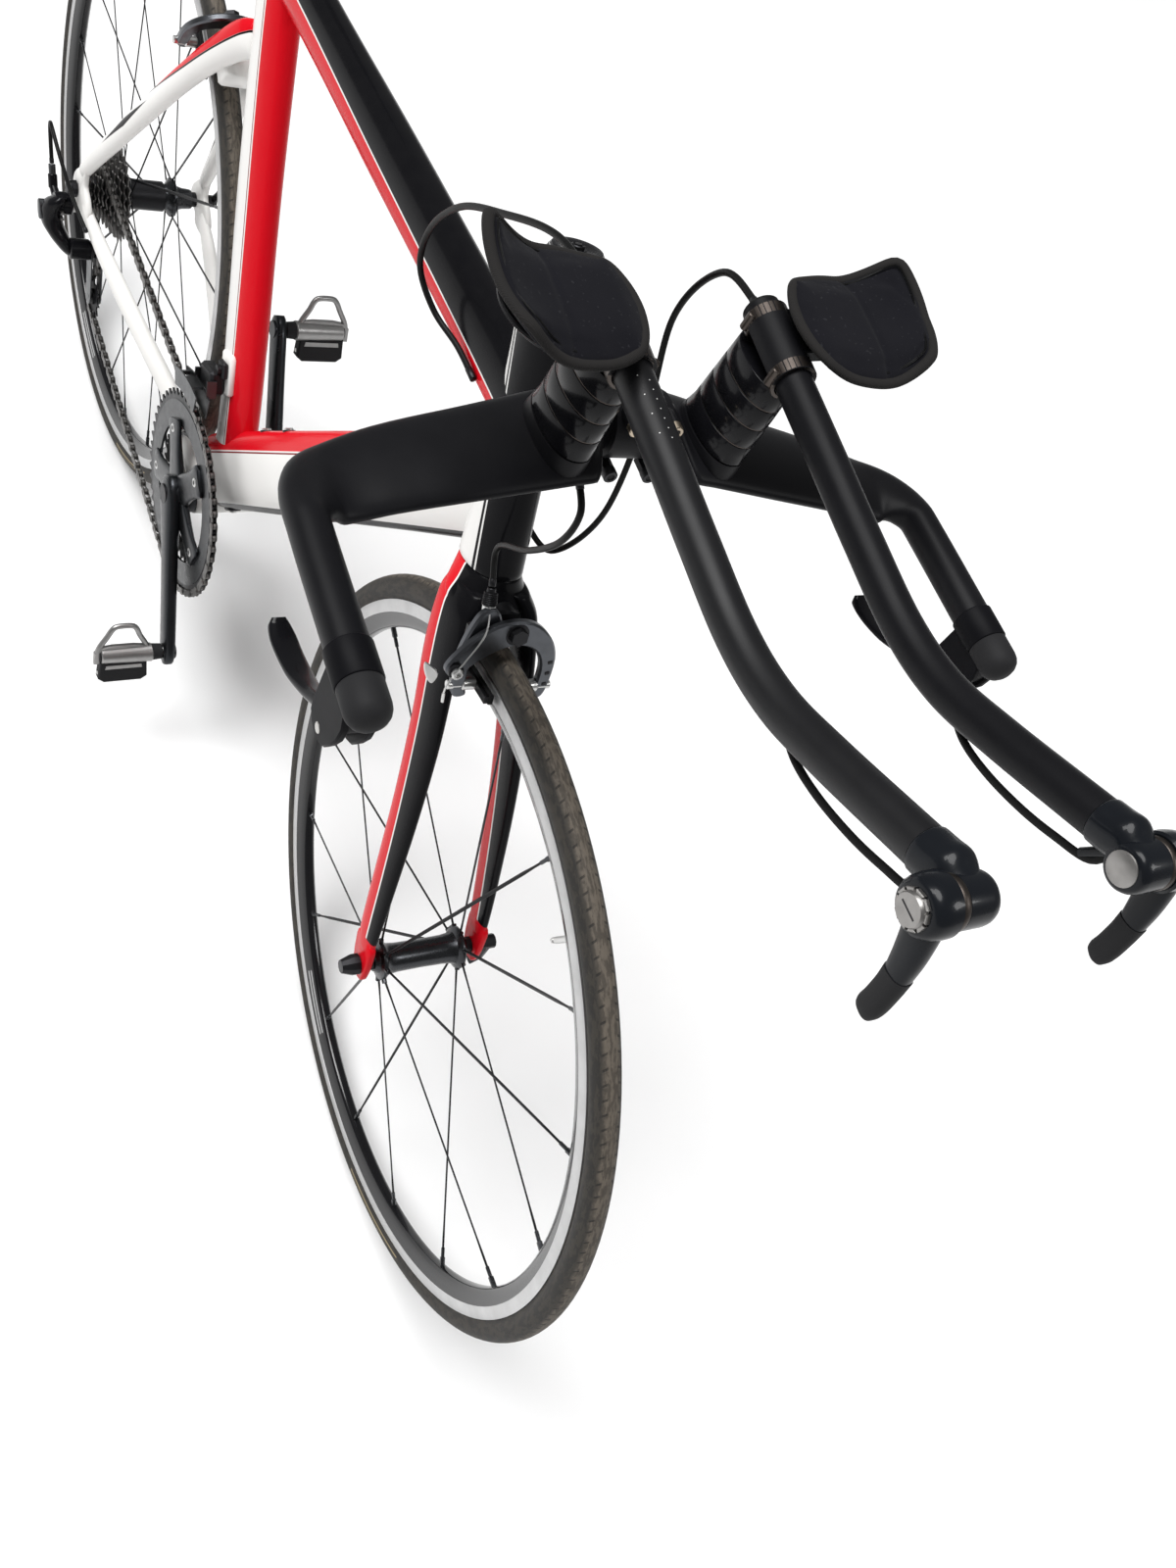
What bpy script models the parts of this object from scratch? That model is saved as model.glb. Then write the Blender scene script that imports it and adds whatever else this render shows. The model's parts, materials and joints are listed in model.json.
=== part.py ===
"""Time trial road bike: aero frame, base bar with clip-on extensions, 2 x 10 gears.

Axes: +X is forward, +Y is the rider's left, +Z is up.  The origin lies on the
ground below the crank axle.  All sizes are in metres.
"""
import math

import bmesh
import bpy
from mathutils import Matrix, Vector

# Overall sizes
TYRE_RADIUS = 0.334
WHEELBASE = 0.9958
CHAINSTAY = 0.4034
BB_DROP = 0.0669
HEAD_ANGLE = math.radians(72.6)
FORK_RAKE = 0.044
CRANK_LENGTH = 0.1725
STEER_ANGLE = math.radians(-3.2)
CRANK_ANGLE = math.radians(39.3)
GAP = 0.0003

# Wheels
TYRE_WIDTH = 0.023
RIM_RADIUS = 0.3132
RIM_DEPTH = 0.0247
TRACK_DEPTH = 0.011
RIM_WIDTH = 0.0196
WHEEL_SEGMENTS = 36
FRONT_SPOKES = 16
REAR_SPOKES = 20
FRONT_SPOKE_PHASE = math.radians(78.9)
REAR_LACING = math.radians(62)
FRONT_AXLE_WIDTH = 0.100
REAR_AXLE_WIDTH = 0.130
AXLE_RADIUS = 0.0045
REAR_AXLE_RADIUS = 0.005
DROPOUT_THICKNESS = 0.006

# Frame tubes, as half depth and half width
TOP_TUBE_SIZE = (0.0265, 0.0185)
DOWN_TUBE_SIZE = (0.0405, 0.0175)
SEAT_TUBE_SIZE = (0.034, 0.0165)
HEAD_TUBE_SIZE = (0.030, 0.0215)
HEAD_TUBE_LOW = 0.380
HEAD_TUBE_HIGH = 0.560
STEERER_RADIUS = 0.0143
BB_SHELL_RADIUS = 0.0215
BB_SHELL_WIDTH = 0.068
SEAT_TUBE_TOP = 0.800

# Drivetrain
PITCH = 0.0127
BIG_RING_TEETH = 53
SMALL_RING_TEETH = 39
COGS = (11, 12, 13, 14, 15, 17, 19, 21, 23, 25)
CHAIN_COG = 4
COG_PITCH = 0.00395
FIRST_COG_Y = -0.0612
COG_THICKNESS = 0.0017
RING_THICKNESS = 0.0019
RING_SPACING = 0.0072
JOCKEY_TEETH = 11
ROLLER_HALF = 0.0021
PLATE_HALF = 0.0040
TOOTH_TIP = 0.0030
CRANK_FACE = 0.073
BB_CUP_FACE = 0.0450
BB_AXLE_RADIUS = 0.0120
BOTTLE_SHARES = (0.235, 0.330)
CAGE_LENGTH = 0.056
GUIDE_PULLEY = (-0.384, 0.262)
ARM_ROOT_Y = 0.0560
RING_BAND = (0.0735, 0.0610)
SPIDER_REACH = 0.0765
PEDAL_THREAD = 0.0068
CHAIN_LANE = (0.0015, 0.0031)

# Cockpit, before the bars are turned
BAR_END_Y = 0.2154
HORN_RADIUS = 0.0120
HORN_TIP_X = 0.655
HORN_HEIGHT = 0.866
WING_CENTRE = (0.4955, 0.8835)
WING_HALF_CHORD = (0.0410, 0.0290)
WING_HALF_THICK = 0.0090
EXTENSION_RADIUS = 0.0111
EXTENSION_Y = 0.0545
PAD_Y = 0.097
PAD_X = 0.519
PAD_Z = 0.983
PAD_LENGTH = 0.082
PAD_WIDTH = 0.090
PAD_THICKNESS = 0.011
BAR_CLAMP_RADIUS = 0.0159

# Derived places
REAR_AXLE = Vector((-math.sqrt(CHAINSTAY ** 2 - BB_DROP ** 2), 0.0, TYRE_RADIUS))
FRONT_AXLE = Vector((REAR_AXLE.x + WHEELBASE, 0.0, TYRE_RADIUS))
BB = Vector((0.0, 0.0, TYRE_RADIUS - BB_DROP))
STEER_UP = Vector((-math.cos(HEAD_ANGLE), 0.0, math.sin(HEAD_ANGLE)))
STEER_FORWARD = Vector((math.sin(HEAD_ANGLE), 0.0, math.cos(HEAD_ANGLE)))
STEER_BASE = FRONT_AXLE - STEER_FORWARD * FORK_RAKE
CHAIN_Y = FIRST_COG_Y + CHAIN_COG * COG_PITCH
SIDE = Vector((0.0, 1.0, 0.0))

PARTS = None


def clear_scene():
    for ob in list(bpy.data.objects):
        bpy.data.objects.remove(ob, do_unlink=True)


def new_collection(name):
    coll = bpy.data.collections.new(name)
    bpy.context.scene.collection.children.link(coll)
    return coll


def material(name, colour, roughness, metallic=0.0):
    found = bpy.data.materials.get(name)
    if found:
        return found
    mat = bpy.data.materials.new(name)
    mat.use_nodes = True
    shader = mat.node_tree.nodes["Principled BSDF"]
    shader.inputs["Base Color"].default_value = (*colour, 1.0)
    shader.inputs["Roughness"].default_value = roughness
    shader.inputs["Metallic"].default_value = metallic
    return mat


# Mesh helpers

def steer_point(up, forward=0.0, side=0.0):
    """A point given along the steering axis, ahead of it and to the left of it."""
    return STEER_BASE + STEER_UP * up + STEER_FORWARD * forward + SIDE * side


def frame_matrix(origin, x_axis, y_axis):
    """Places local X and Y along the given directions, with Z square to both."""
    x = Vector(x_axis).normalized()
    y = Vector(y_axis)
    y = (y - x * y.dot(x)).normalized()
    z = x.cross(y)
    m = Matrix((x, y, z)).transposed().to_4x4()
    m.translation = Vector(origin)
    return m


def axis_matrix(origin, axis):
    """Places local Z along an axis."""
    z = Vector(axis).normalized()
    m = z.to_track_quat("Z", "Y").to_matrix().to_4x4()
    m.translation = Vector(origin)
    return m


def add_mesh_object(name, mesh):
    ob = bpy.data.objects.new(name, mesh)
    PARTS.objects.link(ob)
    return ob


def from_bmesh(name, bm):
    bmesh.ops.remove_doubles(bm, verts=bm.verts, dist=1e-6)
    bmesh.ops.recalc_face_normals(bm, faces=bm.faces)
    mesh = bpy.data.meshes.new(name)
    bm.to_mesh(mesh)
    bm.free()
    return add_mesh_object(name, mesh)


def applied(ob):
    """Replaces an object by the mesh that its curve and modifiers give, welded."""
    bpy.context.view_layer.update()
    graph = bpy.context.evaluated_depsgraph_get()
    mesh = bpy.data.meshes.new_from_object(ob.evaluated_get(graph))
    bm = bmesh.new()
    bm.from_mesh(mesh)
    bm.transform(ob.matrix_world)
    bmesh.ops.remove_doubles(bm, verts=bm.verts, dist=1e-6)
    bmesh.ops.recalc_face_normals(bm, faces=bm.faces)
    bm.to_mesh(mesh)
    bm.free()
    name = ob.name
    bpy.data.objects.remove(ob, do_unlink=True)
    return add_mesh_object(name, mesh)


def loft(name, rings):
    """A closed skin through rings of equal point counts, with flat ends."""
    bm = bmesh.new()
    loops = [[bm.verts.new(p) for p in ring] for ring in rings]
    for a, b in zip(loops, loops[1:]):
        count = len(a)
        for i in range(count):
            j = (i + 1) % count
            bm.faces.new((a[i], a[j], b[j], b[i]))
    bm.faces.new(loops[0])
    bm.faces.new(loops[-1])
    return from_bmesh(name, bm)


def oval(centre, u, v, a, b, count=16, power=1.0):
    """Points round an oval; a power under 1 squares it off."""
    points = []
    for i in range(count):
        t = math.tau * (i + 0.5) / count
        c = math.copysign(abs(math.cos(t)) ** power, math.cos(t))
        s = math.copysign(abs(math.sin(t)) ** power, math.sin(t))
        points.append(Vector(centre) + Vector(u) * (a * c) + Vector(v) * (b * s))
    return points


def tapered_tube(name, stations, count=16, power=1.0):
    """A loft along stations of (point, half depth, half width).

    The depth lies square to the path in the bike's middle plane.
    """
    rings = []
    last = len(stations) - 1
    for i, (point, depth, width) in enumerate(stations):
        before = Vector(stations[max(i - 1, 0)][0])
        after = Vector(stations[min(i + 1, last)][0])
        along = (after - before).normalized()
        flat = SIDE - along * SIDE.dot(along)
        flat.normalize()
        deep = flat.cross(along)
        rings.append(oval(point, deep, flat, depth, width, count, power))
    return loft(name, rings)


def tube(name, points, radius, resolution=2):
    """A round tube on a poly line with filled ends."""
    curve = bpy.data.curves.new(name, "CURVE")
    curve.dimensions = "3D"
    curve.bevel_depth = radius
    curve.bevel_resolution = resolution
    curve.use_fill_caps = True
    spline = curve.splines.new("POLY")
    spline.points.add(len(points) - 1)
    for target, p in zip(spline.points, points):
        target.co = (*p, 1.0)
    ob = bpy.data.objects.new(name, curve)
    PARTS.objects.link(ob)
    return applied(ob)


def smooth_path(points, steps):
    """Even points on a smooth curve through the given ones."""
    pts = [Vector(p) for p in points]
    pts = [pts[0] * 2 - pts[1]] + pts + [pts[-1] * 2 - pts[-2]]
    dense = []
    for i in range(1, len(pts) - 2):
        p0, p1, p2, p3 = pts[i - 1:i + 3]
        for k in range(12):
            t = k / 12
            dense.append(0.5 * (2 * p1 + (p2 - p0) * t + (2 * p0 - 5 * p1 + 4 * p2 - p3) * t * t
                                + (3 * p1 - p0 - 3 * p2 + p3) * t ** 3))
    dense.append(pts[-2])
    lengths = [0.0]
    for a, b in zip(dense, dense[1:]):
        lengths.append(lengths[-1] + (b - a).length)
    out = []
    k = 0
    for i in range(steps + 1):
        want = lengths[-1] * i / steps
        while k < len(dense) - 2 and lengths[k + 1] < want:
            k += 1
        share = (want - lengths[k]) / max(lengths[k + 1] - lengths[k], 1e-9)
        out.append(dense[k].lerp(dense[k + 1], share))
    return out


def turned(name, profile, matrix, segments=24, ring=False):
    """A profile of (radius, height) turned about local Z; ring closes it round a bore."""
    bm = bmesh.new()
    verts = [bm.verts.new((r, 0.0, h)) for r, h in profile]
    for a, b in zip(verts, verts[1:]):
        bm.edges.new((a, b))
    if ring:
        bm.edges.new((verts[-1], verts[0]))
    mesh = bpy.data.meshes.new(name)
    bm.to_mesh(mesh)
    bm.free()
    ob = add_mesh_object(name, mesh)
    screw = ob.modifiers.new("turn", "SCREW")
    screw.steps = segments
    screw.render_steps = segments
    screw.use_merge_vertices = True
    screw.merge_threshold = 0.00001
    screw.use_smooth_shade = False
    ob.matrix_world = matrix
    return applied(ob)


def rod(name, a, b, radius, segments=16, end_radius=None):
    """A cylinder or cone between two points."""
    a = Vector(a)
    b = Vector(b)
    bm = bmesh.new()
    bmesh.ops.create_cone(bm, cap_ends=True, segments=segments, radius1=radius,
                          radius2=radius if end_radius is None else end_radius,
                          depth=(b - a).length)
    bm.transform(axis_matrix((a + b) / 2, b - a))
    return from_bmesh(name, bm)


def block(name, centre, size, x_axis=(1, 0, 0), y_axis=(0, 1, 0), bevel=0.0):
    bm = bmesh.new()
    bmesh.ops.create_cube(bm, size=1.0)
    bmesh.ops.scale(bm, vec=size, verts=bm.verts)
    if bevel:
        bmesh.ops.bevel(bm, geom=bm.edges[:], offset=bevel, segments=1, affect="EDGES")
    bm.transform(frame_matrix(centre, x_axis, y_axis))
    return from_bmesh(name, bm)


def plate(name, outline, thickness, matrix, holes=()):
    """A flat outline, with holes, drawn in local X and Y and extruded both ways."""
    curve = bpy.data.curves.new(name, "CURVE")
    curve.dimensions = "2D"
    curve.fill_mode = "BOTH"
    curve.extrude = thickness / 2
    for loop in (outline, *holes):
        spline = curve.splines.new("POLY")
        spline.points.add(len(loop) - 1)
        for target, p in zip(spline.points, loop):
            target.co = (p[0], p[1], 0.0, 1.0)
        spline.use_cyclic_u = True
    ob = bpy.data.objects.new(name, curve)
    PARTS.objects.link(ob)
    ob.matrix_world = matrix
    return applied(ob)


def circle(radius, count):
    return [(radius * math.cos(math.tau * i / count), radius * math.sin(math.tau * i / count))
            for i in range(count)]


def joined(name, objects):
    """Several meshes as one, still separate bodies."""
    bm = bmesh.new()
    for ob in objects:
        part = ob.data.copy()
        part.transform(ob.matrix_world)
        bm.from_mesh(part)
        bpy.data.meshes.remove(part)
        bpy.data.objects.remove(ob, do_unlink=True)
    mesh = bpy.data.meshes.new(name)
    bm.to_mesh(mesh)
    bm.free()
    return add_mesh_object(name, mesh)


def boolean(ob, other, operation, self_crossing=False):
    mod = ob.modifiers.new(operation.lower(), "BOOLEAN")
    mod.operation = operation
    mod.solver = "EXACT"
    mod.use_self = self_crossing
    mod.object = other
    bpy.context.view_layer.update()
    graph = bpy.context.evaluated_depsgraph_get()
    mesh = bpy.data.meshes.new_from_object(ob.evaluated_get(graph))
    ob.modifiers.clear()
    ob.data = mesh
    bpy.data.objects.remove(other, do_unlink=True)
    return ob


def fuse(ob, *others):
    for other in others:
        boolean(ob, other, "UNION")
    return ob


def cut(ob, *cutters):
    for cutter in cutters:
        boolean(ob, cutter, "DIFFERENCE")
    return ob


def finish(ob, name, mat, flat=False):
    """Cleans a piece's mesh, names it and gives it its material."""
    bm = bmesh.new()
    bm.from_mesh(ob.data)
    bmesh.ops.remove_doubles(bm, verts=bm.verts, dist=2e-6)
    bmesh.ops.dissolve_degenerate(bm, dist=2e-6, edges=bm.edges)
    if flat:
        bmesh.ops.dissolve_limit(bm, angle_limit=math.radians(0.3), verts=bm.verts, edges=bm.edges)
    bmesh.ops.triangulate(bm, faces=bm.faces)
    bm.to_mesh(ob.data)
    bm.free()
    ob.name = name
    ob.data.name = name
    ob.data.materials.clear()
    ob.data.materials.append(mat)
    ob.data.shade_smooth()
    ob.data.set_sharp_from_angle(angle=math.radians(35))
    return ob


def pivot(name, point, parent=None):
    """An empty on a joint's axis."""
    ob = bpy.data.objects.new(name, None)
    PARTS.objects.link(ob)
    ob.matrix_world = Matrix.Translation(Vector(point))
    if parent:
        attach(ob, parent)
    return ob


def attach(ob, parent):
    bpy.context.view_layer.update()
    world = ob.matrix_world.copy()
    ob.parent = parent
    ob.matrix_parent_inverse = parent.matrix_world.inverted()
    ob.matrix_basis = world
    return ob


def turn(empty, axis, angle):
    bpy.context.view_layer.update()
    where = empty.matrix_world.translation.copy()
    base = empty.matrix_world.copy()
    spin = Matrix.Translation(where) @ Matrix.Rotation(angle, 4, axis) @ Matrix.Translation(-where)
    if empty.parent:
        empty.matrix_basis = empty.matrix_parent_inverse.inverted() @ (
            empty.parent.matrix_world.inverted() @ (spin @ base))
    else:
        empty.matrix_basis = spin @ base
    bpy.context.view_layer.update()


# Frame

DOWN_TUBE_FOOT = BB + Vector((-0.0195, 0.0, 0.0150))
DOWN_TUBE_HEAD = steer_point(0.4446)
TOP_TUBE_HEAD = steer_point(0.499)
SEAT_TUBE_LINE = ((0.014, 0.285), (-0.010, 0.375), (-0.046, 0.470), (-0.080, 0.552),
                  (-0.113, 0.640), (-0.140, 0.7215), (-0.166, SEAT_TUBE_TOP))
SEAT_UP = Vector((-0.026, 0.0, 0.0785)).normalized()
SEAT_TOP = Vector((-0.166, 0.0, SEAT_TUBE_TOP))
SEATPOST_SIZE = (0.0175, 0.0095)
SEATPOST_OUT = 0.118
SEATPOST_IN = 0.080
SEATPOST_DROP = 0.030
STAY_Y = REAR_AXLE_WIDTH / 2 + GAP + DROPOUT_THICKNESS / 2
BRIDGE_ANGLE = math.radians(55.5)
BRIDGE_FRONT = -0.009
BRIDGE_REAR = 0.021


def frame_paint(kind):
    colours = {"white": (0.86, 0.85, 0.83), "red": (0.70, 0.012, 0.020), "black": (0.012, 0.012, 0.014)}
    return material("paint_" + kind, colours[kind], 0.22)


def head_tube_solid(extra=0.0):
    depth, width = HEAD_TUBE_SIZE
    middle = (HEAD_TUBE_LOW + HEAD_TUBE_HIGH) / 2
    rings = []
    for up, share in ((HEAD_TUBE_LOW - extra, 1.0), (HEAD_TUBE_LOW + 0.03, 0.95), (middle, 0.87),
                      (HEAD_TUBE_HIGH - 0.03, 0.92), (HEAD_TUBE_HIGH + extra, 0.97)):
        centre = steer_point(up, -0.006)
        rings.append(oval(centre, STEER_FORWARD, SIDE, depth * share + extra,
                          width * share + extra, 16, 0.9))
    return loft("head_tube_solid", rings)


def top_tube_solid(extra=0.0):
    depth, width = TOP_TUBE_SIZE
    start = TOP_TUBE_HEAD + Vector((-0.004, 0.0, 0.0))
    end = Vector((-0.140, 0.0, 0.772))
    middle = start.lerp(end, 0.5)
    stations = [(start, depth * 1.04 + extra, width * 1.08 + extra),
                (start.lerp(end, 0.15), depth + extra, width + extra),
                (middle, depth * 0.98 + extra, width * 0.97 + extra),
                (start.lerp(end, 0.85), depth * 0.92 + extra, width * 0.86 + extra),
                (end, depth * 0.94 + extra, width * 0.86 + extra)]
    return tapered_tube("top_tube_solid", stations, 14, 0.85)


def down_tube_solid(extra=0.0):
    depth, width = DOWN_TUBE_SIZE
    foot = DOWN_TUBE_FOOT
    head = DOWN_TUBE_HEAD
    stations = []
    for share, d, w in ((-0.035, 0.80, 1.25), (0.03, 0.98, 1.50), (0.12, 1.0, 1.08), (0.35, 1.0, 0.98),
                        (0.75, 0.98, 0.96), (0.93, 0.99, 1.02), (1.0, 0.97, 1.06)):
        stations.append((foot.lerp(head, share), depth * d + extra, width * w + extra))
    return tapered_tube("down_tube_solid", stations, 14, 0.85)


def seat_tube_solid(extra=0.0):
    depth, width = SEAT_TUBE_SIZE
    stations = []
    shares = (0.92, 1.0, 1.0, 1.0, 1.0, 0.95, 0.90)
    for (x, z), share in zip(SEAT_TUBE_LINE, shares):
        stations.append((Vector((x, 0.0, z)), depth * share + extra, width + extra))
    return tapered_tube("seat_tube_solid", stations, 14, 0.85)


def bb_shell_solid(extra=0.0, half=BB_SHELL_WIDTH / 2):
    return rod("bb_shell", BB - SIDE * (half + extra), BB + SIDE * (half + extra),
               BB_SHELL_RADIUS + extra, 18)


def make_head_tube():
    ob = head_tube_solid()
    bore = rod("bore", steer_point(HEAD_TUBE_LOW - 0.01), steer_point(HEAD_TUBE_HIGH + 0.01),
               STEERER_RADIUS + GAP, 16)
    cut(ob, bore)
    return finish(ob, "head_tube", frame_paint("black"))


def make_top_tube():
    ob = top_tube_solid()
    cut(ob, head_tube_solid(GAP), seat_tube_solid(GAP))
    return finish(ob, "top_tube", frame_paint("black"))


def bottle_boss(share):
    """A bolt head on the down tube's upper face."""
    along = (DOWN_TUBE_HEAD - DOWN_TUBE_FOOT).normalized()
    up = Vector((-along.z, 0.0, along.x))
    seat = DOWN_TUBE_FOOT.lerp(DOWN_TUBE_HEAD, share) + up * (DOWN_TUBE_SIZE[0] * 0.98)
    return rod("boss", seat - up * 0.006, seat + up * 0.0035, 0.0045, 8)


def make_down_tube():
    """The down tube with the bottom bracket shell, its cups and the bottle bolts."""
    ob = down_tube_solid()
    fuse(ob, bb_shell_solid())
    for side in (-1, 1):
        inner = BB + SIDE * side * (BB_SHELL_WIDTH / 2 - 0.002)
        outer = BB + SIDE * side * BB_CUP_FACE
        fuse(ob, rod("cup", inner, outer, BB_SHELL_RADIUS - 0.0012, 16))
    for share in BOTTLE_SHARES:
        fuse(ob, bottle_boss(share))
    bore = rod("bore", BB - SIDE * 0.06, BB + SIDE * 0.06, BB_AXLE_RADIUS + GAP, 16)
    cut(ob, bore, head_tube_solid(GAP), top_tube_solid(GAP))
    return finish(ob, "down_tube", frame_paint("white"))


def seatpost_solid(extra=0.0, below=0.0):
    depth, width = SEATPOST_SIZE
    foot = SEAT_TOP - SEAT_UP * (SEATPOST_IN + below)
    head = SEAT_TOP + SEAT_UP * SEATPOST_OUT
    flat = SEAT_UP.cross(SIDE)
    rings = [oval(p, flat, SIDE, depth + extra, width + extra, 16, 0.9) for p in (foot, head)]
    return loft("seatpost_solid", rings)


def make_seat_tube():
    ob = seat_tube_solid()
    cut(ob, bb_shell_solid(GAP), down_tube_solid(GAP), seatpost_solid(GAP, SEATPOST_DROP + 0.002))
    tab_centre = Vector((-0.022, -0.0175, 0.420))
    fuse(ob, block("mech_tab", tab_centre, (0.026, 0.006, 0.042), (0.93, 0, 0.37), SIDE, 0.0015))
    return finish(ob, "seat_tube", frame_paint("red"))


def stay_stations(points, sizes, side):
    return [(Vector((x, y * side, z)), a, b) for (x, y, z), (a, b) in zip(points, sizes)]


CHAIN_STAY_LINE = ((-0.010, 0.0245, 0.2760), (-0.060, 0.0260, 0.2850), (-0.115, 0.0300, 0.2945),
                   (-0.170, 0.0390, 0.3025), (-0.245, 0.0520, 0.3130), (-0.330, 0.0640, 0.3250),
                   (-0.372, 0.0680, 0.3310))
CHAIN_STAY_SIZES = ((0.0170, 0.0105), (0.0155, 0.0088), (0.0140, 0.0085), (0.0130, 0.0088),
                    (0.0125, 0.0085), (0.0110, 0.0068), (0.0095, 0.0045))
SEAT_STAY_LINE = ((-0.3895, 0.0683, 0.3640), (-0.3700, 0.0640, 0.3960), (-0.3350, 0.0550, 0.4500),
                  (-0.2890, 0.0425, 0.5220), (-0.2440, 0.0305, 0.5900), (-0.2020, 0.0215, 0.6450),
                  (-0.1650, 0.0120, 0.6850), (-0.1150, 0.0060, 0.7150))
SEAT_STAY_SIZES = ((0.0085, 0.0060), (0.0100, 0.0068), (0.0110, 0.0075), (0.0120, 0.0080),
                   (0.0130, 0.0082), (0.0150, 0.0090), (0.0180, 0.0100), (0.0200, 0.0100))
DROPOUT_OUTLINE = ((-0.352, 0.318), (-0.348, 0.336), (-0.362, 0.349), (-0.376, 0.356), (-0.376, 0.380),
                   (-0.3865, 0.378), (-0.3995, 0.362), (-0.4130, 0.346), (-0.4160, 0.332), (-0.4110, 0.316),
                   (-0.4030, 0.3215), (-0.3925, 0.3215), (-0.3850, 0.312), (-0.368, 0.312))
HANGER_OUTLINE = ((-0.4160, 0.332), (-0.4130, 0.318), (-0.4150, 0.306), (-0.4110, 0.2990), (-0.4030, 0.2985),
                  (-0.3985, 0.3040), (-0.4015, 0.3215), (-0.4060, 0.330))
HANGER_BOLT = (-0.4070, 0.3060)


def side_matrix(y):
    """Local X and Y become the bike's X and Z, in a plane at this Y."""
    return frame_matrix((0.0, y, 0.0), (1, 0, 0), (0, 0, 1))


def seat_stay_solid(side, extra=0.0):
    sizes = [(a + extra, b + extra) for a, b in SEAT_STAY_SIZES]
    return tapered_tube("seat_stay", stay_stations(SEAT_STAY_LINE, sizes, side), 10)


def make_chain_stay(side, name):
    stations = stay_stations(CHAIN_STAY_LINE, CHAIN_STAY_SIZES, side)
    ob = tapered_tube("chain_stay", stations, 10)
    fuse(ob, plate("dropout", DROPOUT_OUTLINE, DROPOUT_THICKNESS, side_matrix(side * STAY_Y)))
    if side < 0:
        fuse(ob, plate("hanger", HANGER_OUTLINE, DROPOUT_THICKNESS + 0.001, side_matrix(side * STAY_Y)))
    slot_end = REAR_AXLE + Vector((0.002, 0.0, -0.03))
    slot = REAR_AXLE_RADIUS + GAP
    hole = rod("axle_slot", REAR_AXLE + SIDE * side * 0.04, REAR_AXLE + SIDE * side * 0.09, slot, 16)
    mouth = block("mouth", (REAR_AXLE + slot_end) / 2 + SIDE * side * 0.068,
                  (slot * 2, 0.03, 0.031), (1, 0, 0.066), SIDE)
    cut(ob, fuse(hole, mouth), seat_stay_solid(side, GAP), down_tube_solid(GAP),
        bb_shell_solid(GAP, BB_CUP_FACE), seat_tube_solid(GAP))
    if side < 0:
        x, z = HANGER_BOLT
        cut(ob, rod("bolt_hole", (x, side * 0.05, z), (x, side * 0.09, z), 0.0035 + GAP, 12))
    return finish(ob, name, frame_paint("white"))


def bridge_point(out):
    """A point at a distance from the rear axle, on the line through the brake bolt."""
    return REAR_AXLE + Vector((math.cos(BRIDGE_ANGLE), 0.0, math.sin(BRIDGE_ANGLE))) * out


def make_seat_stays():
    ob = seat_stay_solid(1)
    fuse(ob, seat_stay_solid(-1))
    along = (bridge_point(1.0) - bridge_point(0.0)).normalized()
    back = SIDE.cross(along) * -1
    centre = bridge_point(0.3640) + back * (BRIDGE_FRONT + BRIDGE_REAR) / 2
    size = (0.026, 0.040, BRIDGE_REAR - BRIDGE_FRONT)
    fuse(ob, block("bridge", centre, size, along, SIDE, 0.003))
    cut(ob, seat_tube_solid(GAP), top_tube_solid(GAP))
    return finish(ob, "seat_stays", frame_paint("white"))


# Fork, stem and bars, drawn with the wheel straight ahead

FORK_STATIONS = ((0.368, 0.002, 0.0150, 0.0250, 0.0110), (0.350, 0.006, 0.0255, 0.0265, 0.0095),
                 (0.310, 0.013, 0.0325, 0.0260, 0.0078), (0.250, 0.026, 0.0372, 0.0240, 0.0068),
                 (0.180, 0.0350, 0.0425, 0.0210, 0.0062), (0.100, 0.0400, 0.0482, 0.0180, 0.0056),
                 (0.040, 0.0425, 0.0522, 0.0155, 0.0045), (0.018, 0.0430, 0.0533, 0.0135, 0.0035))
FORK_TIP_OUTLINE = ((-0.0130, 0.032), (-0.0150, 0.014), (-0.0120, -0.004), (-0.0075, -0.0130),
                    (-0.0048, -0.0140),
                    (0.0048, -0.0140), (0.0085, -0.0120), (0.0125, -0.003), (0.0150, 0.014), (0.0130, 0.032))
CROWN_LOW = 0.346
STEM_LOW = HEAD_TUBE_HIGH + GAP
STEM_HIGH = 0.6120
STEERER_TOP = 0.6080


def metal_black():
    return material("metal_black", (0.018, 0.018, 0.020), 0.35, 0.6)


def matte_black():
    return material("matte_black", (0.016, 0.017, 0.018), 0.55)


def gloss_black():
    return material("gloss_black", (0.010, 0.010, 0.011), 0.18)


def rubber():
    return material("rubber", (0.020, 0.020, 0.021), 0.80)


def steel():
    return material("steel", (0.56, 0.56, 0.55), 0.28, 1.0)


def grey_metal():
    return material("grey_metal", (0.11, 0.115, 0.12), 0.30, 0.9)


def fork_leg(side):
    rings = []
    for up, forward, y, depth, width in FORK_STATIONS:
        rings.append(oval(steer_point(up, forward, y * side), STEER_FORWARD, SIDE, depth, width, 10, 0.85))
    return loft("fork_leg", rings)


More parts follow.
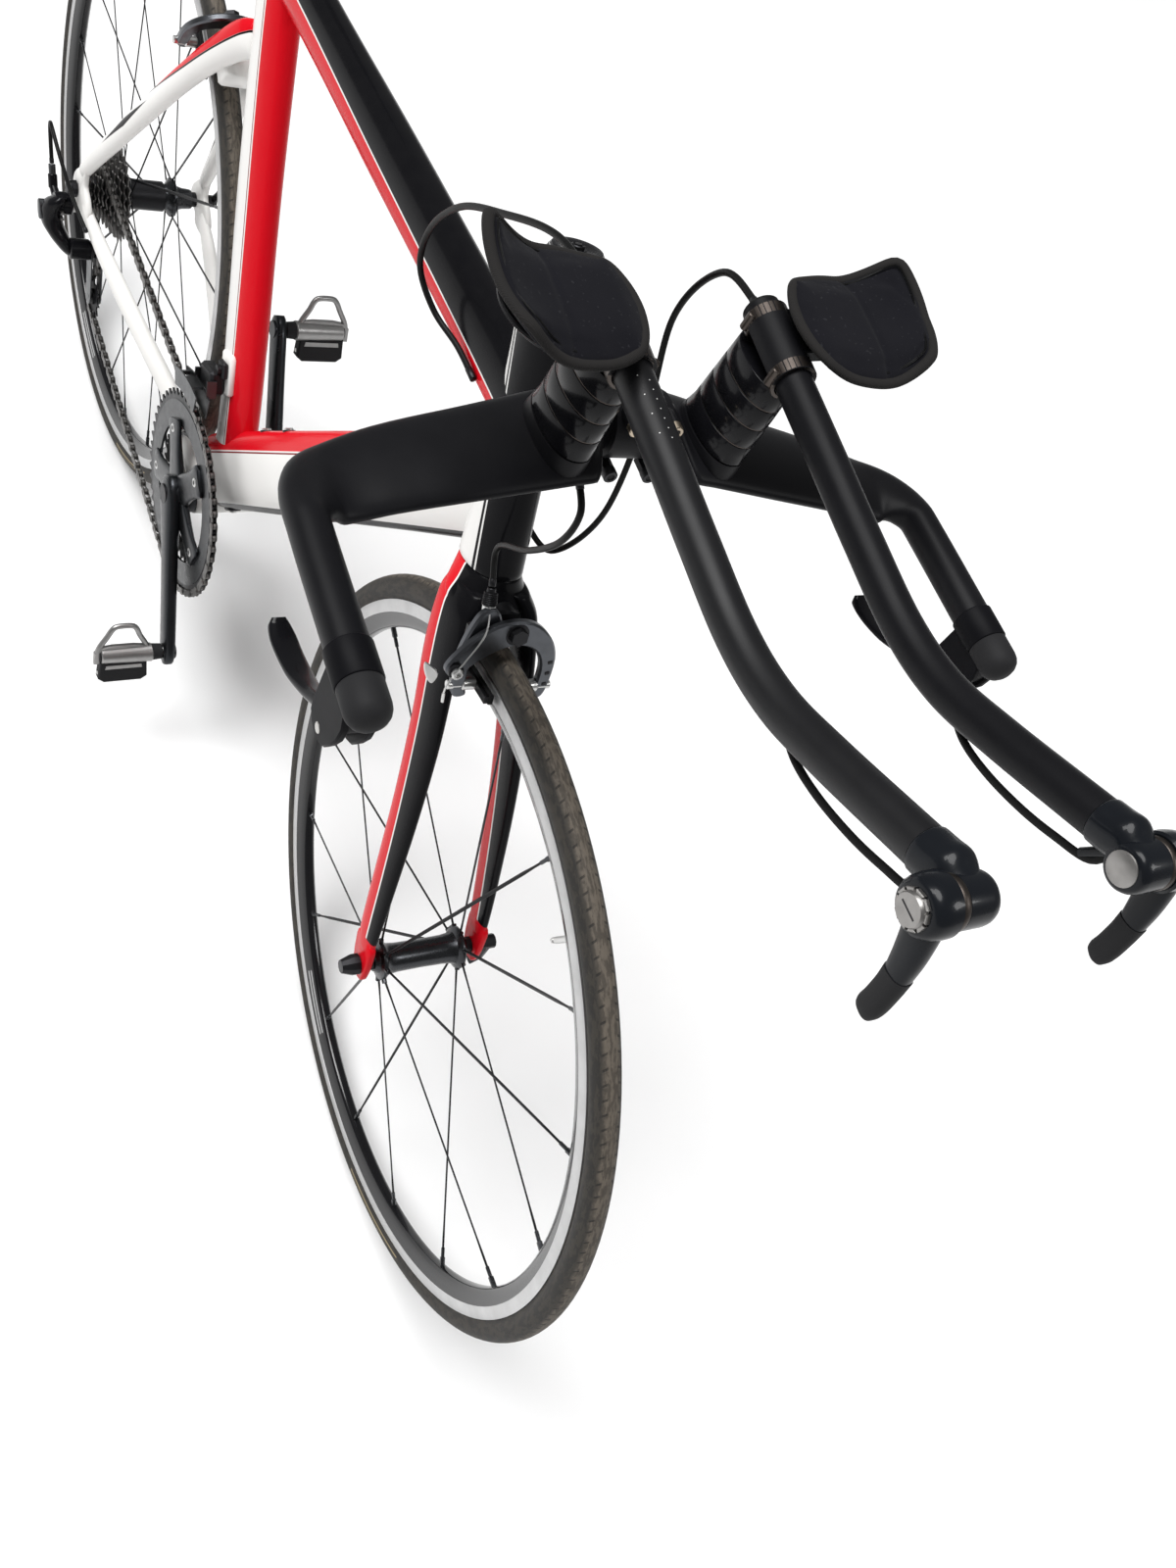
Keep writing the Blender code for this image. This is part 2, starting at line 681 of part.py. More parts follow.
def make_fork():
    """Crown, blades, tips and steerer in one piece."""
    rings = []
    top = HEAD_TUBE_LOW - GAP
    for up, forward, depth, width in ((top, -0.006, 0.0290, 0.0205), (0.368, -0.004, 0.0285, 0.0260),
                                      (0.356, 0.001, 0.0270, 0.0330), (CROWN_LOW, 0.004, 0.0240, 0.0340)):
        rings.append(oval(steer_point(up, forward), STEER_FORWARD, SIDE, depth, width, 14, 0.8))
    ob = loft("fork", rings)
    ob = fuse(ob, fork_leg(-1), fork_leg(1))
    fuse(ob, rod("steerer", steer_point(0.366), steer_point(STEERER_TOP), STEERER_RADIUS, 16))
    for side in (-1, 1):
        y = side * (FRONT_AXLE_WIDTH / 2 + GAP + DROPOUT_THICKNESS / 2)
        tip = frame_matrix(FRONT_AXLE + SIDE * y, STEER_FORWARD, STEER_UP)
        fuse(ob, plate("tip", FORK_TIP_OUTLINE, DROPOUT_THICKNESS, tip))
        slot = AXLE_RADIUS + GAP
        hole = rod("slot", FRONT_AXLE + SIDE * (y - 0.012), FRONT_AXLE + SIDE * (y + 0.012), slot, 16)
        mouth = block("mouth", FRONT_AXLE + SIDE * y - STEER_UP * 0.012, (slot * 2, 0.024, 0.024),
                      STEER_FORWARD, SIDE)
        cut(ob, fuse(hole, mouth))
    arch = rod("tyre_arch", FRONT_AXLE - SIDE * 0.0150, FRONT_AXLE + SIDE * 0.0150,
               TYRE_RADIUS + 0.006, 24)
    cut(ob, arch)
    return finish(ob, "fork", gloss_black())


def make_stem():
    """A quill-free stem: steerer clamp, arm and a clamp round the bar's centre."""
    ob = rod("stem", steer_point(STEM_LOW), steer_point(STEM_HIGH), 0.0210, 18)
    wing = Vector((WING_CENTRE[0], 0.0, WING_CENTRE[1]))
    start = steer_point((STEM_LOW + STEM_HIGH) / 2 + 0.010)
    arm = [(start, 0.0185, 0.0175), (start.lerp(wing, 0.5), 0.0160, 0.0165), (wing, 0.0185, 0.0185)]
    fuse(ob, tapered_tube("arm", arm, 12, 0.9))
    fuse(ob, rod("bar_clamp", wing - SIDE * 0.0205, wing + SIDE * 0.0205, BAR_CLAMP_RADIUS + 0.0055, 20))
    for side in (-1, 1):
        for up in (-1, 1):
            head = wing + Vector((0.010, side * 0.0140, up * 0.0195))
            fuse(ob, rod("bolt", head, head + Vector((0.0165, 0.0, 0.0)), 0.0045, 6))
    steerer_bore = rod("steerer_bore", steer_point(STEM_LOW - 0.02), steer_point(STEM_HIGH + 0.02),
                       STEERER_RADIUS + GAP, 16)
    cut(ob, base_bar_solid(GAP), steerer_bore)
    return finish(ob, "stem", matte_black())


def make_top_cap():
    """The steerer's cap: a dished disc with a bolt, sitting on the stem."""
    low = GAP
    profile = [(0.0, 0.0080), (0.0045, 0.0080), (0.0045, 0.0062), (0.0150, 0.0062), (0.0180, low),
               (0.0, low)]
    place = axis_matrix(steer_point(STEM_HIGH), STEER_UP)
    return finish(turned("cap", profile, place, 18), "top_cap", gloss_black())


def wing_station(y):
    """Centre, half chord and half thickness of the base bar's wing at a distance from the middle."""
    share = min(abs(y) / 0.20, 1.0)
    x = WING_CENTRE[0] + 0.0275 * share
    z = WING_CENTRE[1] - 0.0265 * share
    chord = WING_HALF_CHORD[0] + (WING_HALF_CHORD[1] - WING_HALF_CHORD[0]) * share
    return x, z, chord


def base_bar_half():
    """Stations from the horn's tip to the middle: point, flat direction, half chord, half thickness."""
    forward = Vector((1.0, 0.0, 0.0))
    stations = []
    for x in (HORN_TIP_X - 0.015, 0.600):
        stations.append((Vector((x, BAR_END_Y, HORN_HEIGHT)), -SIDE, HORN_RADIUS, HORN_RADIUS))
    bend_radius = 0.028
    bend = Vector((0.5635, BAR_END_Y - bend_radius, HORN_HEIGHT))
    for degrees, grow in ((8, 0.0), (35, 0.22), (62, 0.60), (85, 0.92)):
        turn_by = math.radians(degrees)
        flat = Vector((math.sin(turn_by), -math.cos(turn_by), 0.0))
        wide = HORN_RADIUS + (WING_HALF_CHORD[1] - HORN_RADIUS) * grow
        point = bend - flat * (bend_radius + (wide - HORN_RADIUS) * 0.7)
        point.z = HORN_HEIGHT - 0.009 * grow
        thick = HORN_RADIUS + (WING_HALF_THICK - HORN_RADIUS) * grow
        stations.append((point, flat, wide, thick))
    for y in (0.160, 0.100, 0.050, 0.036):
        x, z, chord = wing_station(y)
        stations.append((Vector((x, y, z)), forward, chord, WING_HALF_THICK))
    for y in (0.0245, 0.0):
        stations.append((Vector((WING_CENTRE[0], y, WING_CENTRE[1])), forward, BAR_CLAMP_RADIUS,
                         BAR_CLAMP_RADIUS))
    return stations


def base_bar_solid(extra=0.0):
    up = Vector((0.0, 0.0, 1.0))
    half = base_bar_half()
    rings = []
    for point, flat, wide, thick in half:
        rings.append(oval(point, flat, up, wide + extra, thick + extra, 10, 0.9))
    for point, flat, wide, thick in reversed(half[:-1]):
        p = Vector((point.x, -point.y, point.z))
        f = Vector((flat.x, -flat.y, flat.z))
        rings.append(oval(p, f, up, wide + extra, thick + extra, 10, 0.9))
    return loft("base_bar_solid", rings)


def make_base_bar():
    return finish(base_bar_solid(), "base_bar", matte_black())


# Extensions, arm pads and levers, drawn for side -1 (right) or 1 (left)

EXTENSION_SLOPE = -0.0886
EXTENSION_REAR = (0.487, 0.9693)
EXTENSION_TIP = (0.853, 1.002)
CLAMP_X = (0.4925, 0.5415)
DRUM_CENTRE = (0.880, 1.007)
LEVER_PIVOT = (0.658, 0.822)
LEVER_TIP = (0.566, 0.7855)
SHIFT_Y = 0.0655
CLAMP_WALL = 0.0030
LEVER_WIDTH = 0.0094


def extension_height(x):
    """Height of the straight rear stretch of an extension."""
    return EXTENSION_REAR[1] + EXTENSION_SLOPE * (x - EXTENSION_REAR[0])


def extension_path(side):
    line = [(x, extension_height(x)) for x in (EXTENSION_REAR[0], 0.545, 0.600, 0.650)]
    line += [(0.705, 0.9515), (0.748, 0.9570), (0.790, 0.9733), EXTENSION_TIP]
    return [Vector((x, side * EXTENSION_Y, z)) for x, z in line]


def make_extension(side, name):
    points = smooth_path(extension_path(side), 13)
    return finish(tube("extension", points, EXTENSION_RADIUS, 2), name, matte_black())


def clamp_ends(side, grow=0.0):
    return [Vector((x, side * EXTENSION_Y, extension_height(x)))
            for x in (CLAMP_X[0] - grow, CLAMP_X[1] + grow)]


def pad_matrix(side):
    """Local X forward along the pad, local Y outboard."""
    forward = Vector((1.0, 0.0, EXTENSION_SLOPE * 0.8))
    out = SIDE * side
    return frame_matrix((PAD_X, side * PAD_Y, PAD_Z), forward, out)


def make_support(side, name):
    """Riser stack on the wing, extension clamp and the cup below the arm pad."""
    y = side * EXTENSION_Y
    forward = Vector((1.0, 0.0, 0.0))
    rings = []
    for x, z, length, width in ((0.505, 0.874, 0.0330, 0.0185), (0.509, 0.900, 0.0290, 0.0160),
                                (0.514, 0.952, 0.0270, 0.0150)):
        rings.append(oval((x, y, z), forward, SIDE, length, width, 12))
    ob = loft("riser", rings)
    rear, front = clamp_ends(side)
    fuse(ob, rod("clamp", rear, front, EXTENSION_RADIUS + CLAMP_WALL, 14))
    place = pad_matrix(side)
    cup_z = -0.0016
    outline = [(0.031 * c, 0.030 * s) for c, s in circle(1.0, 12)]
    cup_place = place @ Matrix.Translation((-0.004, 0.004, cup_z * side))
    fuse(ob, plate("cup", outline, 0.0032, cup_place))
    bracket = place @ Matrix.Translation((-0.004, -0.026, -0.0075 * side))
    fuse(ob, plate("bracket", [(-0.017, -0.014), (0.017, -0.014), (0.013, 0.022), (-0.013, 0.022)],
                   0.009, bracket))
    bore_rear, bore_front = clamp_ends(side, 0.03)
    cut(ob, rod("bore", bore_rear, bore_front, EXTENSION_RADIUS + GAP, 14), base_bar_solid(GAP))
    return finish(ob, name, matte_black())


def pad_point(s, t, top):
    """A point of the arm pad's cage for s forward and t outboard, from -1 to 1."""
    x = s * math.sqrt(1 - t * t / 2.5)
    y = t * math.sqrt(1 - s * s / 2.5)
    outer = max(0.0, t - 0.15)
    inner = max(0.0, -t - 0.45)
    rear = max(0.0, -s)
    height = 0.021 * outer ** 2 + 0.012 * inner ** 2 + 0.008 * rear * outer
    ear = 0.010 * rear * max(0.0, t) ** 2
    edge = max(abs(s), abs(t))
    crown = PAD_THICKNESS * (1 - 0.30 * edge ** 4)
    channel = 0.0014 * math.exp(-((t - 0.15) / 0.16) ** 2)
    lift = crown - channel if top else 0.0
    return x * PAD_LENGTH / 2 - ear, y * PAD_WIDTH / 2 + 0.5 * ear, height + lift


def make_arm_pad(side, name):
    """A crowned cushion with raised wings, drawn-in sides and a sewn channel."""
    count = 5
    steps = [-1 + 2 * i / (count - 1) for i in range(count)]
    bm = bmesh.new()
    place = pad_matrix(side)
    levels = {}
    for top in (True, False):
        for i, s in enumerate(steps):
            for j, t in enumerate(steps):
                x, y, z = pad_point(s, t, top)
                if i in (0, count - 1) or j in (0, count - 1):
                    z += -0.002 if top else 0.0018
                levels[top, i, j] = bm.verts.new(place @ Vector((x, y, z * side)))
    for top in (True, False):
        for i in range(count - 1):
            for j in range(count - 1):
                bm.faces.new([levels[top, i, j], levels[top, i + 1, j],
                              levels[top, i + 1, j + 1], levels[top, i, j + 1]])
    last = count - 1
    border = [(i, 0) for i in range(last)] + [(last, j) for j in range(last)]
    border += [(i, last) for i in range(last, 0, -1)] + [(0, j) for j in range(last, 0, -1)]
    for (i, j), (k, m) in zip(border, border[1:] + border[:1]):
        bm.faces.new([levels[True, i, j], levels[True, k, m], levels[False, k, m], levels[False, i, j]])
    ob = from_bmesh("pad", bm)
    soft = ob.modifiers.new("soft", "SUBSURF")
    soft.levels = 1
    soft.render_levels = 1
    return finish(applied(ob), name, material("neoprene", (0.022, 0.022, 0.026), 0.9))


def make_bar_end(side, name):
    """Collar, rounded rubber cap and the perch that carries the brake lever."""
    y = side * BAR_END_Y
    start = Vector((HORN_TIP_X - 0.015 + GAP, y, HORN_HEIGHT))
    profile = [(0.0, 0.0480), (0.0060, 0.0470), (0.0105, 0.0430), (0.0126, 0.0370), (0.0126, 0.0235),
               (0.0134, 0.0225), (0.0134, 0.0), (0.0, 0.0)]
    ob = turned("bar_end", profile, axis_matrix(start, (1, 0, 0)), 12)
    pivot_x, pivot_z = LEVER_PIVOT
    outline = [(0.672, 0.860), (0.686, 0.852), (0.690, 0.836), (0.682, 0.818), (pivot_x, pivot_z - 0.0075),
               (0.646, 0.818), (0.640, 0.834), (0.641, 0.860)]
    fuse(ob, plate("perch", outline, 0.0200, side_matrix(y)))
    fork = block("lever_slot", (pivot_x - 0.010, y, pivot_z - 0.002), (0.044, LEVER_WIDTH + 2 * GAP, 0.020),
                 (0.96, 0.0, 0.28), SIDE)
    cut(ob, fork)
    fuse(ob, rod("pin", (pivot_x, y - 0.0095, pivot_z), (pivot_x, y + 0.0095, pivot_z), 0.0022, 8))
    return finish(ob, name, gloss_black())


def make_brake_lever(side, name):
    """A curved blade: a boss on the pin, then a flared finger plate."""
    y = side * BAR_END_Y
    px, pz = LEVER_PIVOT
    tx, tz = LEVER_TIP
    ob = rod("boss", (px, y - LEVER_WIDTH / 2, pz), (px, y + LEVER_WIDTH / 2, pz), 0.0056, 10)
    stations = [((px, y, pz), 0.0045, 0.0045), ((px - 0.018, y, pz - 0.0075), 0.0042, 0.0046),
                ((px - 0.036, y, pz - 0.0190), 0.0036, 0.0062),
                ((px - 0.058, y, pz - 0.0295), 0.0032, 0.0078),
                ((tx + 0.012, y, tz + 0.0015), 0.0030, 0.0080), ((tx, y, tz + 0.0005), 0.0036, 0.0066),
                ((tx - 0.004, y, tz + 0.0035), 0.0026, 0.0048)]
    fuse(ob, tapered_tube("blade", stations, 8, 0.8))
    cut(ob, rod("hole", (px, y - 0.02, pz), (px, y + 0.02, pz), 0.0022 + GAP, 8))
    return finish(ob, name, gloss_black())


def make_shifter_pod(side, name):
    """The plug in the extension's tip, its cross barrel and the bare housing below it."""
    tip = Vector((EXTENSION_TIP[0], side * EXTENSION_Y, EXTENSION_TIP[1]))
    before = extension_path(side)[-2]
    along = (tip - before).normalized()
    centre = Vector((DRUM_CENTRE[0], side * EXTENSION_Y, DRUM_CENTRE[1]))
    rings = []
    across = along.cross(SIDE)
    for point, a, b in ((tip + along * GAP, 0.0116, 0.0116), (tip + along * 0.008, 0.0118, 0.0118),
                        (centre, 0.0115, 0.0100)):
        rings.append(oval(point, across, SIDE, a, b, 12))
    ob = loft("plug", rings)
    fuse(ob, rod("barrel", centre - SIDE * side * 0.0105, Vector((centre.x, side * SHIFT_Y, centre.z)),
                 0.0125, 14))
    fuse(ob, rod("cap", centre - SIDE * side * 0.0120, centre, 0.0095, 12))
    route = [tip + along * 0.014 - across * 0.008, (0.865, tip.y, 0.9850), (0.846, tip.y, 0.9735),
             (0.825, tip.y, 0.9635), (0.800, tip.y, 0.9540), (0.778, tip.y, 0.9478), (0.762, tip.y, 0.9450)]
    fuse(ob, tube("housing", smooth_path(route, 7), 0.0021, 1))
    return finish(ob, name, gloss_black())


def make_shift_lever(side, name):
    cx, cz = DRUM_CENTRE
    inner = side * (SHIFT_Y + GAP)
    outer = side * (SHIFT_Y + 0.0150)
    ob = rod("drum", (cx, inner, cz), (cx, outer, cz), 0.0145, 16)
    fuse(ob, rod("dial", (cx, outer - side * 0.001, cz), (cx, outer + side * 0.0035, cz), 0.0098, 12))
    y = (inner + outer) / 2
    stations = [((cx + 0.004, y, cz - 0.004), 0.0095, 0.0062),
                ((cx + 0.0115, y, cz - 0.022), 0.0078, 0.0056),
                ((cx + 0.0165, y, cz - 0.038), 0.0062, 0.0050),
                ((cx + 0.0185, y, cz - 0.0580), 0.0066, 0.0046),
                ((cx + 0.0185, y, cz - 0.0630), 0.0048, 0.0034)]
    fuse(ob, tapered_tube("lever", stations, 8))
    return finish(ob, name, gloss_black())


# Wheels

HUB_BORE = 0.0058
TRACK_INNER = RIM_RADIUS - TRACK_DEPTH
RIM_INNER = RIM_RADIUS - RIM_DEPTH


def make_tyre(axle, name):
    half = TYRE_WIDTH / 2
    crown = TYRE_RADIUS - RIM_RADIUS
    seat = RIM_RADIUS + GAP
    profile = [(seat, half * 0.74), (seat + crown * 0.40, half), (TYRE_RADIUS, half * 0.36)]
    profile += [(r, -y) for r, y in reversed(profile)]
    ob = turned("tyre", profile, wheel_matrix(axle), WHEEL_SEGMENTS, True)
    return finish(ob, name, material("tyre_rubber", (0.045, 0.040, 0.036), 0.75))


def wheel_matrix(axle):
    """Local Z along the axle with local X down, so that a facet's corner meets the ground."""
    return frame_matrix(axle, (0, 0, -1), (1, 0, 0))


def make_rim(axle, name):
    half = RIM_WIDTH / 2
    profile = [(RIM_RADIUS, half), (TRACK_INNER, half), (RIM_INNER, 0.0040)]
    profile += [(r, -y) for r, y in reversed(profile)]
    ob = turned("rim", profile, wheel_matrix(axle), WHEEL_SEGMENTS, True)
    return finish(ob, name, gloss_black())


NIPPLE = 0.0150


def spoke(start, end):
    """A bladed spoke that swells into its nipple at the rim end."""
    along = (end - start).normalized()
    flat = SIDE - along * SIDE.dot(along)
    flat.normalize()
    wide = along.cross(flat)
    neck = end - along * NIPPLE
    rings = []
    for point, a, b in ((start, 0.0016, 0.0012), (neck, 0.0018, 0.0012), (end, 0.0024, 0.0024)):
        rings.append(oval(point, wide, flat, a, b, 3))
    return loft("spoke", rings)


def spoke_end_radius():
    return RIM_INNER * math.cos(math.pi / WHEEL_SEGMENTS) - GAP


def make_front_hub():
    profile = [(0.0090, 0.0440), (0.0115, 0.0400), (0.0200, 0.0385), (0.0200, 0.0345), (0.0100, 0.0290),
               (0.0090, 0.0), (0.0100, -0.0290), (0.0175, -0.0345), (0.0175, -0.0385), (0.0115, -0.0400),
               (0.0090, -0.0440), (HUB_BORE, -0.0440), (HUB_BORE, 0.0440)]
    ob = turned("front_hub", profile, axis_matrix(FRONT_AXLE, SIDE), 12, True)
    spokes = []
    for i in range(FRONT_SPOKES):
        angle = FRONT_SPOKE_PHASE + math.tau * i / FRONT_SPOKES
        out = Vector((math.cos(angle), 0.0, math.sin(angle)))
        y = 0.0365 if i % 2 else -0.0365
        end = spoke_end_radius()
        spokes.append(spoke(FRONT_AXLE + out * 0.0150 + SIDE * y, FRONT_AXLE + out * end))
    boolean(ob, joined("spokes", spokes), "UNION")
    return finish(ob, "front_hub", gloss_black())


def make_rear_hub():
    """Flanged shell; both sides' spokes leave along tangents and cross once a pair."""
    profile = [(0.0110, 0.0595), (0.0135, 0.0420), (0.0215, 0.0380), (0.0215, 0.0340), (0.0130, 0.0270),
               (0.0130, -0.0080), (0.0225, -0.0150), (0.0225, -0.0195), (0.0150, -0.0215),
               (HUB_BORE, -0.0215), (HUB_BORE, 0.0595)]
    ob = turned("rear_hub", profile, axis_matrix(REAR_AXLE, SIDE), 12, True)
    spokes = []
    end = spoke_end_radius()
    for i in range(REAR_SPOKES):
        angle = math.tau * i / REAR_SPOKES
        out = Vector((math.cos(angle), 0.0, math.sin(angle)))
        left = i % 2 == 1
        lead = 1 if (i // 2) % 2 else -1
        hub_angle = angle + lead * REAR_LACING
        hub_out = Vector((math.cos(hub_angle), 0.0, math.sin(hub_angle)))
        base = 0.0360 if left else -0.0172
        start = REAR_AXLE + hub_out * 0.0190 + SIDE * (base + lead * 0.0012)
        rim_y = 0.0009 if left else -0.0009
        spokes.append(spoke(start, REAR_AXLE + out * end + SIDE * rim_y))
    boolean(ob, joined("spokes", spokes), "UNION", self_crossing=True)
    return finish(ob, "rear_hub", gloss_black())



def make_front_axle():
    half = FRONT_AXLE_WIDTH / 2
    face = half + 2 * GAP + DROPOUT_THICKNESS
    profile = [(0.0, face + 0.0072), (0.0085, face + 0.0072), (0.0095, face), (AXLE_RADIUS, face),
               (AXLE_RADIUS, half), (0.0078, half), (0.0078, 0.0443), (0.0050, 0.0443), (0.0050, -0.0443),
               (0.0078, -0.0443), (0.0078, -half), (AXLE_RADIUS, -half), (AXLE_RADIUS, -face),
               (0.0095, -face), (0.0095, -face - 0.0060), (0.0060, -face - 0.0160), (0.0, -face - 0.0160)]
    ob = turned("front_axle", profile, axis_matrix(FRONT_AXLE, SIDE), 10)
    return finish(ob, "front_axle", metal_black())


def make_rear_axle():
    half = REAR_AXLE_WIDTH / 2
    face = half + 2 * GAP + DROPOUT_THICKNESS + 0.0005
    profile = [(0.0, face + 0.0072), (0.0090, face + 0.0072), (0.0100, face), (REAR_AXLE_RADIUS, face),
               (REAR_AXLE_RADIUS, half), (0.0085, half), (0.0085, 0.0598), (0.0053, 0.0598),
               (0.0053, -0.0636),
               (0.0085, -0.0636), (0.0085, -half), (REAR_AXLE_RADIUS, -half), (REAR_AXLE_RADIUS, -face),
               (0.0095, -face), (0.0095, -face - 0.0050), (0.0060, -face - 0.0105), (0.0, -face - 0.0105)]
    ob = turned("rear_axle", profile, axis_matrix(REAR_AXLE, SIDE), 10)
    return finish(ob, "rear_axle", metal_black())


def make_skewer_lever(axle, face, direction, name):
    """The quick release's lever, lying against the axle's left end."""
    direction = Vector(direction).normalized()
    start = axle + SIDE * (face + 0.0075 + GAP)
    ob = rod("cam", start, start + SIDE * 0.0100, 0.0068, 10)
    middle = start + SIDE * 0.0060
    stations = [(middle, 0.0050, 0.0042), (middle + direction * 0.014 + SIDE * 0.002, 0.0050, 0.0036),
                (middle + direction * 0.034 + SIDE * 0.003, 0.0070, 0.0028),
                (middle + direction * 0.052 - SIDE * 0.001, 0.0062, 0.0022)]
    fuse(ob, tapered_tube("lever", stations, 8))
    return finish(ob, name, metal_black())


# Drivetrain: toothed wheels and the chain run on one path in the plane y = CHAIN_Y

def pitch_radius(teeth):
    return PITCH / (2 * math.sin(math.pi / teeth))


def turn_rule(radius, clockwise):
    return radius if clockwise else -radius


class ChainPath:
    """The chain's closed run: clockwise seen from the drive side, but not round the guide pulley."""

    def __init__(self, cage_angle):
        guide = Vector(GUIDE_PULLEY)
        tension = guide + CAGE_LENGTH * Vector((math.sin(cage_angle), -math.cos(cage_angle)))
        self.wheels = [(Vector((BB.x, BB.z)), BIG_RING_TEETH, True), (tension, JOCKEY_TEETH, True),
                       (guide, JOCKEY_TEETH, False),
                       (Vector((REAR_AXLE.x, REAR_AXLE.z)), COGS[CHAIN_COG], True)]
        self.headings = []
        count = len(self.wheels)
        for i in range(count):
            (c1, n1, cw1), (c2, n2, cw2) = self.wheels[i], self.wheels[(i + 1) % count]
            gap = c2 - c1
            r1 = turn_rule(pitch_radius(n1), cw1)
            r2 = turn_rule(pitch_radius(n2), cw2)
            self.headings.append(math.atan2(gap.y, gap.x) - math.asin((r1 - r2) / gap.length))
        self.pieces = []
        total = 0.0
        for i in range(count):
            teeth, clockwise = self.wheels[i][1:]
            into = self.headings[i - 1]
            out = self.headings[i]
            swept = (into - out) % math.tau if clockwise else (out - into) % math.tau
            length = swept * teeth / math.tau
            self.pieces.append((total, length, "arc", i))
            total += length
            nxt = (i + 1) % count
            start = self.contact(i, out)
            end = self.contact(nxt, out)
            run = (end - start).length / PITCH
            self.pieces.append((total, run, "line", i))
            total += run
        self.total = total

    def contact(self, i, heading):
        centre, teeth, clockwise = self.wheels[i]
        left = Vector((-math.sin(heading), math.cos(heading)))
        return centre + left * turn_rule(pitch_radius(teeth), clockwise)

    def arc_heading(self, i, along):
        teeth, clockwise = self.wheels[i][1:]
        step = math.tau * along / teeth
        return self.headings[i - 1] - step if clockwise else self.headings[i - 1] + step

    def point(self, count):
        """The place and heading after a number of chain pitches."""
        count %= self.total
        for start, length, kind, i in self.pieces:
            if count <= start + length:
                break
        if kind == "arc":
            heading = self.arc_heading(i, count - start)
            return self.contact(i, heading), heading
        heading = self.headings[i]
        step = Vector((math.cos(heading), math.sin(heading)))
        return self.contact(i, heading) + step * (count - start) * PITCH, heading

    def roller_angle(self, i):
        """The angle about a wheel's centre of a roller seated on it."""
        start = self.pieces[2 * i][0]
        place, _ = self.point(math.ceil(start + 0.001))
        arm = place - self.wheels[i][0]
        return math.atan2(arm.y, arm.x)


def fitted_chain_path():
    """Swings the cage until the run holds a whole, even number of links."""
    low, high = math.radians(-12), math.radians(38)
    middle = ChainPath((low + high) / 2).total
    links = 2 * round(middle / 2)
    for _ in range(40):
        half = (low + high) / 2
        if (ChainPath(half).total > links) == (ChainPath(low).total > links):
            low = half
        else:
            high = half
    return ChainPath(low), links


CHAIN, CHAIN_LINKS = fitted_chain_path()
TENSION_PULLEY = CHAIN.wheels[1][0]


def toothed_outline(teeth, gap_angle, driven):
    """A wheel's toothed edge: root flats below the rollers, where a chain runs, and tips between them."""
    radius = pitch_radius(teeth)
    root = radius - PLATE_HALF - 0.0006
    tip = radius + TOOTH_TIP
    root_half = (ROLLER_HALF + 0.0006) / root
    points = []
    for i in range(teeth):
        gap = gap_angle + math.tau * i / teeth
        crest = gap + math.pi / teeth
        spots = [(root, gap - root_half), (root, gap + root_half)] if driven else [(root, gap)]
        spots += [(tip, crest)]
        points += [(r * math.cos(a), r * math.sin(a)) for r, a in spots]
    return points


def toothed_plate(name, teeth, gap_angle, centre, y, thickness, hole, driven=True):
    place = frame_matrix((centre.x, y, centre.y), (1, 0, 0), (0, 0, 1))
    holes = [circle(hole, 18)] if hole else []
    return plate(name, toothed_outline(teeth, gap_angle, driven), thickness, place, holes)


def make_cassette():
    axle = CHAIN.wheels[3][0]
    low = FIRST_COG_Y - COG_THICKNESS / 2
    high = FIRST_COG_Y + (len(COGS) - 1) * COG_PITCH + COG_THICKNESS / 2
    ob = rod("cassette", (axle.x, low - 0.0012, axle.y), (axle.x, high + 0.0012, axle.y), 0.0165, 8)
    for i, teeth in enumerate(COGS):
        y = FIRST_COG_Y + i * COG_PITCH
        if i in (0, CHAIN_COG, len(COGS) - 1):
            fuse(ob, toothed_plate("cog", teeth, CHAIN.roller_angle(3), axle, y, COG_THICKNESS, 0))
        else:
            place = frame_matrix((axle.x, y, axle.y), (1, 0, 0), (0, 0, 1))
            fuse(ob, plate("cog", circle(pitch_radius(teeth) + TOOTH_TIP * 0.6, 16), COG_THICKNESS, place))
    cut(ob, rod("bore", (axle.x, -0.08, axle.y), (axle.x, 0.0, axle.y), HUB_BORE, 10))
    return finish(ob, "cassette", steel(), True)


def crank_direction(side):
    """From the crank axle to the pedal: the right arm is turned forward and down."""
    return Vector((math.sin(CRANK_ANGLE), 0.0, -math.cos(CRANK_ANGLE))) * (-side)


def crank_arm(side):
    along = crank_direction(side)
    inner = BB + SIDE * side * ARM_ROOT_Y
    tip = BB + along * CRANK_LENGTH + SIDE * side * (CRANK_FACE - 0.0065)
    wide = along.cross(SIDE)
    rings = []
    for share, half_wide, half_thick in ((-0.09, 0.0130, 0.0060), (-0.05, 0.0185, 0.0080),
                                         (0.06, 0.0190, 0.0085),
                                         (0.28, 0.0150, 0.0072), (0.95, 0.0140, 0.0064),
                                         (1.085, 0.0080, 0.0054)):
        rings.append(oval(inner.lerp(tip, share), wide, SIDE, half_wide, half_thick, 10, 0.8))
    return loft("arm", rings)



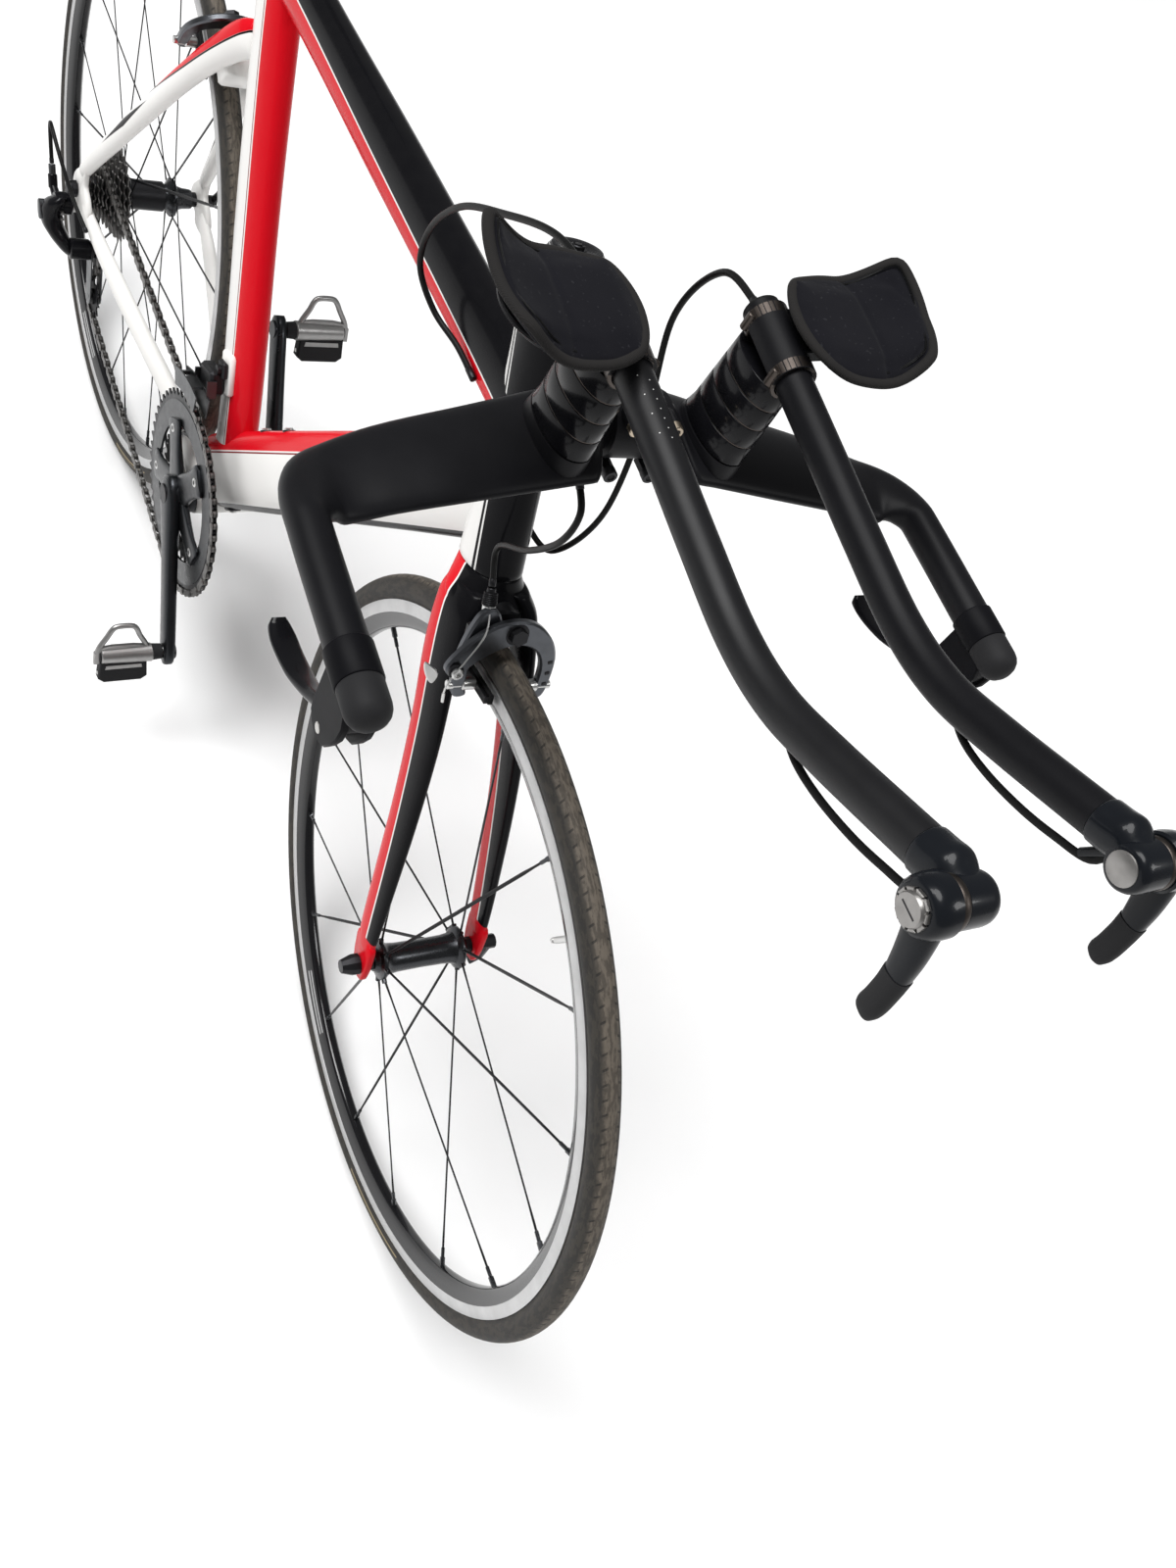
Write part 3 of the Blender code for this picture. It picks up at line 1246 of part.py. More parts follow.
def make_crank_right():
    """Drive side arm, five-arm spider and both chainrings, with their teeth."""
    centre = CHAIN.wheels[0][0]
    gap_angle = CHAIN.roller_angle(0)
    along = crank_direction(-1)
    start = math.atan2(along.z, along.x) + math.pi
    ob = rod("hub", BB - SIDE * (BB_CUP_FACE + GAP), BB - SIDE * (ARM_ROOT_Y + 0.0060), 0.0190, 16)
    star = []
    for i in range(5):
        angle = start + math.tau * i / 5
        for radius, turn_by in ((0.0220, -math.pi / 5), (0.0480, -0.215), (SPIDER_REACH, -0.118),
                                (SPIDER_REACH, 0.118),
                                (0.0480, 0.215)):
            star.append((radius * math.cos(angle + turn_by), radius * math.sin(angle + turn_by)))
    star_place = frame_matrix(BB - SIDE * (BB_CUP_FACE + 0.0031), (1, 0, 0), (0, 0, 1))
    fuse(ob, plate("spider", star, 0.0052, star_place))
    fuse(ob, crank_arm(-1))
    fuse(ob, toothed_plate("big_ring", BIG_RING_TEETH, gap_angle, centre, CHAIN_Y, RING_THICKNESS,
                           RING_BAND[0]))
    small_y = CHAIN_Y + RING_SPACING
    fuse(ob, toothed_plate("small_ring", SMALL_RING_TEETH, gap_angle, centre, small_y, RING_THICKNESS,
                           RING_BAND[1], False))
    for i in range(5):
        angle = start + math.tau * i / 5
        out = Vector((math.cos(angle), 0.0, math.sin(angle))) * 0.0690
        fuse(ob, rod("ring_bolt", BB + out - SIDE * 0.0365, BB + out - SIDE * 0.0515, 0.0048, 5))
    left_end = BB + SIDE * (BB_CUP_FACE + 0.0060)
    fuse(ob, rod("axle", BB - SIDE * (BB_CUP_FACE + 0.004), left_end, BB_AXLE_RADIUS, 16))
    cut_pedal_hole(ob, -1)
    return finish(ob, "crank_right", grey_metal(), True)


def pedal_centre(side):
    return BB + crank_direction(side) * CRANK_LENGTH


def cut_pedal_hole(ob, side):
    centre = pedal_centre(side)
    face = centre + SIDE * side * (CRANK_FACE - 0.03)
    cut(ob, rod("pedal_hole", face, centre + SIDE * side * (CRANK_FACE + 0.02),
                1.052 * PEDAL_THREAD + GAP, 10))



def make_crank_left():
    ob = crank_arm(1)
    fuse(ob, rod("hub", BB + SIDE * (BB_CUP_FACE + GAP), BB + SIDE * (ARM_ROOT_Y + 0.0075), 0.0180, 16))
    axle_end = BB_CUP_FACE + 0.0060 + GAP
    cut(ob, rod("socket", BB + SIDE * 0.03, BB + SIDE * axle_end, BB_AXLE_RADIUS + GAP, 16))
    cut_pedal_hole(ob, 1)
    return finish(ob, "crank_left", grey_metal())


def make_pedal(side, name):
    """A single-sided road pedal: axle, body, front bow and sprung rear binding."""
    centre = pedal_centre(side)
    out = SIDE * side
    front = Vector((-0.30, 0.0, 0.954)).normalized()
    inner = centre + out * (CRANK_FACE - 0.0110)
    ob = rod("thread", inner, centre + out * (CRANK_FACE + GAP), PEDAL_THREAD, 10)
    base = CRANK_FACE + GAP
    fuse(ob, rod("flange", centre + out * base, centre + out * (base + 0.0130), 0.0085, 10, 0.0095))
    fuse(ob, rod("body", centre + out * (base + 0.0110), centre + out * (base + 0.0660), 0.0105, 10, 0.0090))
    plane = frame_matrix(centre + out * (base + 0.0420), out, front)
    bow = [(-0.0300, -0.010), (-0.0300, 0.006), (-0.0200, 0.016), (-0.0140, 0.034), (-0.0080, 0.040),
           (0.0080, 0.040), (0.0140, 0.034), (0.0230, 0.016), (0.0310, 0.006), (0.0310, -0.010)]
    window = [(-0.0110, 0.0125), (-0.0100, 0.030), (-0.0060, 0.0345), (0.0060, 0.0345), (0.0100, 0.030),
              (0.0120, 0.0125)]
    fuse(ob, plate("bow", bow, 0.0060, plane, (window,)))
    rear = [(-0.0250, -0.006), (-0.0265, -0.028), (-0.0200, -0.033), (0.0200, -0.033), (0.0265, -0.028),
            (0.0250, -0.006)]
    slot = [(-0.0125, -0.0125), (-0.0125, -0.0175), (0.0125, -0.0175), (0.0125, -0.0125)]
    fuse(ob, plate("binding", rear, 0.0130, plane, (slot,)))
    return finish(ob, name, grey_metal())


def make_pulley(centre, i, name):
    ob = toothed_plate("pulley", JOCKEY_TEETH, CHAIN.roller_angle(i), centre, CHAIN_Y, 0.0017, 0)
    hub_y = 0.0030
    fuse(ob, rod("hub", (centre.x, CHAIN_Y - hub_y, centre.y), (centre.x, CHAIN_Y + hub_y, centre.y),
                 0.0095, 9))
    cut(ob, rod("bore", (centre.x, CHAIN_Y - 0.01, centre.y), (centre.x, CHAIN_Y + 0.01, centre.y),
                0.0030 + GAP, 8))
    return finish(ob, name, matte_black())



def make_chain():
    """Side plates joined by rollers, one skin with an open window for each tooth."""
    bm = bmesh.new()
    stations = []
    for k in range(CHAIN_LINKS):
        count = k * CHAIN.total / CHAIN_LINKS
        place, heading = CHAIN.point(count)
        run = Vector((math.cos(heading), math.sin(heading)))
        up = Vector((-run.y, run.x))
        for end in (-1, 1):
            spot = place + run * end * ROLLER_HALF
            corners = []
            for side in (-1, 1):
                for y, lift in ((CHAIN_LANE[0], -1), (CHAIN_LANE[1], -1), (CHAIN_LANE[1], 1),
                                (CHAIN_LANE[0], 1)):
                    p = spot + up * lift * PLATE_HALF
                    corners.append(bm.verts.new((p.x, CHAIN_Y + side * y, p.y)))
            stations.append(corners)
    total = len(stations)
    for n in range(total):
        a = stations[n]
        b = stations[(n + 1) % total]
        roller = n % 2 == 0
        for base in (0, 4):
            for i in range(4):
                j = (i + 1) % 4
                if roller and i == 3:
                    continue
                bm.faces.new((a[base + i], a[base + j], b[base + j], b[base + i]))
        if roller:
            bm.faces.new((a[0], a[4], b[4], b[0]))
            bm.faces.new((a[3], a[7], b[7], b[3]))
            bm.faces.new((a[0], a[3], a[7], a[4]))
            bm.faces.new((b[0], b[3], b[7], b[4]))
    return finish(from_bmesh("chain", bm), "chain", steel(), True)


# Derailleurs

CAGE_Y = 0.0060
CAGE_PLATE = 0.0015
MECH_CENTRE = Vector((-0.030, -0.0286, 0.4050))
MECH_ALONG = Vector((0.93, 0.0, 0.37)).normalized()
MECH_LENGTH = 0.034
MECH_PIN = MECH_CENTRE - SIDE * 0.0040
MECH_PIN_RADIUS = 0.0025


def make_front_mech_body():
    ob = block("body", MECH_CENTRE, (MECH_LENGTH, 0.0156, 0.026), MECH_ALONG, SIDE, 0.003)
    bolt = Vector((-0.022, 0.0, 0.4245))
    fuse(ob, block("clamp", bolt + SIDE * -0.0238, (0.016, 0.0060, 0.018), MECH_ALONG, SIDE, 0.002))
    fuse(ob, rod("bolt", bolt - SIDE * 0.0240, bolt - SIDE * 0.0305, 0.0050, 8))
    reach = MECH_ALONG * 0.030
    cut(ob, rod("pin_hole", MECH_PIN - reach, MECH_PIN + reach, MECH_PIN_RADIUS + GAP, 8))
    return finish(ob, "front_mech_body", metal_black())


def arc_band(inner, outer, start, end, count):
    """A ring sector's outline about the crank axle, for a plate in the X-Z plane."""
    angles = [math.radians(start + (end - start) * i / count) for i in range(count + 1)]
    points = [(BB.x + outer * math.cos(a), BB.z + outer * math.sin(a)) for a in angles]
    points += [(BB.x + inner * math.cos(a), BB.z + inner * math.sin(a)) for a in reversed(angles)]
    return points


def make_front_mech_cage():
    """Two curved plates round the chain, joined behind it and over it, on the mech's pin."""
    big_tip = pitch_radius(BIG_RING_TEETH) + TOOTH_TIP
    outer = arc_band(big_tip + 0.0060, big_tip + 0.0250, 92, 122, 4)
    inner = arc_band(big_tip + 0.0010, big_tip + 0.0250, 90, 122, 4)
    ob = plate("outer", outer, CAGE_PLATE, side_matrix(CHAIN_Y - CAGE_Y))
    fuse(ob, plate("inner", inner, CAGE_PLATE, side_matrix(CHAIN_Y + CAGE_Y)))
    angle = math.radians(119)
    radius = big_tip + 0.0150
    tail = Vector((BB.x + radius * math.cos(angle), CHAIN_Y, BB.z + radius * math.sin(angle)))
    radius = big_tip + 0.0225
    top_angle = math.radians(104)
    top = Vector((BB.x + radius * math.cos(top_angle), CHAIN_Y, BB.z + radius * math.sin(top_angle)))
    for spot, size in ((tail + Vector((0.001, 0, 0.007)), (0.004, 0.0125, 0.004)),
                       (top, (0.020, 0.0125, 0.003))):
        along = (spot - BB).cross(SIDE)
        along.y = 0.0
        fuse(ob, block("bridge", spot, size, along, SIDE))
    upright = SIDE.cross(MECH_ALONG) * -1
    reach = MECH_LENGTH / 2 + GAP
    for end in (-1, 1):
        ear = MECH_PIN + MECH_ALONG * end * (reach + 0.00125) - upright * 0.0050 - SIDE * 0.0030
        fuse(ob, block("ear", ear, (0.0025, 0.0100, 0.0180), MECH_ALONG, SIDE))
    pin_end = MECH_ALONG * (reach + 0.002)
    fuse(ob, rod("pin", MECH_PIN - pin_end, MECH_PIN + pin_end, MECH_PIN_RADIUS, 8))
    return finish(ob, "front_mech_cage", grey_metal())


def make_rear_mech_body():
    """Hanger bolt and knuckle, the slanting link body, the cage knuckle and the cable barrel."""
    hx, hz = HANGER_BOLT
    gx, gz = GUIDE_PULLEY
    stay_face = -(STAY_Y + DROPOUT_THICKNESS / 2 + 0.0005)
    ob = rod("bolt", (hx, stay_face + 0.0080, hz), (hx, -0.0800, hz), 0.0035, 12)
    fuse(ob, rod("upper", (hx, stay_face - GAP, hz), (hx, -0.0905, hz), 0.0118, 16, 0.0108))
    cage_face = CHAIN_Y - CAGE_Y - CAGE_PLATE / 2 - GAP
    fuse(ob, rod("lower", (gx, cage_face, gz), (gx, cage_face - 0.0230, gz), 0.0118, 16, 0.0105))
    rings = []
    for x, y, z, a, b in ((hx - 0.001, -0.0845, hz - 0.004, 0.0100, 0.0055),
                          (hx - 0.004, -0.0850, hz - 0.016, 0.0125, 0.0060),
                          ((hx + gx) / 2 - 0.004, -0.0790, 0.2795, 0.0120, 0.0065),
                          (gx - 0.002, -0.0700, gz + 0.001, 0.0095, 0.0058)):
        rings.append(oval((x, y, z), (0.94, 0, 0.34), (0.0, 1.0, 0.0), a, b, 10, 0.85))
    fuse(ob, loft("links", rings))
    start = Vector((hx - 0.008, -0.0850, hz - 0.004))
    middle = Vector((-0.4330, -0.0870, 0.3080))
    top = Vector((-0.4440, -0.0880, 0.3290))
    fuse(ob, rod("arm", start, middle, 0.0052, 8, 0.0042))
    fuse(ob, rod("barrel", middle - (top - middle) * 0.1, top, 0.0046, 10, 0.0038))
    bore = rod("bore", (gx, cage_face + 0.005, gz), (gx, cage_face - 0.0120, gz), 0.0045 + GAP, 12)
    cut(ob, bore)
    return finish(ob, "rear_mech_body", metal_black())


def make_rear_mech_cage():
    """Two plates and the pulley axles; it turns about the guide pulley's axis."""
    guide = Vector(GUIDE_PULLEY)
    tension = TENSION_PULLEY
    along = (tension - guide).normalized()
    out = Vector((along.y, -along.x))
    pieces = []
    for side in (-1, 1):
        y = CHAIN_Y + side * CAGE_Y
        outline = []
        for centre, radius, start in ((guide, 0.0105, 1), (tension, 0.0090, -1)):
            for i in range(6):
                turn_by = math.pi * i / 5
                spot = centre + (out * math.cos(turn_by) - along * math.sin(turn_by)) * radius * start
                outline.append((spot.x, spot.y))
        pieces.append(plate("cage", outline, CAGE_PLATE, side_matrix(y)))
    ob = pieces[0]
    fuse(ob, pieces[1])
    for centre in (guide, tension):
        fuse(ob, rod("axle", (centre.x, CHAIN_Y - CAGE_Y - 0.001, centre.y),
                     (centre.x, CHAIN_Y + CAGE_Y + 0.0015, centre.y), 0.0030, 10))
    fuse(ob, rod("stub", (guide.x, CHAIN_Y - CAGE_Y, guide.y),
                 (guide.x, CHAIN_Y - CAGE_Y - 0.0115, guide.y), 0.0045, 12))
    return finish(ob, "rear_mech_cage", grey_metal())


# Brakes: drawn in a plane with local X across the bike, Y out from the axle and Z away from the frame

PAD_RADIUS = RIM_RADIUS - 0.0064
PAD_HEIGHT = 0.0086
PAD_FACE = RIM_WIDTH / 2 + 0.0022
CALIPER_BOLT = 0.357
SIDE_PIVOT = (-0.0265, 0.3500)
ARM_THICKNESS = 0.0070
RIGHT_ARM = ((-0.0150, 0.3720), (-0.0095, 0.3560), (-0.0190, 0.3400), (-0.0265, 0.3260), (-0.0275, 0.3080),
             (-0.0250, 0.2980), (-0.0335, 0.2965), (-0.0385, 0.3060), (-0.0395, 0.3320), (-0.0350, 0.3550),
             (-0.0270, 0.3720))
LEFT_ARM = ((0.0120, 0.3660), (0.0300, 0.3520), (0.0390, 0.3320), (0.0385, 0.3050), (0.0340, 0.2960),
            (0.0255, 0.2975), (0.0275, 0.3080), (0.0268, 0.3280), (0.0180, 0.3420), (0.0, 0.3462),
            (-0.0200, 0.3380), (-0.0400, 0.3220), (-0.0480, 0.3235), (-0.0495, 0.3330), (-0.0330, 0.3540),
            (-0.0120, 0.3665))


def brake_place(front):
    """The brake's plane, the place of its rear face and of its first arm."""
    if front:
        return frame_matrix(FRONT_AXLE, SIDE, STEER_UP), 0.0283 - FORK_RAKE, -0.0010
    radial = (bridge_point(1.0) - bridge_point(0.0)).normalized()
    return frame_matrix(REAR_AXLE, -SIDE, radial), BRIDGE_REAR + GAP, 0.0380


def make_brake_base(front, name):
    place, back, start = brake_place(front)
    up = CALIPER_BOLT
    px, py = SIDE_PIVOT
    link = [(0.0095, up - 0.004), (0.0060, up + 0.0085), (-0.0100, up + 0.0085), (px - 0.006, py + 0.0060),
            (px - 0.0060, py - 0.0050), (px + 0.004, py - 0.0060), (-0.0060, up - 0.0085),
            (0.0060, up - 0.0085)]
    middle = start - GAP - 0.0022
    ob = plate("link", link, 0.0044, place @ Matrix.Translation((0, 0, middle)))
    ends = [place @ Vector((0, up, z)) for z in (back, start - GAP - 0.001,
                                                 start + 2 * ARM_THICKNESS + 0.004)]
    fuse(ob, rod("boss", ends[0], ends[1], 0.0095, 14))
    fuse(ob, rod("post", ends[1], ends[2], 0.0040, 10))
    nut = place @ Vector((0, up, start + 2 * ARM_THICKNESS + 3 * GAP))
    fuse(ob, rod("nut", nut, nut + (ends[2] - ends[1]).normalized() * 0.0045, 0.0070, 6))
    pin = [place @ Vector((px, py, z)) for z in (middle, start + ARM_THICKNESS - 0.001)]
    fuse(ob, rod("pivot", pin[0], pin[1], 0.0035, 10))
    return finish(ob, name, metal_black())


def pad_holder(place, sign, depth):
    """A shoe and pad along the rim, on a bolt from the arm's end."""
    radial = math.sqrt(PAD_RADIUS ** 2 - depth ** 2)
    centre = Vector((sign * (PAD_FACE + 0.0038), radial, depth))
    m = place @ frame_matrix(centre, (0, -depth, radial), (1, 0, 0))
    ob = block("holder", (0, 0, 0), (0.050, 0.0076, PAD_HEIGHT), (1, 0, 0), (0, 1, 0), 0.0018)
    ob.data.transform(m)
    return ob


def make_brake_arm(front, c_arm, name):
    """One arm of the caliper with its pad; the C arm turns on the centre bolt."""
    place, _, start = brake_place(front)
    sign = 1 if c_arm else -1
    middle = start + ARM_THICKNESS / 2 + (ARM_THICKNESS + GAP if c_arm else 0.0)
    outline = LEFT_ARM if c_arm else RIGHT_ARM
    ob = plate("arm", outline, ARM_THICKNESS, place @ Matrix.Translation((0, 0, middle)))
    depth = 0.0 if front else 0.0400
    fuse(ob, pad_holder(place, sign, depth))
    radial = math.sqrt(PAD_RADIUS ** 2 - middle ** 2) if not front else PAD_RADIUS
    bolt = [place @ Vector((sign * x, radial, middle)) for x in (0.0180, 0.0290)]
    fuse(ob, rod("pad_bolt", bolt[0], bolt[1], 0.0034, 8))
    if c_arm:
        clamp = [place @ Vector((-0.0435, 0.3282, middle + z)) for z in (0.002, 0.0075)]
        fuse(ob, rod("cable_clamp", clamp[0], clamp[1], 0.0055, 8))
        hole = [place @ Vector((0, CALIPER_BOLT, middle + z)) for z in (-0.01, 0.01)]
        cut(ob, rod("hole", hole[0], hole[1], 0.0040 + GAP, 12))
    else:
        barrel = [place @ Vector(p) for p in ((-0.0210, 0.3640, middle - 0.002),
                                              (-0.0200, 0.3860, middle - 0.008))]
        fuse(ob, rod("barrel", barrel[0], barrel[1], 0.0048, 8, 0.0040))
        hole = [place @ Vector((*SIDE_PIVOT, middle + z)) for z in (-0.01, 0.01)]
        cut(ob, rod("hole", hole[0], hole[1], 0.0035 + GAP, 12))
    return finish(ob, name, grey_metal() if c_arm else gloss_black())


# Saddle and seatpost

SADDLE_LOW = 0.9440
RAIL_RADIUS = 0.0035
SADDLE_STATIONS = ((-0.052, 0.010, 0.9500, 0.9640), (-0.062, 0.0185, 0.9440, 0.9715),
                   (-0.100, 0.0215, SADDLE_LOW, 0.9745),
                   (-0.160, 0.0280, SADDLE_LOW, 0.9735), (-0.235, 0.0530, SADDLE_LOW, 0.9725),
                   (-0.300, 0.0680, 0.9440, 0.9775), (-0.324, 0.0600, 0.9470, 0.9770),
                   (-0.334, 0.0400, 0.9530, 0.9700))


def make_seatpost():
    """Aero post with its head, the rail clamp and the saddle's rails."""
    ob = seatpost_solid()
    head = SEAT_TOP + SEAT_UP * SEATPOST_OUT
    clamp = Vector((head.x - 0.002, 0.0, 0.9205))
    fuse(ob, block("clamp", clamp, (0.040, 0.0560, 0.0180), (1, 0, 0.02), SIDE, 0.004))
    for side in (-1, 1):
        y = side * 0.0220
        line = [(-0.292, side * 0.0270, SADDLE_LOW - 0.0026), (-0.2830, side * 0.0262, 0.9300),
                (-0.262, y, 0.9225),
                (-0.150, y, 0.9225), (-0.113, side * 0.0125, 0.9310),
                (-0.1040, side * 0.0105, SADDLE_LOW - 0.0026)]
        fuse(ob, tube("rail", line, RAIL_RADIUS, 1))
    return finish(ob, "seatpost", matte_black())


def make_saddle():
    """Narrow nose, wide rear and a shallow channel along the middle."""
    rings = []
    for x, half, low, high in SADDLE_STATIONS:
        drop = 0.0100 * (half / 0.068) ** 2
        deep = 0.0028 if -0.31 < x < -0.09 else 0.0
        low_half = half * 0.86
        ring = [(0.0, high - deep), (half * 0.38, high), (half * 0.80, high - drop * 0.5 - 0.002),
                (half, (high - drop) * 0.55 + low * 0.45), (low_half, low), (0.0, low)]
        rings.append([Vector((x, y, z)) for y, z in ring]
                     + [Vector((x, -y, z)) for y, z in reversed(ring[1:-1])])
    ob = loft("saddle", rings)
    soft = ob.modifiers.new("soft", "SUBSURF")
    soft.levels = 1
    soft.render_levels = 1
    return finish(applied(ob), "saddle", material("saddle_cover", (0.020, 0.020, 0.022), 0.6))


# Cables, each whole along its route

HOUSING_RADIUS = 0.0023


def make_housing(name, route, steps):
    return finish(tube(name, smooth_path(route, steps), HOUSING_RADIUS, 2), name, rubber())


def steering_cables():
    place, _, start = brake_place(True)
    barrel_low = place @ Vector((-0.0210, 0.3640, start + 0.0015))
    barrel_top = place @ Vector((-0.0200, 0.3860, start - 0.0045))
    up = (barrel_top - barrel_low).normalized()
    brake = [barrel_top + up * 3 * GAP, barrel_top + up * 0.030, (0.505, -0.030, 0.775),
             (0.540, -0.040, 0.825),
             (0.5440, -0.0400, 0.8550), (0.5280, -0.0400, 0.8680)]
    rear_end = EXTENSION_REAR[0] - 2 * GAP
    right = [(rear_end, -EXTENSION_Y, EXTENSION_REAR[1]), (0.4290, -0.0570, 0.9600),
             (0.3700, -0.0600, 0.9270),
             (0.3220, -0.0600, 0.8930), (0.2880, -0.0560, 0.8500), (0.2800, -0.0500, 0.8120),
             (0.2960, -0.0370, 0.7880), (0.3260, -0.0262, 0.7830), (0.3560, -0.0228, 0.7810)]
    left = [(rear_end, EXTENSION_Y, EXTENSION_REAR[1]), (0.4400, 0.0560, 0.9560), (0.4150, 0.0600, 0.9000),
            (0.4350, 0.0640, 0.8300), (0.4520, 0.0600, 0.7500), (0.4400, 0.0450, 0.6950),
            (0.4120, 0.0300, 0.6980), (0.3985, 0.0214, 0.7080)]
    return (("front_brake_housing", brake, 10), ("housing_right", right, 16), ("housing_left", left, 17))


def make_rear_housing():
    """From the chain stay round to the rear mech's barrel."""
    route = [(-0.3260, -0.0770, 0.3330), (-0.3620, -0.0850, 0.3480), (-0.4000, -0.0930, 0.3720),
             (-0.4300, -0.0960, 0.3850),
             (-0.4500, -0.0930, 0.3760), (-0.4530, -0.0893, 0.3500), (-0.4445, -0.0880, 0.3297)]
    return make_housing("rear_mech_housing", route, 13)


def main():
    global PARTS
    clear_scene()
    PARTS = new_collection("time_trial_bike")
    top = pivot("frame", (0.0, 0.0, 0.0))

    def under(parent, *objects):
        for ob in objects:
            attach(ob, parent)

    under(top, make_head_tube(), make_top_tube(), make_down_tube(), make_seat_tube(),
          make_chain_stay(-1, "chain_stay_right"), make_chain_stay(1, "chain_stay_left"), make_seat_stays(),
          make_rear_axle(), make_front_mech_body(), make_rear_mech_body(),
          make_brake_base(False, "rear_brake_base"),
          make_rear_housing(), make_chain())
    post = pivot("seatpost_slide", SEAT_TOP, top)
    under(post, make_seatpost(), make_saddle())

    steering = pivot("steering", STEER_BASE, top)
    under(steering, make_fork(), make_stem(), make_top_cap(), make_base_bar(), make_front_axle(),
          make_brake_base(True, "front_brake_base"))
    for name, route, steps in steering_cables():
        under(steering, make_housing(name, route, steps))
    for side, word in ((-1, "right"), (1, "left")):
        under(steering, make_support(side, "support_" + word), make_extension(side, "extension_" + word),
              make_arm_pad(side, "arm_pad_" + word), make_bar_end(side, "bar_end_" + word),
              make_shifter_pod(side, "shifter_pod_" + word))
        brake = pivot("brake_lever_axis_" + word, (LEVER_PIVOT[0], side * BAR_END_Y, LEVER_PIVOT[1]),
                      steering)
        under(brake, make_brake_lever(side, "brake_lever_" + word))
        shift = pivot("shift_lever_axis_" + word, (DRUM_CENTRE[0], side * SHIFT_Y, DRUM_CENTRE[1]), steering)
        under(shift, make_shift_lever(side, "shift_lever_" + word))

    front_face = FRONT_AXLE_WIDTH / 2 + 2 * GAP + DROPOUT_THICKNESS
    rear_face = REAR_AXLE_WIDTH / 2 + 2 * GAP + DROPOUT_THICKNESS + 0.0005
    lever = pivot("front_skewer_axis", FRONT_AXLE + SIDE * front_face, steering)
    under(lever, make_skewer_lever(FRONT_AXLE, front_face, (-0.13, 0.0, -0.99), "front_skewer_lever"))
    lever = pivot("rear_skewer_axis", REAR_AXLE + SIDE * rear_face, top)
    under(lever, make_skewer_lever(REAR_AXLE, rear_face, (0.50, 0.0, 0.86), "rear_skewer_lever"))

    for front, word, parent in ((True, "front", steering), (False, "rear", top)):
        place = brake_place(front)[0]
        for c_arm, label in ((True, "centre"), (False, "side")):
            spot = (0.0, CALIPER_BOLT, 0.0) if c_arm else (*SIDE_PIVOT, 0.0)
            axis = pivot(word + "_brake_" + label + "_axis", place @ Vector(spot), parent)
            under(axis, make_brake_arm(front, c_arm, word + "_brake_arm_" + label))

    wheel = pivot("front_wheel", FRONT_AXLE, steering)
    under(wheel, make_tyre(FRONT_AXLE, "front_tyre"), make_rim(FRONT_AXLE, "front_rim"), make_front_hub())
    wheel = pivot("rear_wheel", REAR_AXLE, top)
    under(wheel, make_tyre(REAR_AXLE, "rear_tyre"), make_rim(REAR_AXLE, "rear_rim"), make_rear_hub())
    cogs = pivot("freewheel", REAR_AXLE, top)
    under(cogs, make_cassette())

    crank = pivot("crank", BB, top)
    under(crank, make_crank_right(), make_crank_left())
    for side, word in ((-1, "right"), (1, "left")):
        pedal = pivot("pedal_axis_" + word, pedal_centre(side), crank)
        under(pedal, make_pedal(side, "pedal_" + word))

    swing = pivot("front_mech_axis", MECH_PIN, top)
    under(swing, make_front_mech_cage())
    guide = Vector((GUIDE_PULLEY[0], CHAIN_Y, GUIDE_PULLEY[1]))
    cage = pivot("rear_mech_axis", guide, top)
    under(cage, make_rear_mech_cage())
    upper = pivot("guide_pulley_axis", guide, cage)
    under(upper, make_pulley(Vector(GUIDE_PULLEY), 2, "jockey_upper"))
    lower = pivot("tension_pulley_axis", (TENSION_PULLEY.x, CHAIN_Y, TENSION_PULLEY.y), cage)
    under(lower, make_pulley(TENSION_PULLEY, 1, "jockey_lower"))

    turn(steering, STEER_UP, STEER_ANGLE)


main()
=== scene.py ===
import json
import math

import bmesh
import bpy
from mathutils import Matrix, Vector


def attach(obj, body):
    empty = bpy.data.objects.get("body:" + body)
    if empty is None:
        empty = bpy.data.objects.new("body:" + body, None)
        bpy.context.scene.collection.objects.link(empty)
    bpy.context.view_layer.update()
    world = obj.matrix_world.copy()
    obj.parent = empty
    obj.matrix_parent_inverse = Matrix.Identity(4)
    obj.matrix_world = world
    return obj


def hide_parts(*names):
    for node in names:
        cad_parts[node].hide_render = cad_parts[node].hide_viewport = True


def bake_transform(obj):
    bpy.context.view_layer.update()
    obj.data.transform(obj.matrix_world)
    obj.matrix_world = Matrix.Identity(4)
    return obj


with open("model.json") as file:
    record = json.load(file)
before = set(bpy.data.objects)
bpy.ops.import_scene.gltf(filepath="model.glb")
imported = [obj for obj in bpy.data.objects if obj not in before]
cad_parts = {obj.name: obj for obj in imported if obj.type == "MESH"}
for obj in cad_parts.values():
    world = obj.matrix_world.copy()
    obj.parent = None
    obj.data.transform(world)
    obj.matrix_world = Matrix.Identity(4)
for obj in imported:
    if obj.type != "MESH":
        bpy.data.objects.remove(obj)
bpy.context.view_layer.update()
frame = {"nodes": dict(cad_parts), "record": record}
nodes = frame["nodes"]
print("frame loaded with", len(nodes), "nodes")

up = Vector((0, 0, 1))
side = Vector((0, 1, 0))
ahead = Vector((1, 0, 0))


# shader wiring

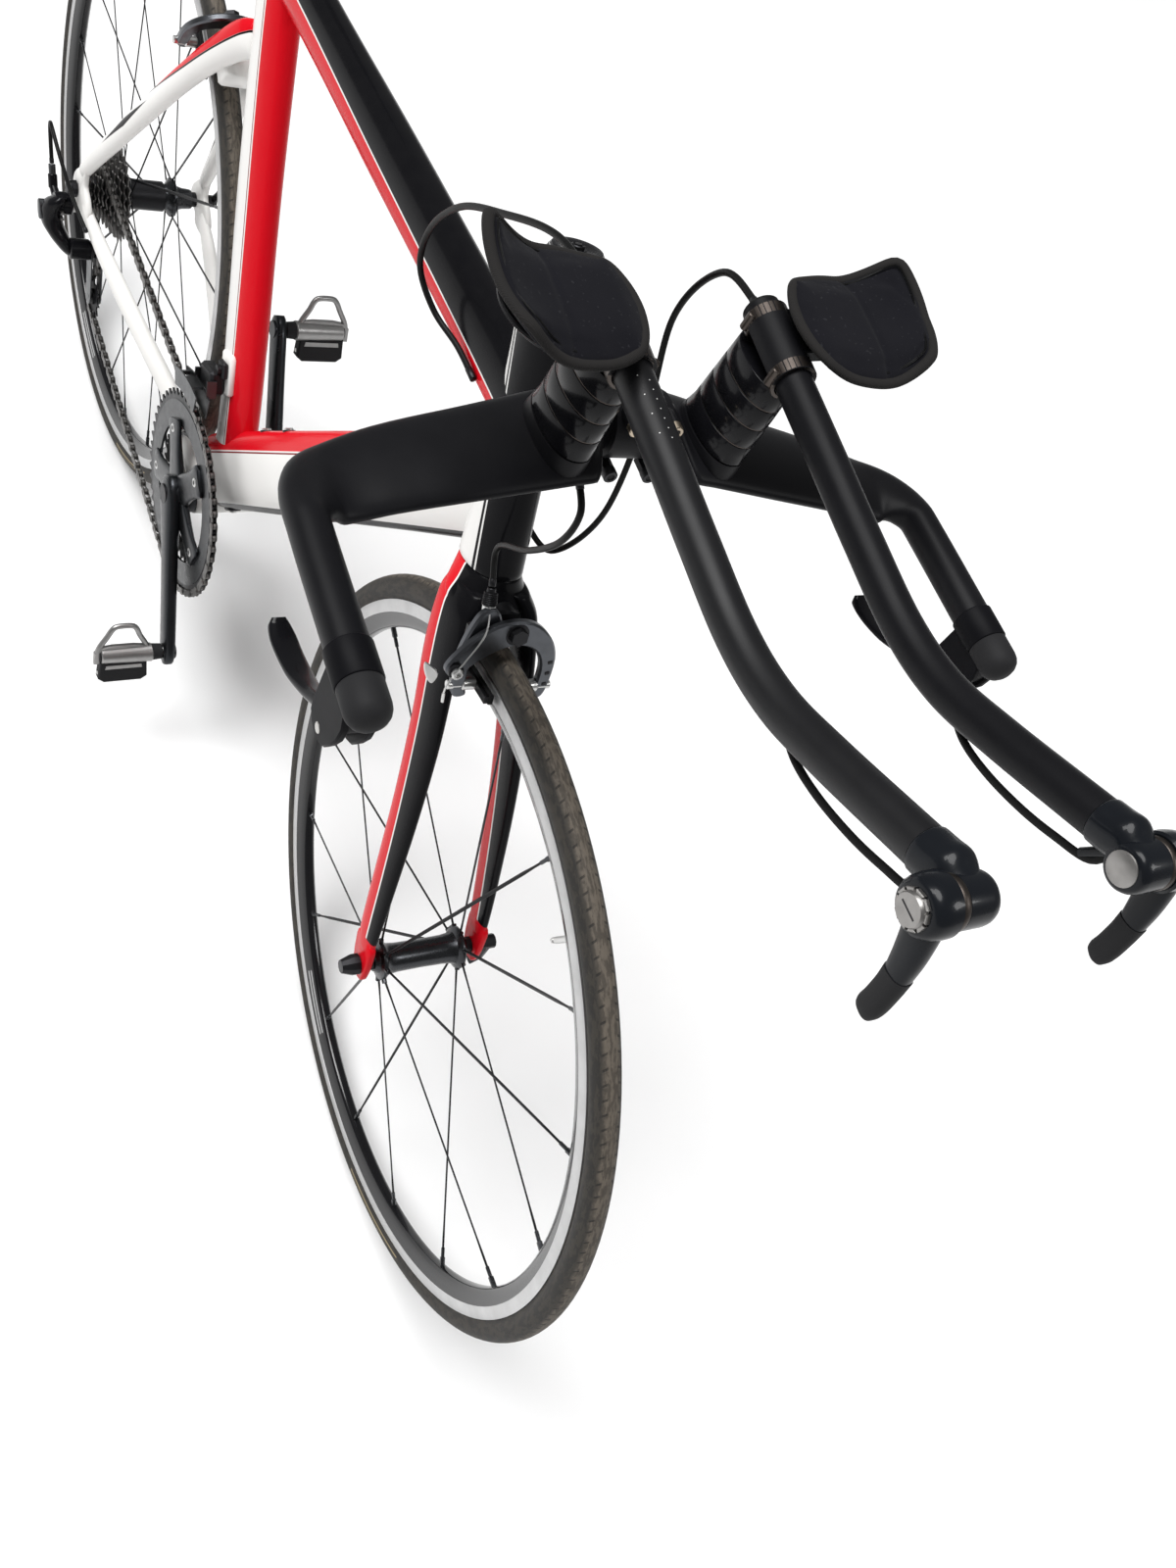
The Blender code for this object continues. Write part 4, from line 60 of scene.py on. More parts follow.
class Wire:
    # a socket in a material's tree; arithmetic on it adds Math nodes
    def __init__(self, tree, socket=None):
        self.tree = tree
        self.socket = socket

    def node(self, kind, settings=None, sockets=None, out=0):
        made = self.tree.nodes.new("ShaderNode" + kind)
        for name, value in (settings or {}).items():
            if name == "stops":
                stops = made.color_ramp.elements
                while len(stops) < len(value):
                    stops.new(0.5)
                for stop, (at, colour) in zip(stops, value):
                    stop.position = at
                    stop.color = (*colour, 1)
            else:
                setattr(made, name, value)
        for name, value in (sockets or {}).items():
            if isinstance(value, Wire):
                self.tree.links.new(value.socket, made.inputs[name])
            else:
                made.inputs[name].default_value = value
        return Wire(self.tree, made.outputs[out])

    def calc(self, operation, a, b=0.0):
        return self.node("Math", {"operation": operation}, {0: a, 1: b})

    def __add__(self, other):
        return self.calc("ADD", self, other)

    def __sub__(self, other):
        return self.calc("SUBTRACT", self, other)

    def __rsub__(self, other):
        return self.calc("SUBTRACT", other, self)

    def __mul__(self, other):
        return self.calc("MULTIPLY", self, other)

    def __pow__(self, other):
        return self.calc("POWER", self, other)

    def __abs__(self):
        return self.calc("ABSOLUTE", self)


def above(value, edge, soft=0.0003):
    # 0 below the edge and 1 above it, with a short smooth step
    return value.node("MapRange", {"interpolation_type": "SMOOTHSTEP"},
                      {"Value": value, "From Min": edge - soft, "From Max": edge + soft})


def between(value, low, high, soft=0.0003):
    return above(value, low, soft) * (1 - above(value, high, soft))


def either(a, b):
    return a.calc("MAXIMUM", a, b)


def blendColour(mask, a, b):
    picked = [c if isinstance(c, Wire) else (*c, 1) for c in (a, b)]
    return mask.node("Mix", {"data_type": "RGBA"}, {0: mask, 6: picked[0], 7: picked[1]}, 2)


def placeOf(board):
    return board.node("TexCoord", out=3)


def split(vector):
    return [vector.node("SeparateXYZ", None, {0: vector}, i) for i in range(3)]


def stretched(vector, scale):
    return vector.node("VectorMath", {"operation": "MULTIPLY"}, {0: vector, 1: scale})


def grain(place, scale, detail=3.0, roughness=0.5):
    return place.node("TexNoise", None, {"Vector": place, "Scale": scale, "Detail": detail,
                                         "Roughness": roughness})


def finishOf(name, build, **fixed):
    # build gets the wiring board and returns what varies over the surface
    made = bpy.data.materials.new(name)
    made.use_nodes = True
    tree = made.node_tree
    shader = tree.nodes["Principled BSDF"]
    for socket, value in fixed.items():
        shader.inputs[socket.replace("_", " ")].default_value = value
    board = Wire(tree)
    for socket, value in build(board).items():
        if socket == "height":
            wire, distance = value
            bump = board.node("Bump", None, {"Height": wire, "Distance": distance, "Strength": 1.0})
            tree.links.new(bump.socket, shader.inputs["Normal"])
        elif isinstance(value, Wire):
            tree.links.new(value.socket, shader.inputs[socket])
        elif isinstance(value, tuple):
            shader.inputs[socket].default_value = (*value, 1)
        else:
            shader.inputs[socket].default_value = value
    return made


# paint and metal finishes

paint = {
    "white": (0.8, 0.79, 0.77),
    "red": (0.62, 0.004, 0.012),
    "darkRed": (0.2, 0.004, 0.008),
    "black": (0.004, 0.004, 0.005),
    "pinstripe": 0.0016,
    "gloss": 0.16,
    "peel": 0.00004,
}


def lacquered(name, scheme):
    # clear-coated paint; the scheme returns the colour at a place
    def build(board):
        place = placeOf(board)
        colour = scheme(place)
        haze = grain(place, 60)
        dusty = blendColour(haze * 0.01, colour, (0.3, 0.29, 0.28))
        return {"Base Color": dusty, "Roughness": haze * 0.1 + paint["gloss"],
                "height": (grain(place, 900, 1.0), paint["peel"])}
    return finishOf(name, build, Coat_Weight=0.05, Coat_Roughness=0.05, Specular_IOR_Level=0.05)


headAngle = math.radians(72.6)
steerUp = Vector((-math.cos(headAngle), 0, math.sin(headAngle)))
steerForward = Vector((math.sin(headAngle), 0, math.cos(headAngle)))
frontAxle = Vector((0.59797, 0, 0.334))
rearAxle = Vector((-0.39781, 0, 0.334))
crankAxle = Vector((0, 0, 0.2671))
stayLean = math.radians(55.5)
stayAlong = Vector((math.cos(stayLean), 0, math.sin(stayLean)))
steerBase = frontAxle - steerForward * 0.044
steerTurn = math.radians(-3.2)
steerMatrix = (Matrix.Translation(steerBase) @ Matrix.Rotation(steerTurn, 4, steerUp)
               @ Matrix.Translation(-steerBase))


def steerPoint(along, forward=0.0, out=0.0):
    return steerBase + steerUp * along + steerForward * forward + side * out


topTubeEnds = (steerPoint(0.499), Vector((-0.14, 0, 0.772)))
downTubeEnds = (Vector((-0.0195, 0, 0.2821)), steerPoint(0.4446))


def across(place, origin, direction):
    # distance of a place from a point, along a direction
    offset = place.node("VectorMath", {"operation": "SUBTRACT"}, {0: place, 1: tuple(origin)})
    return place.node("VectorMath", {"operation": "DOT_PRODUCT"}, {0: offset, 1: tuple(direction)}, 1)


def topTubeScheme(place):
    start, end = topTubeEnds
    along = (start - end).normalized()
    lift = across(place, end, Vector((-along.z, 0, along.x))) + across(place, end, along) * 0.022
    under = 1 - above(lift, 0.005)
    stripe = between(lift, 0.005, 0.005 + paint["pinstripe"])
    return blendColour(stripe, blendColour(under, paint["black"], paint["red"]), paint["white"])


def downTubeScheme(place):
    foot, head = downTubeEnds
    along = (head - foot).normalized()
    lift = across(place, foot, Vector((-along.z, 0, along.x)))
    top = above(lift, 0.0215)
    stripe = between(lift, 0.0185, 0.0185 + paint["pinstripe"])
    keel = 1 - above(lift, -0.0335)
    base = blendColour(top, paint["white"], paint["red"])
    base = blendColour(keel, base, paint["black"])
    return blendColour(stripe, base, paint["darkRed"])


def seatTubeScheme(place):
    x, y, z = split(place)
    centre = z * z * z * 0.74828 - z * z * 1.22836 + z * 0.27339 + 0.01921
    ahead = x - centre
    front = above(ahead, 0.0125)
    stripe = between(ahead, 0.0085, 0.0085 + paint["pinstripe"])
    return blendColour(stripe, blendColour(front, paint["white"], paint["red"]), paint["darkRed"])


def headTubeScheme(place):
    forward = across(place, steerPoint(0.47, -0.006), steerForward + steerUp * 0.13)
    back = 1 - above(forward, -0.003)
    stripe = between(forward, 0.0, paint["pinstripe"])
    return blendColour(either(back, stripe), paint["black"], paint["white"])


def seatStayScheme(place):
    # a red wedge widens upwards over the stay's back, with a dark line and a dark sliver on white
    low = Vector((-0.3895, 0, 0.364))
    along = across(place, low, (0.573, 0, 0.8195))
    centre = 0.0103 - ((along - 0.24) * 0.423) ** 2
    lift = across(place, low, (-0.8195, 0, 0.573)) - centre
    edge = 0.011 - (along - 0.17) * 0.06
    red = above(lift - edge, 0.0)
    dark = between(lift - edge, -0.002, 0.0)
    sliver = 1 - above(abs(lift - 0.001) + abs(along - 0.135) * 0.07, 0.0042)
    return blendColour(either(dark, sliver), blendColour(red, paint["white"], paint["red"]), paint["black"])


def chainStayScheme(place):
    cream = grain(place, 9, 3.0)
    return blendColour(cream * 0.5, paint["white"], (0.74, 0.73, 0.7))


def forkScheme(place):
    forward = across(place, steerBase, steerForward)
    lift = across(place, steerBase, steerUp)
    centre = lift * lift * -0.35338 + lift * 0.01919 + 0.04242
    edge = lift * -0.026 + 0.0045
    back = 1 - above(forward - centre - edge, 0.0)
    stripe = between(forward - centre - edge, 0.0, paint["pinstripe"] * 1.2)
    tip = 1 - above(lift, 0.036, 0.0006)
    base = blendColour(either(back, tip), paint["black"], paint["red"])
    return blendColour(stripe * (1 - tip), base, paint["white"])


metals = {
    "silver": (0.62, 0.62, 0.61),
    "steel": (0.5, 0.49, 0.47),
    "darkSteel": (0.16, 0.155, 0.15),
    "grey": (0.085, 0.088, 0.092),
    "black": (0.02, 0.02, 0.022),
}


def metalFinish(name, colour, rough, wear=0.25, scratch=0.00003, metallic=1.0):
    def build(board):
        place = placeOf(board)
        cloud = grain(place, 140, 4.0)
        fine = grain(stretched(place, (1, 9, 1)), 700, 2.0)
        tone = blendColour(cloud * wear, colour, tuple(c * 0.45 for c in colour))
        return {"Base Color": tone, "Roughness": cloud * 0.22 + rough, "height": (fine, scratch)}
    return finishOf(name, build, Metallic=metallic)


def plasticFinish(name, colour, rough, bump=0.00003, scale=1400, coat=0.0, shine=0.11):
    def build(board):
        place = placeOf(board)
        cloud = grain(place, 45, 4.0)
        tone = blendColour(cloud * 0.5, colour, tuple(min(1, c * 1.7 + 0.002) for c in colour))
        return {"Base Color": tone, "Roughness": cloud * 0.12 + rough,
                "height": (grain(place, scale, 1.0), bump)}
    return finishOf(name, build, Coat_Weight=coat, Coat_Roughness=0.05, Specular_IOR_Level=shine)


silver = metalFinish("silver", metals["silver"], 0.22)
wornSilver = metalFinish("wornSilver", (0.33, 0.32, 0.31), 0.3, 0.5)
steel = metalFinish("steel", metals["steel"], 0.25)
darkSteel = metalFinish("darkSteel", metals["darkSteel"], 0.32)
greyMetal = metalFinish("greyMetal", metals["grey"], 0.24, 0.15)
blackMetal = metalFinish("blackMetal", metals["black"], 0.3, 0.15, metallic=0.8)
glossBlack = plasticFinish("glossBlack", (0.004, 0.004, 0.005), 0.16, 0.00001, coat=0.09)
matteBlack = plasticFinish("matteBlack", (0.006, 0.006, 0.007), 0.44)
blackRubber = plasticFinish("blackRubber", (0.009, 0.009, 0.009), 0.62, 0.00005)
print("finishes ready")


# paint of the frame, and finishes of the nodes that keep their own shape

painted = {
    "head_tube": lacquered("headTubePaint", headTubeScheme),
    "top_tube": lacquered("topTubePaint", topTubeScheme),
    "down_tube": lacquered("downTubePaint", downTubeScheme),
    "seat_tube": lacquered("seatTubePaint", seatTubeScheme),
    "seat_stays": lacquered("seatStayPaint", seatStayScheme),
    "chain_stay_right": lacquered("chainStayPaint", chainStayScheme),
    "fork": lacquered("forkPaint", forkScheme),
}
bySlot = {
    "metal_black": blackMetal, "matte_black": matteBlack, "gloss_black": glossBlack, "rubber": blackRubber,
    "steel": steel, "grey_metal": greyMetal,
}
remade = set()


def slotOf(name):
    for row in frame["record"]["subparts"]:
        if row["node"] == name:
            return row["material_slot"]


def bodyOf(name):
    for body, members in frame["record"]["behaviour"]["bodies"].items():
        if name in members:
            return body


def easeEdges(piece, width, sharp):
    ease = piece.modifiers.new("ease", "BEVEL")
    ease.width = width
    ease.segments = 2
    ease.limit_method = "ANGLE"
    ease.angle_limit = math.radians(sharp)
    ease.harden_normals = True


def subdivide(piece, levels):
    finer = piece.modifiers.new("finer", "SUBSURF")
    finer.levels = levels
    finer.render_levels = levels


def softened(name, bevel=0.0004, sharp=32):
    # the node's own shape with eased edges and smooth shading
    mesh = nodes[name].data.copy()
    shape = bmesh.new()
    shape.from_mesh(mesh)
    bmesh.ops.remove_doubles(shape, verts=shape.verts, dist=0.00001)
    bmesh.ops.dissolve_limit(shape, angle_limit=math.radians(0.5), verts=shape.verts, edges=shape.edges)
    for face in shape.faces:
        face.smooth = True
    for edge in shape.edges:
        edge.smooth = edge.calc_face_angle(0) < math.radians(sharp)
    shape.to_mesh(mesh)
    shape.free()
    mesh.materials.clear()
    mesh.materials.append(bySlot[slotOf(name)])
    if "custom_normal" in mesh.attributes:
        mesh.attributes.remove(mesh.attributes["custom_normal"])
    piece = bpy.data.objects.new(name + "_shown", mesh)
    bpy.context.scene.collection.objects.link(piece)
    easeEdges(piece, bevel, sharp)
    piece.modifiers.new("weigh", "WEIGHTED_NORMAL").keep_sharp = True
    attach(piece, bodyOf(name))
    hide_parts(name)
    return piece


# shapes for the pieces made here

def axes(origin, x, y):
    place = Matrix((x, y, x.cross(y))).transposed().to_4x4()
    place.translation = origin
    return place


def flatPlace(centre, y):
    # local X and Y become the bike's X and Z
    return Matrix(((1, 0, 0, centre[0]), (0, 0, -1, y), (0, 1, 0, centre[1]), (0, 0, 0, 1)))


def axisMatrix(origin, axis):
    # local Z along the axis
    z = Vector(axis).normalized()
    first = side if abs(z.y) < 0.9 else ahead
    x = (first - z * first.dot(z)).normalized()
    place = Matrix((x, z.cross(x), z)).transposed().to_4x4()
    place.translation = Vector(origin)
    return place


def flowing(line, steps):
    # even points on a smooth curve through the given ones
    pts = [Vector(p) for p in line]
    pts = [pts[0] * 2 - pts[1]] + pts + [pts[-1] * 2 - pts[-2]]
    dense = []
    for i in range(1, len(pts) - 2):
        a, b, c, d = pts[i - 1:i + 3]
        for k in range(16):
            t = k / 16
            dense.append(0.5 * (2 * b + (c - a) * t + (2 * a - 5 * b + 4 * c - d) * t * t
                                + (3 * b - a - 3 * c + d) * t ** 3))
    dense.append(pts[-2])
    reach = [0.0]
    for a, b in zip(dense, dense[1:]):
        reach.append(reach[-1] + (b - a).length)
    out, k = [], 0
    for i in range(steps + 1):
        want = reach[-1] * i / steps
        while k < len(dense) - 2 and reach[k + 1] < want:
            k += 1
        out.append(dense[k].lerp(dense[k + 1], (want - reach[k]) / max(reach[k + 1] - reach[k], 1e-9)))
    return out


def ovalRing(centre, u, v, a, b, count=32, power=1.0):
    ring = []
    for i in range(count):
        t = math.tau * (i + 0.5) / count
        c = math.copysign(abs(math.cos(t)) ** power, math.cos(t))
        s = math.copysign(abs(math.sin(t)) ** power, math.sin(t))
        ring.append(Vector(centre) + Vector(u) * (a * c) + Vector(v) * (b * s))
    return ring


class Piece:
    # gathers the shapes that make one visible piece
    def __init__(self):
        self.points = []
        self.faces = []
        self.marks = []

    def add(self, points, faces, mark=0, place=None):
        base = len(self.points)
        self.points += [place @ Vector(p) if place else Vector(p) for p in points]
        self.faces += [[base + i for i in face] for face in faces]
        self.marks += mark if isinstance(mark, list) else [mark] * len(faces)

    def skin(self, rings, mark=0, loop=False, place=None, caps=True):
        # joins rings of equal counts; mark may be one number for each gap between rings
        count = len(rings[0])
        faces, marks = [], []
        gaps = len(rings) if loop else len(rings) - 1
        for n in range(gaps):
            a, b = n * count, (n + 1) % len(rings) * count
            for i in range(count):
                j = (i + 1) % count
                faces.append([a + i, a + j, b + j, b + i])
                marks.append(mark[n] if isinstance(mark, list) else mark)
        if not loop and caps:
            faces += [list(range(count))[::-1], [len(rings) * count - count + i for i in range(count)]]
            marks += [marks[0], marks[-1]]
        self.add([p for ring in rings for p in ring], faces, marks, place)

    def turned(self, profile, place, steps=48, mark=0, loop=False):
        # (radius, height) pairs turned about local Z; a zero radius is drawn as a tiny one
        rings = []
        for radius, height in profile:
            r = max(radius, 0.00002)
            rings.append([(r * math.cos(math.tau * i / steps), r * math.sin(math.tau * i / steps), height)
                          for i in range(steps)])
        self.skin(rings, mark, loop, place)

    def rod(self, a, b, radius, steps=20, mark=0, edge=0.0003, tip=None):
        a, b = Vector(a), Vector(b)
        length = (b - a).length
        end = radius if tip is None else tip
        edge = min(edge, radius * 0.4, length * 0.3)
        profile = [(0, 0), (radius - edge, 0), (radius, edge), (end, length - edge), (end - edge, length),
                   (0, length)]
        self.turned(profile, axisMatrix(a, b - a), steps, mark)

    def tube(self, line, radius, sides=12, mark=0, loop=False, flat=1.0, flatAxis=None):
        # a round or flattened tube along a line
        pts = [Vector(p) for p in line]
        rings = []
        normal = Vector(flatAxis) if flatAxis else None
        for i, p in enumerate(pts):
            if loop:
                along = pts[(i + 1) % len(pts)] - pts[i - 1]
            else:
                along = pts[min(i + 1, len(pts) - 1)] - pts[max(i - 1, 0)]
            along.normalize()
            if normal is None:
                normal = along.orthogonal()
            if not flatAxis:
                normal = (normal - along * normal.dot(along)).normalized()
            u = (normal - along * normal.dot(along)).normalized()
            r = radius[i] if isinstance(radius, list) else radius
            rings.append(ovalRing(p, u, along.cross(u), r * flat, r, sides))
        self.skin(rings, mark, loop)

    def slab(self, outline, low, high, place=None, mark=0, edge=0.0):
        # a flat outline with thickness and eased rims
        pts = [Vector((p[0], p[1])) for p in outline]
        count = len(pts)
        area = sum(pts[i - 1].x * pts[i].y - pts[i].x * pts[i - 1].y for i in range(count))
        turn = 1 if area > 0 else -1
        inner = []
        for i in range(count):
            run = (pts[(i + 1) % count] - pts[i - 1]).normalized()
            inner.append(pts[i] + Vector((-run.y, run.x)) * edge * turn)
        if edge:
            rings = [[(*p, low) for p in inner], [(*p, low + edge) for p in pts],
                     [(*p, high - edge) for p in pts], [(*p, high) for p in inner]]
        else:
            rings = [[(*p, low) for p in pts], [(*p, high) for p in pts]]
        self.skin(rings, mark, False, place)

    def band(self, outer, inner, low, high, place=None, mark=0):
        # a flat ring between two outlines of equal counts
        rings = [[(*p, z) for p in line] for line, z in ((outer, low), (outer, high), (inner, high),
                                                         (inner, low))]
        self.skin(rings, mark, True, place)

    def done(self, name, finishes, sharp=38, place=None, bevel=0.0, extra=None, rides=True):
        # a node's name gives the body and slot; extra gives them for a piece that replaces no node
        body, slot = extra or (bodyOf(name), slotOf(name))
        shown = name if extra else name + "_shown"
        mesh = bpy.data.meshes.new(shown)
        mesh.from_pydata([tuple(p) for p in self.points], [], self.faces)
        for made in finishes if isinstance(finishes, (list, tuple)) else [finishes]:
            mesh.materials.append(made)
        mesh.polygons.foreach_set("material_index", self.marks)
        shape = bmesh.new()
        shape.from_mesh(mesh)
        bmesh.ops.recalc_face_normals(shape, faces=shape.faces)
        shape.to_mesh(mesh)
        shape.free()
        mesh.shade_smooth()
        mesh.set_sharp_from_angle(angle=math.radians(sharp))
        piece = bpy.data.objects.new(shown, mesh)
        bpy.context.scene.collection.objects.link(piece)
        if place:
            piece.matrix_world = place
        if bevel:
            easeEdges(piece, bevel, sharp)
        if rides:
            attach(piece, body)
        if not extra:
            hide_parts(name)
            remade.add(name)
        return piece


# wheels, drawn with the axle on local Z and local Y up

wheel = {
    "tyreRadius": 0.334,
    "tyreSection": 0.0115,
    "rimRadius": 0.3132,
    "trackDepth": 0.011,
    "rimInner": 0.2885,
    "rimHalf": 0.0098,
    "tread": (0.128, 0.108, 0.086),
    "wall": (0.02, 0.019, 0.018),
    "mark": (0.3, 0.24, 0.14),
    "track": (0.6, 0.6, 0.6),
    "spokeEnd": 0.289,
    "steps": 144,
}


def wheelSpot(place):
    # radius, angle and depth of a place on a wheel
    x, y, z = split(place)
    return (x * x + y * y) ** 0.5, x.calc("ARCTAN2", y, x), z


def tyreBuild(board):
    place = placeOf(board)
    radius, angle, z = wheelSpot(place)
    worn = grain(place, 90, 5.0, 0.65)
    specks = grain(place, 600, 2.0)
    middle = 1 - above(abs(z) + (worn - 0.5) * 0.004, 0.0066, 0.0018)
    run = z.node("CombineXYZ", None, {0: angle * 0.07, 1: z, 2: radius * 0.5})
    patches = above(grain(run, 420, 5.0, 0.65) + (worn - 0.5) * 0.5, 0.5, 0.08)
    tone = blendColour(patches * 0.55 + specks * 0.25, wheel["tread"], (0.03, 0.026, 0.022))
    bar = between(radius, 0.319, 0.3204) * between(angle, -1.25, -0.86, 0.002)
    second = between(radius, 0.3222, 0.3228) * between(angle, -1.25, -0.98, 0.002)
    colour = blendColour(middle, blendColour(specks * 0.2 + patches * 0.4, wheel["wall"],
                                             (0.058, 0.05, 0.04)), tone)
    colour = blendColour(either(bar, second) * 0.9, colour, wheel["mark"])
    lean = angle * 60 + abs(z) * 90
    grooves = between(lean.calc("PINGPONG", lean, 1.0), 0.0, 0.16, 0.05)
    grooves = grooves * between(abs(z), 0.004, 0.0075, 0.0008)
    # the grooves are painted near black as painted shade in the recesses; the same mask also cuts their bump
    colour = blendColour(grooves * 0.75, colour, (0.008, 0.008, 0.008))
    height = specks * 0.35 - grooves
    return {"Base Color": colour, "Roughness": worn * 0.15 + 0.62, "height": (height, 0.00018)}


def rimBuild(board):
    place = placeOf(board)
    radius, angle, z = wheelSpot(place)
    near = either(between(angle, -1.95, -1.72, 0.003), between(angle, 1.3, 1.5, 0.003))
    lines = between(radius.calc("PINGPONG", radius * 520, 1.0), 0.5, 1.1, 0.08)
    stripe = lines * near * between(radius, 0.2915, 0.3005)
    cloud = grain(place, 70, 4.0)
    colour = blendColour(stripe * 0.8, blendColour(cloud * 0.25, (0.004, 0.004, 0.005),
                                                   (0.012, 0.012, 0.012)),
                         (0.42, 0.42, 0.42))
    return {"Base Color": colour, "Roughness": cloud * 0.1 + 0.15,
            "height": (grain(place, 500, 1.0), 0.00001)}


def trackBuild(board):
    place = placeOf(board)
    radius = wheelSpot(place)[0]
    rubbed = grain(place, 45, 5.0, 0.6)
    rings = radius.calc("SINE", radius * 9000)
    colour = blendColour(rubbed * 0.45, wheel["track"], (0.2, 0.2, 0.2))
    return {"Base Color": colour, "Roughness": rubbed * 0.2 + 0.3, "height": (rings, 0.00003)}


tyreRubber = finishOf("tyreRubber", tyreBuild, Specular_IOR_Level=0.3)
rimBlack = finishOf("rimBlack", rimBuild, Coat_Weight=0.4, Coat_Roughness=0.05, Specular_IOR_Level=0.2)
brakeTrack = finishOf("brakeTrack", trackBuild, Metallic=0.9)
spokeBlack = plasticFinish("spokeBlack", (0.006, 0.006, 0.007), 0.3, 0.00001)


def bladedSpoke(piece, start, end, flatAxis):
    run = (end - start).normalized()
    neck = end - run * 0.0165
    line, radius = [], []
    length = (neck - start).length
    for share, wide in ((0, 0.001), (0.04, 0.001), (0.09, 0.0016), (0.5, 0.0017), (0.9, 0.0016),
                        (0.96, 0.001),
                        (1.0, 0.001)):
        line.append(start + run * length * share)
        radius.append(wide)
    rings = []
    u = (Vector(flatAxis) - run * Vector(flatAxis).dot(run)).normalized()
    for p, wide in zip(line, radius):
        rings.append(ovalRing(p, run.cross(u), u, wide, 0.001 if wide < 0.0011 else 0.00055, 10, 0.9))
    piece.skin(rings, 0)
    piece.rod(neck - run * 0.001, end - run * 0.009, 0.00165, 10, 1, 0.0004)
    piece.rod(end - run * 0.009, end + run * 0.003, 0.0023, 6, 1, 0.0005)


def makeTyreAndRim(word, place):
    tyre = Piece()
    rows = []
    for i in range(27):
        t = math.radians(-130 + 260 * i / 26)
        rows.append((wheel["tyreRadius"] - wheel["tyreSection"] + wheel["tyreSection"] * math.cos(t) * 0.9999,
                     wheel["tyreSection"] * math.sin(t)))
    rows = [(0.3136, -0.0086)] + [r for r in rows if r[0] > 0.315] + [(0.3136, 0.0086)]
    tyre.turned(rows, Matrix.Identity(4), wheel["steps"], 0, True)
    tyre.done(word + "_tyre", tyreRubber, 60, place)
    half, outer = wheel["rimHalf"], wheel["rimRadius"]
    track = outer - wheel["trackDepth"]
    flank = [(outer, half - 0.0004, 1), (outer - 0.0005, half, 1), (track + 0.0002, half, 1),
             (track, half - 0.0003, 0),
             (track - 0.0004, half - 0.0004, 0), (0.296, 0.0073, 0), (0.2915, 0.0058, 0), (0.2893, 0.0042, 0),
             (0.2886, 0.002, 0)]
    profile = [(r, h) for r, h, m in flank] + [(r, -h) for r, h, m in reversed(flank)]
    marks = [m for r, h, m in flank] + [m for r, h, m in reversed(flank)][1:] + [1]
    marks[len(flank) - 1] = 0
    rim = Piece()
    rim.turned(profile, Matrix.Identity(4), wheel["steps"], marks, True)
    rim.done(word + "_rim", [rimBlack, brakeTrack], 50, place)


def valve(piece, angle):
    inner = wheel["rimInner"]
    out = Vector((math.cos(angle), math.sin(angle), 0))
    piece.rod(out * (inner + 0.002), out * (inner - 0.0045), 0.0036, 12, 2)
    piece.rod(out * inner, out * (inner - 0.022), 0.0027, 12, 2)
    piece.rod(out * (inner - 0.022), out * (inner - 0.029), 0.0016, 10, 2)
    piece.rod(out * (inner - 0.0245), out * (inner - 0.0275), 0.0023, 10, 2)


def makeFrontWheel():
    place = steerMatrix @ flatPlace((frontAxle.x, frontAxle.z), 0)
    makeTyreAndRim("front", place)
    hub = Piece()
    shell = [(0.006, 0.0438), (0.009, 0.0438), (0.0094, 0.0425), (0.0112, 0.0408), (0.0118, 0.0396),
             (0.0172, 0.0384),
             (0.0178, 0.0374), (0.0178, 0.0356), (0.0172, 0.0346), (0.015, 0.0325), (0.0138, 0.029),
             (0.013, 0.022),
             (0.0126, 0.0), (0.013, -0.022), (0.0138, -0.029), (0.0152, -0.0325), (0.0192, -0.0346),
             (0.02, -0.0356), (0.02, -0.0374), (0.0192, -0.0385), (0.0125, -0.0396), (0.0116, -0.041),
             (0.0094, -0.0428), (0.009, -0.0438), (0.006, -0.0438)]
    hub.turned(shell, Matrix.Identity(4), 48, 1, True)
    for i in range(16):
        angle = math.radians(78.9) + math.tau * i / 16
        out = Vector((math.cos(angle), math.sin(angle), 0))
        z = -0.0365 if i % 2 else 0.0365
        start = out * 0.015 + Vector((0, 0, z))
        hub.rod(start - out * 0.0015, start + out * 0.0062, 0.0023, 10, 1)
        bladedSpoke(hub, start, out * wheel["spokeEnd"], (0, 0, 1))
    valve(hub, math.radians(66.9))
    hub.done("front_hub", [spokeBlack, hubBlack, silver], 35, place)


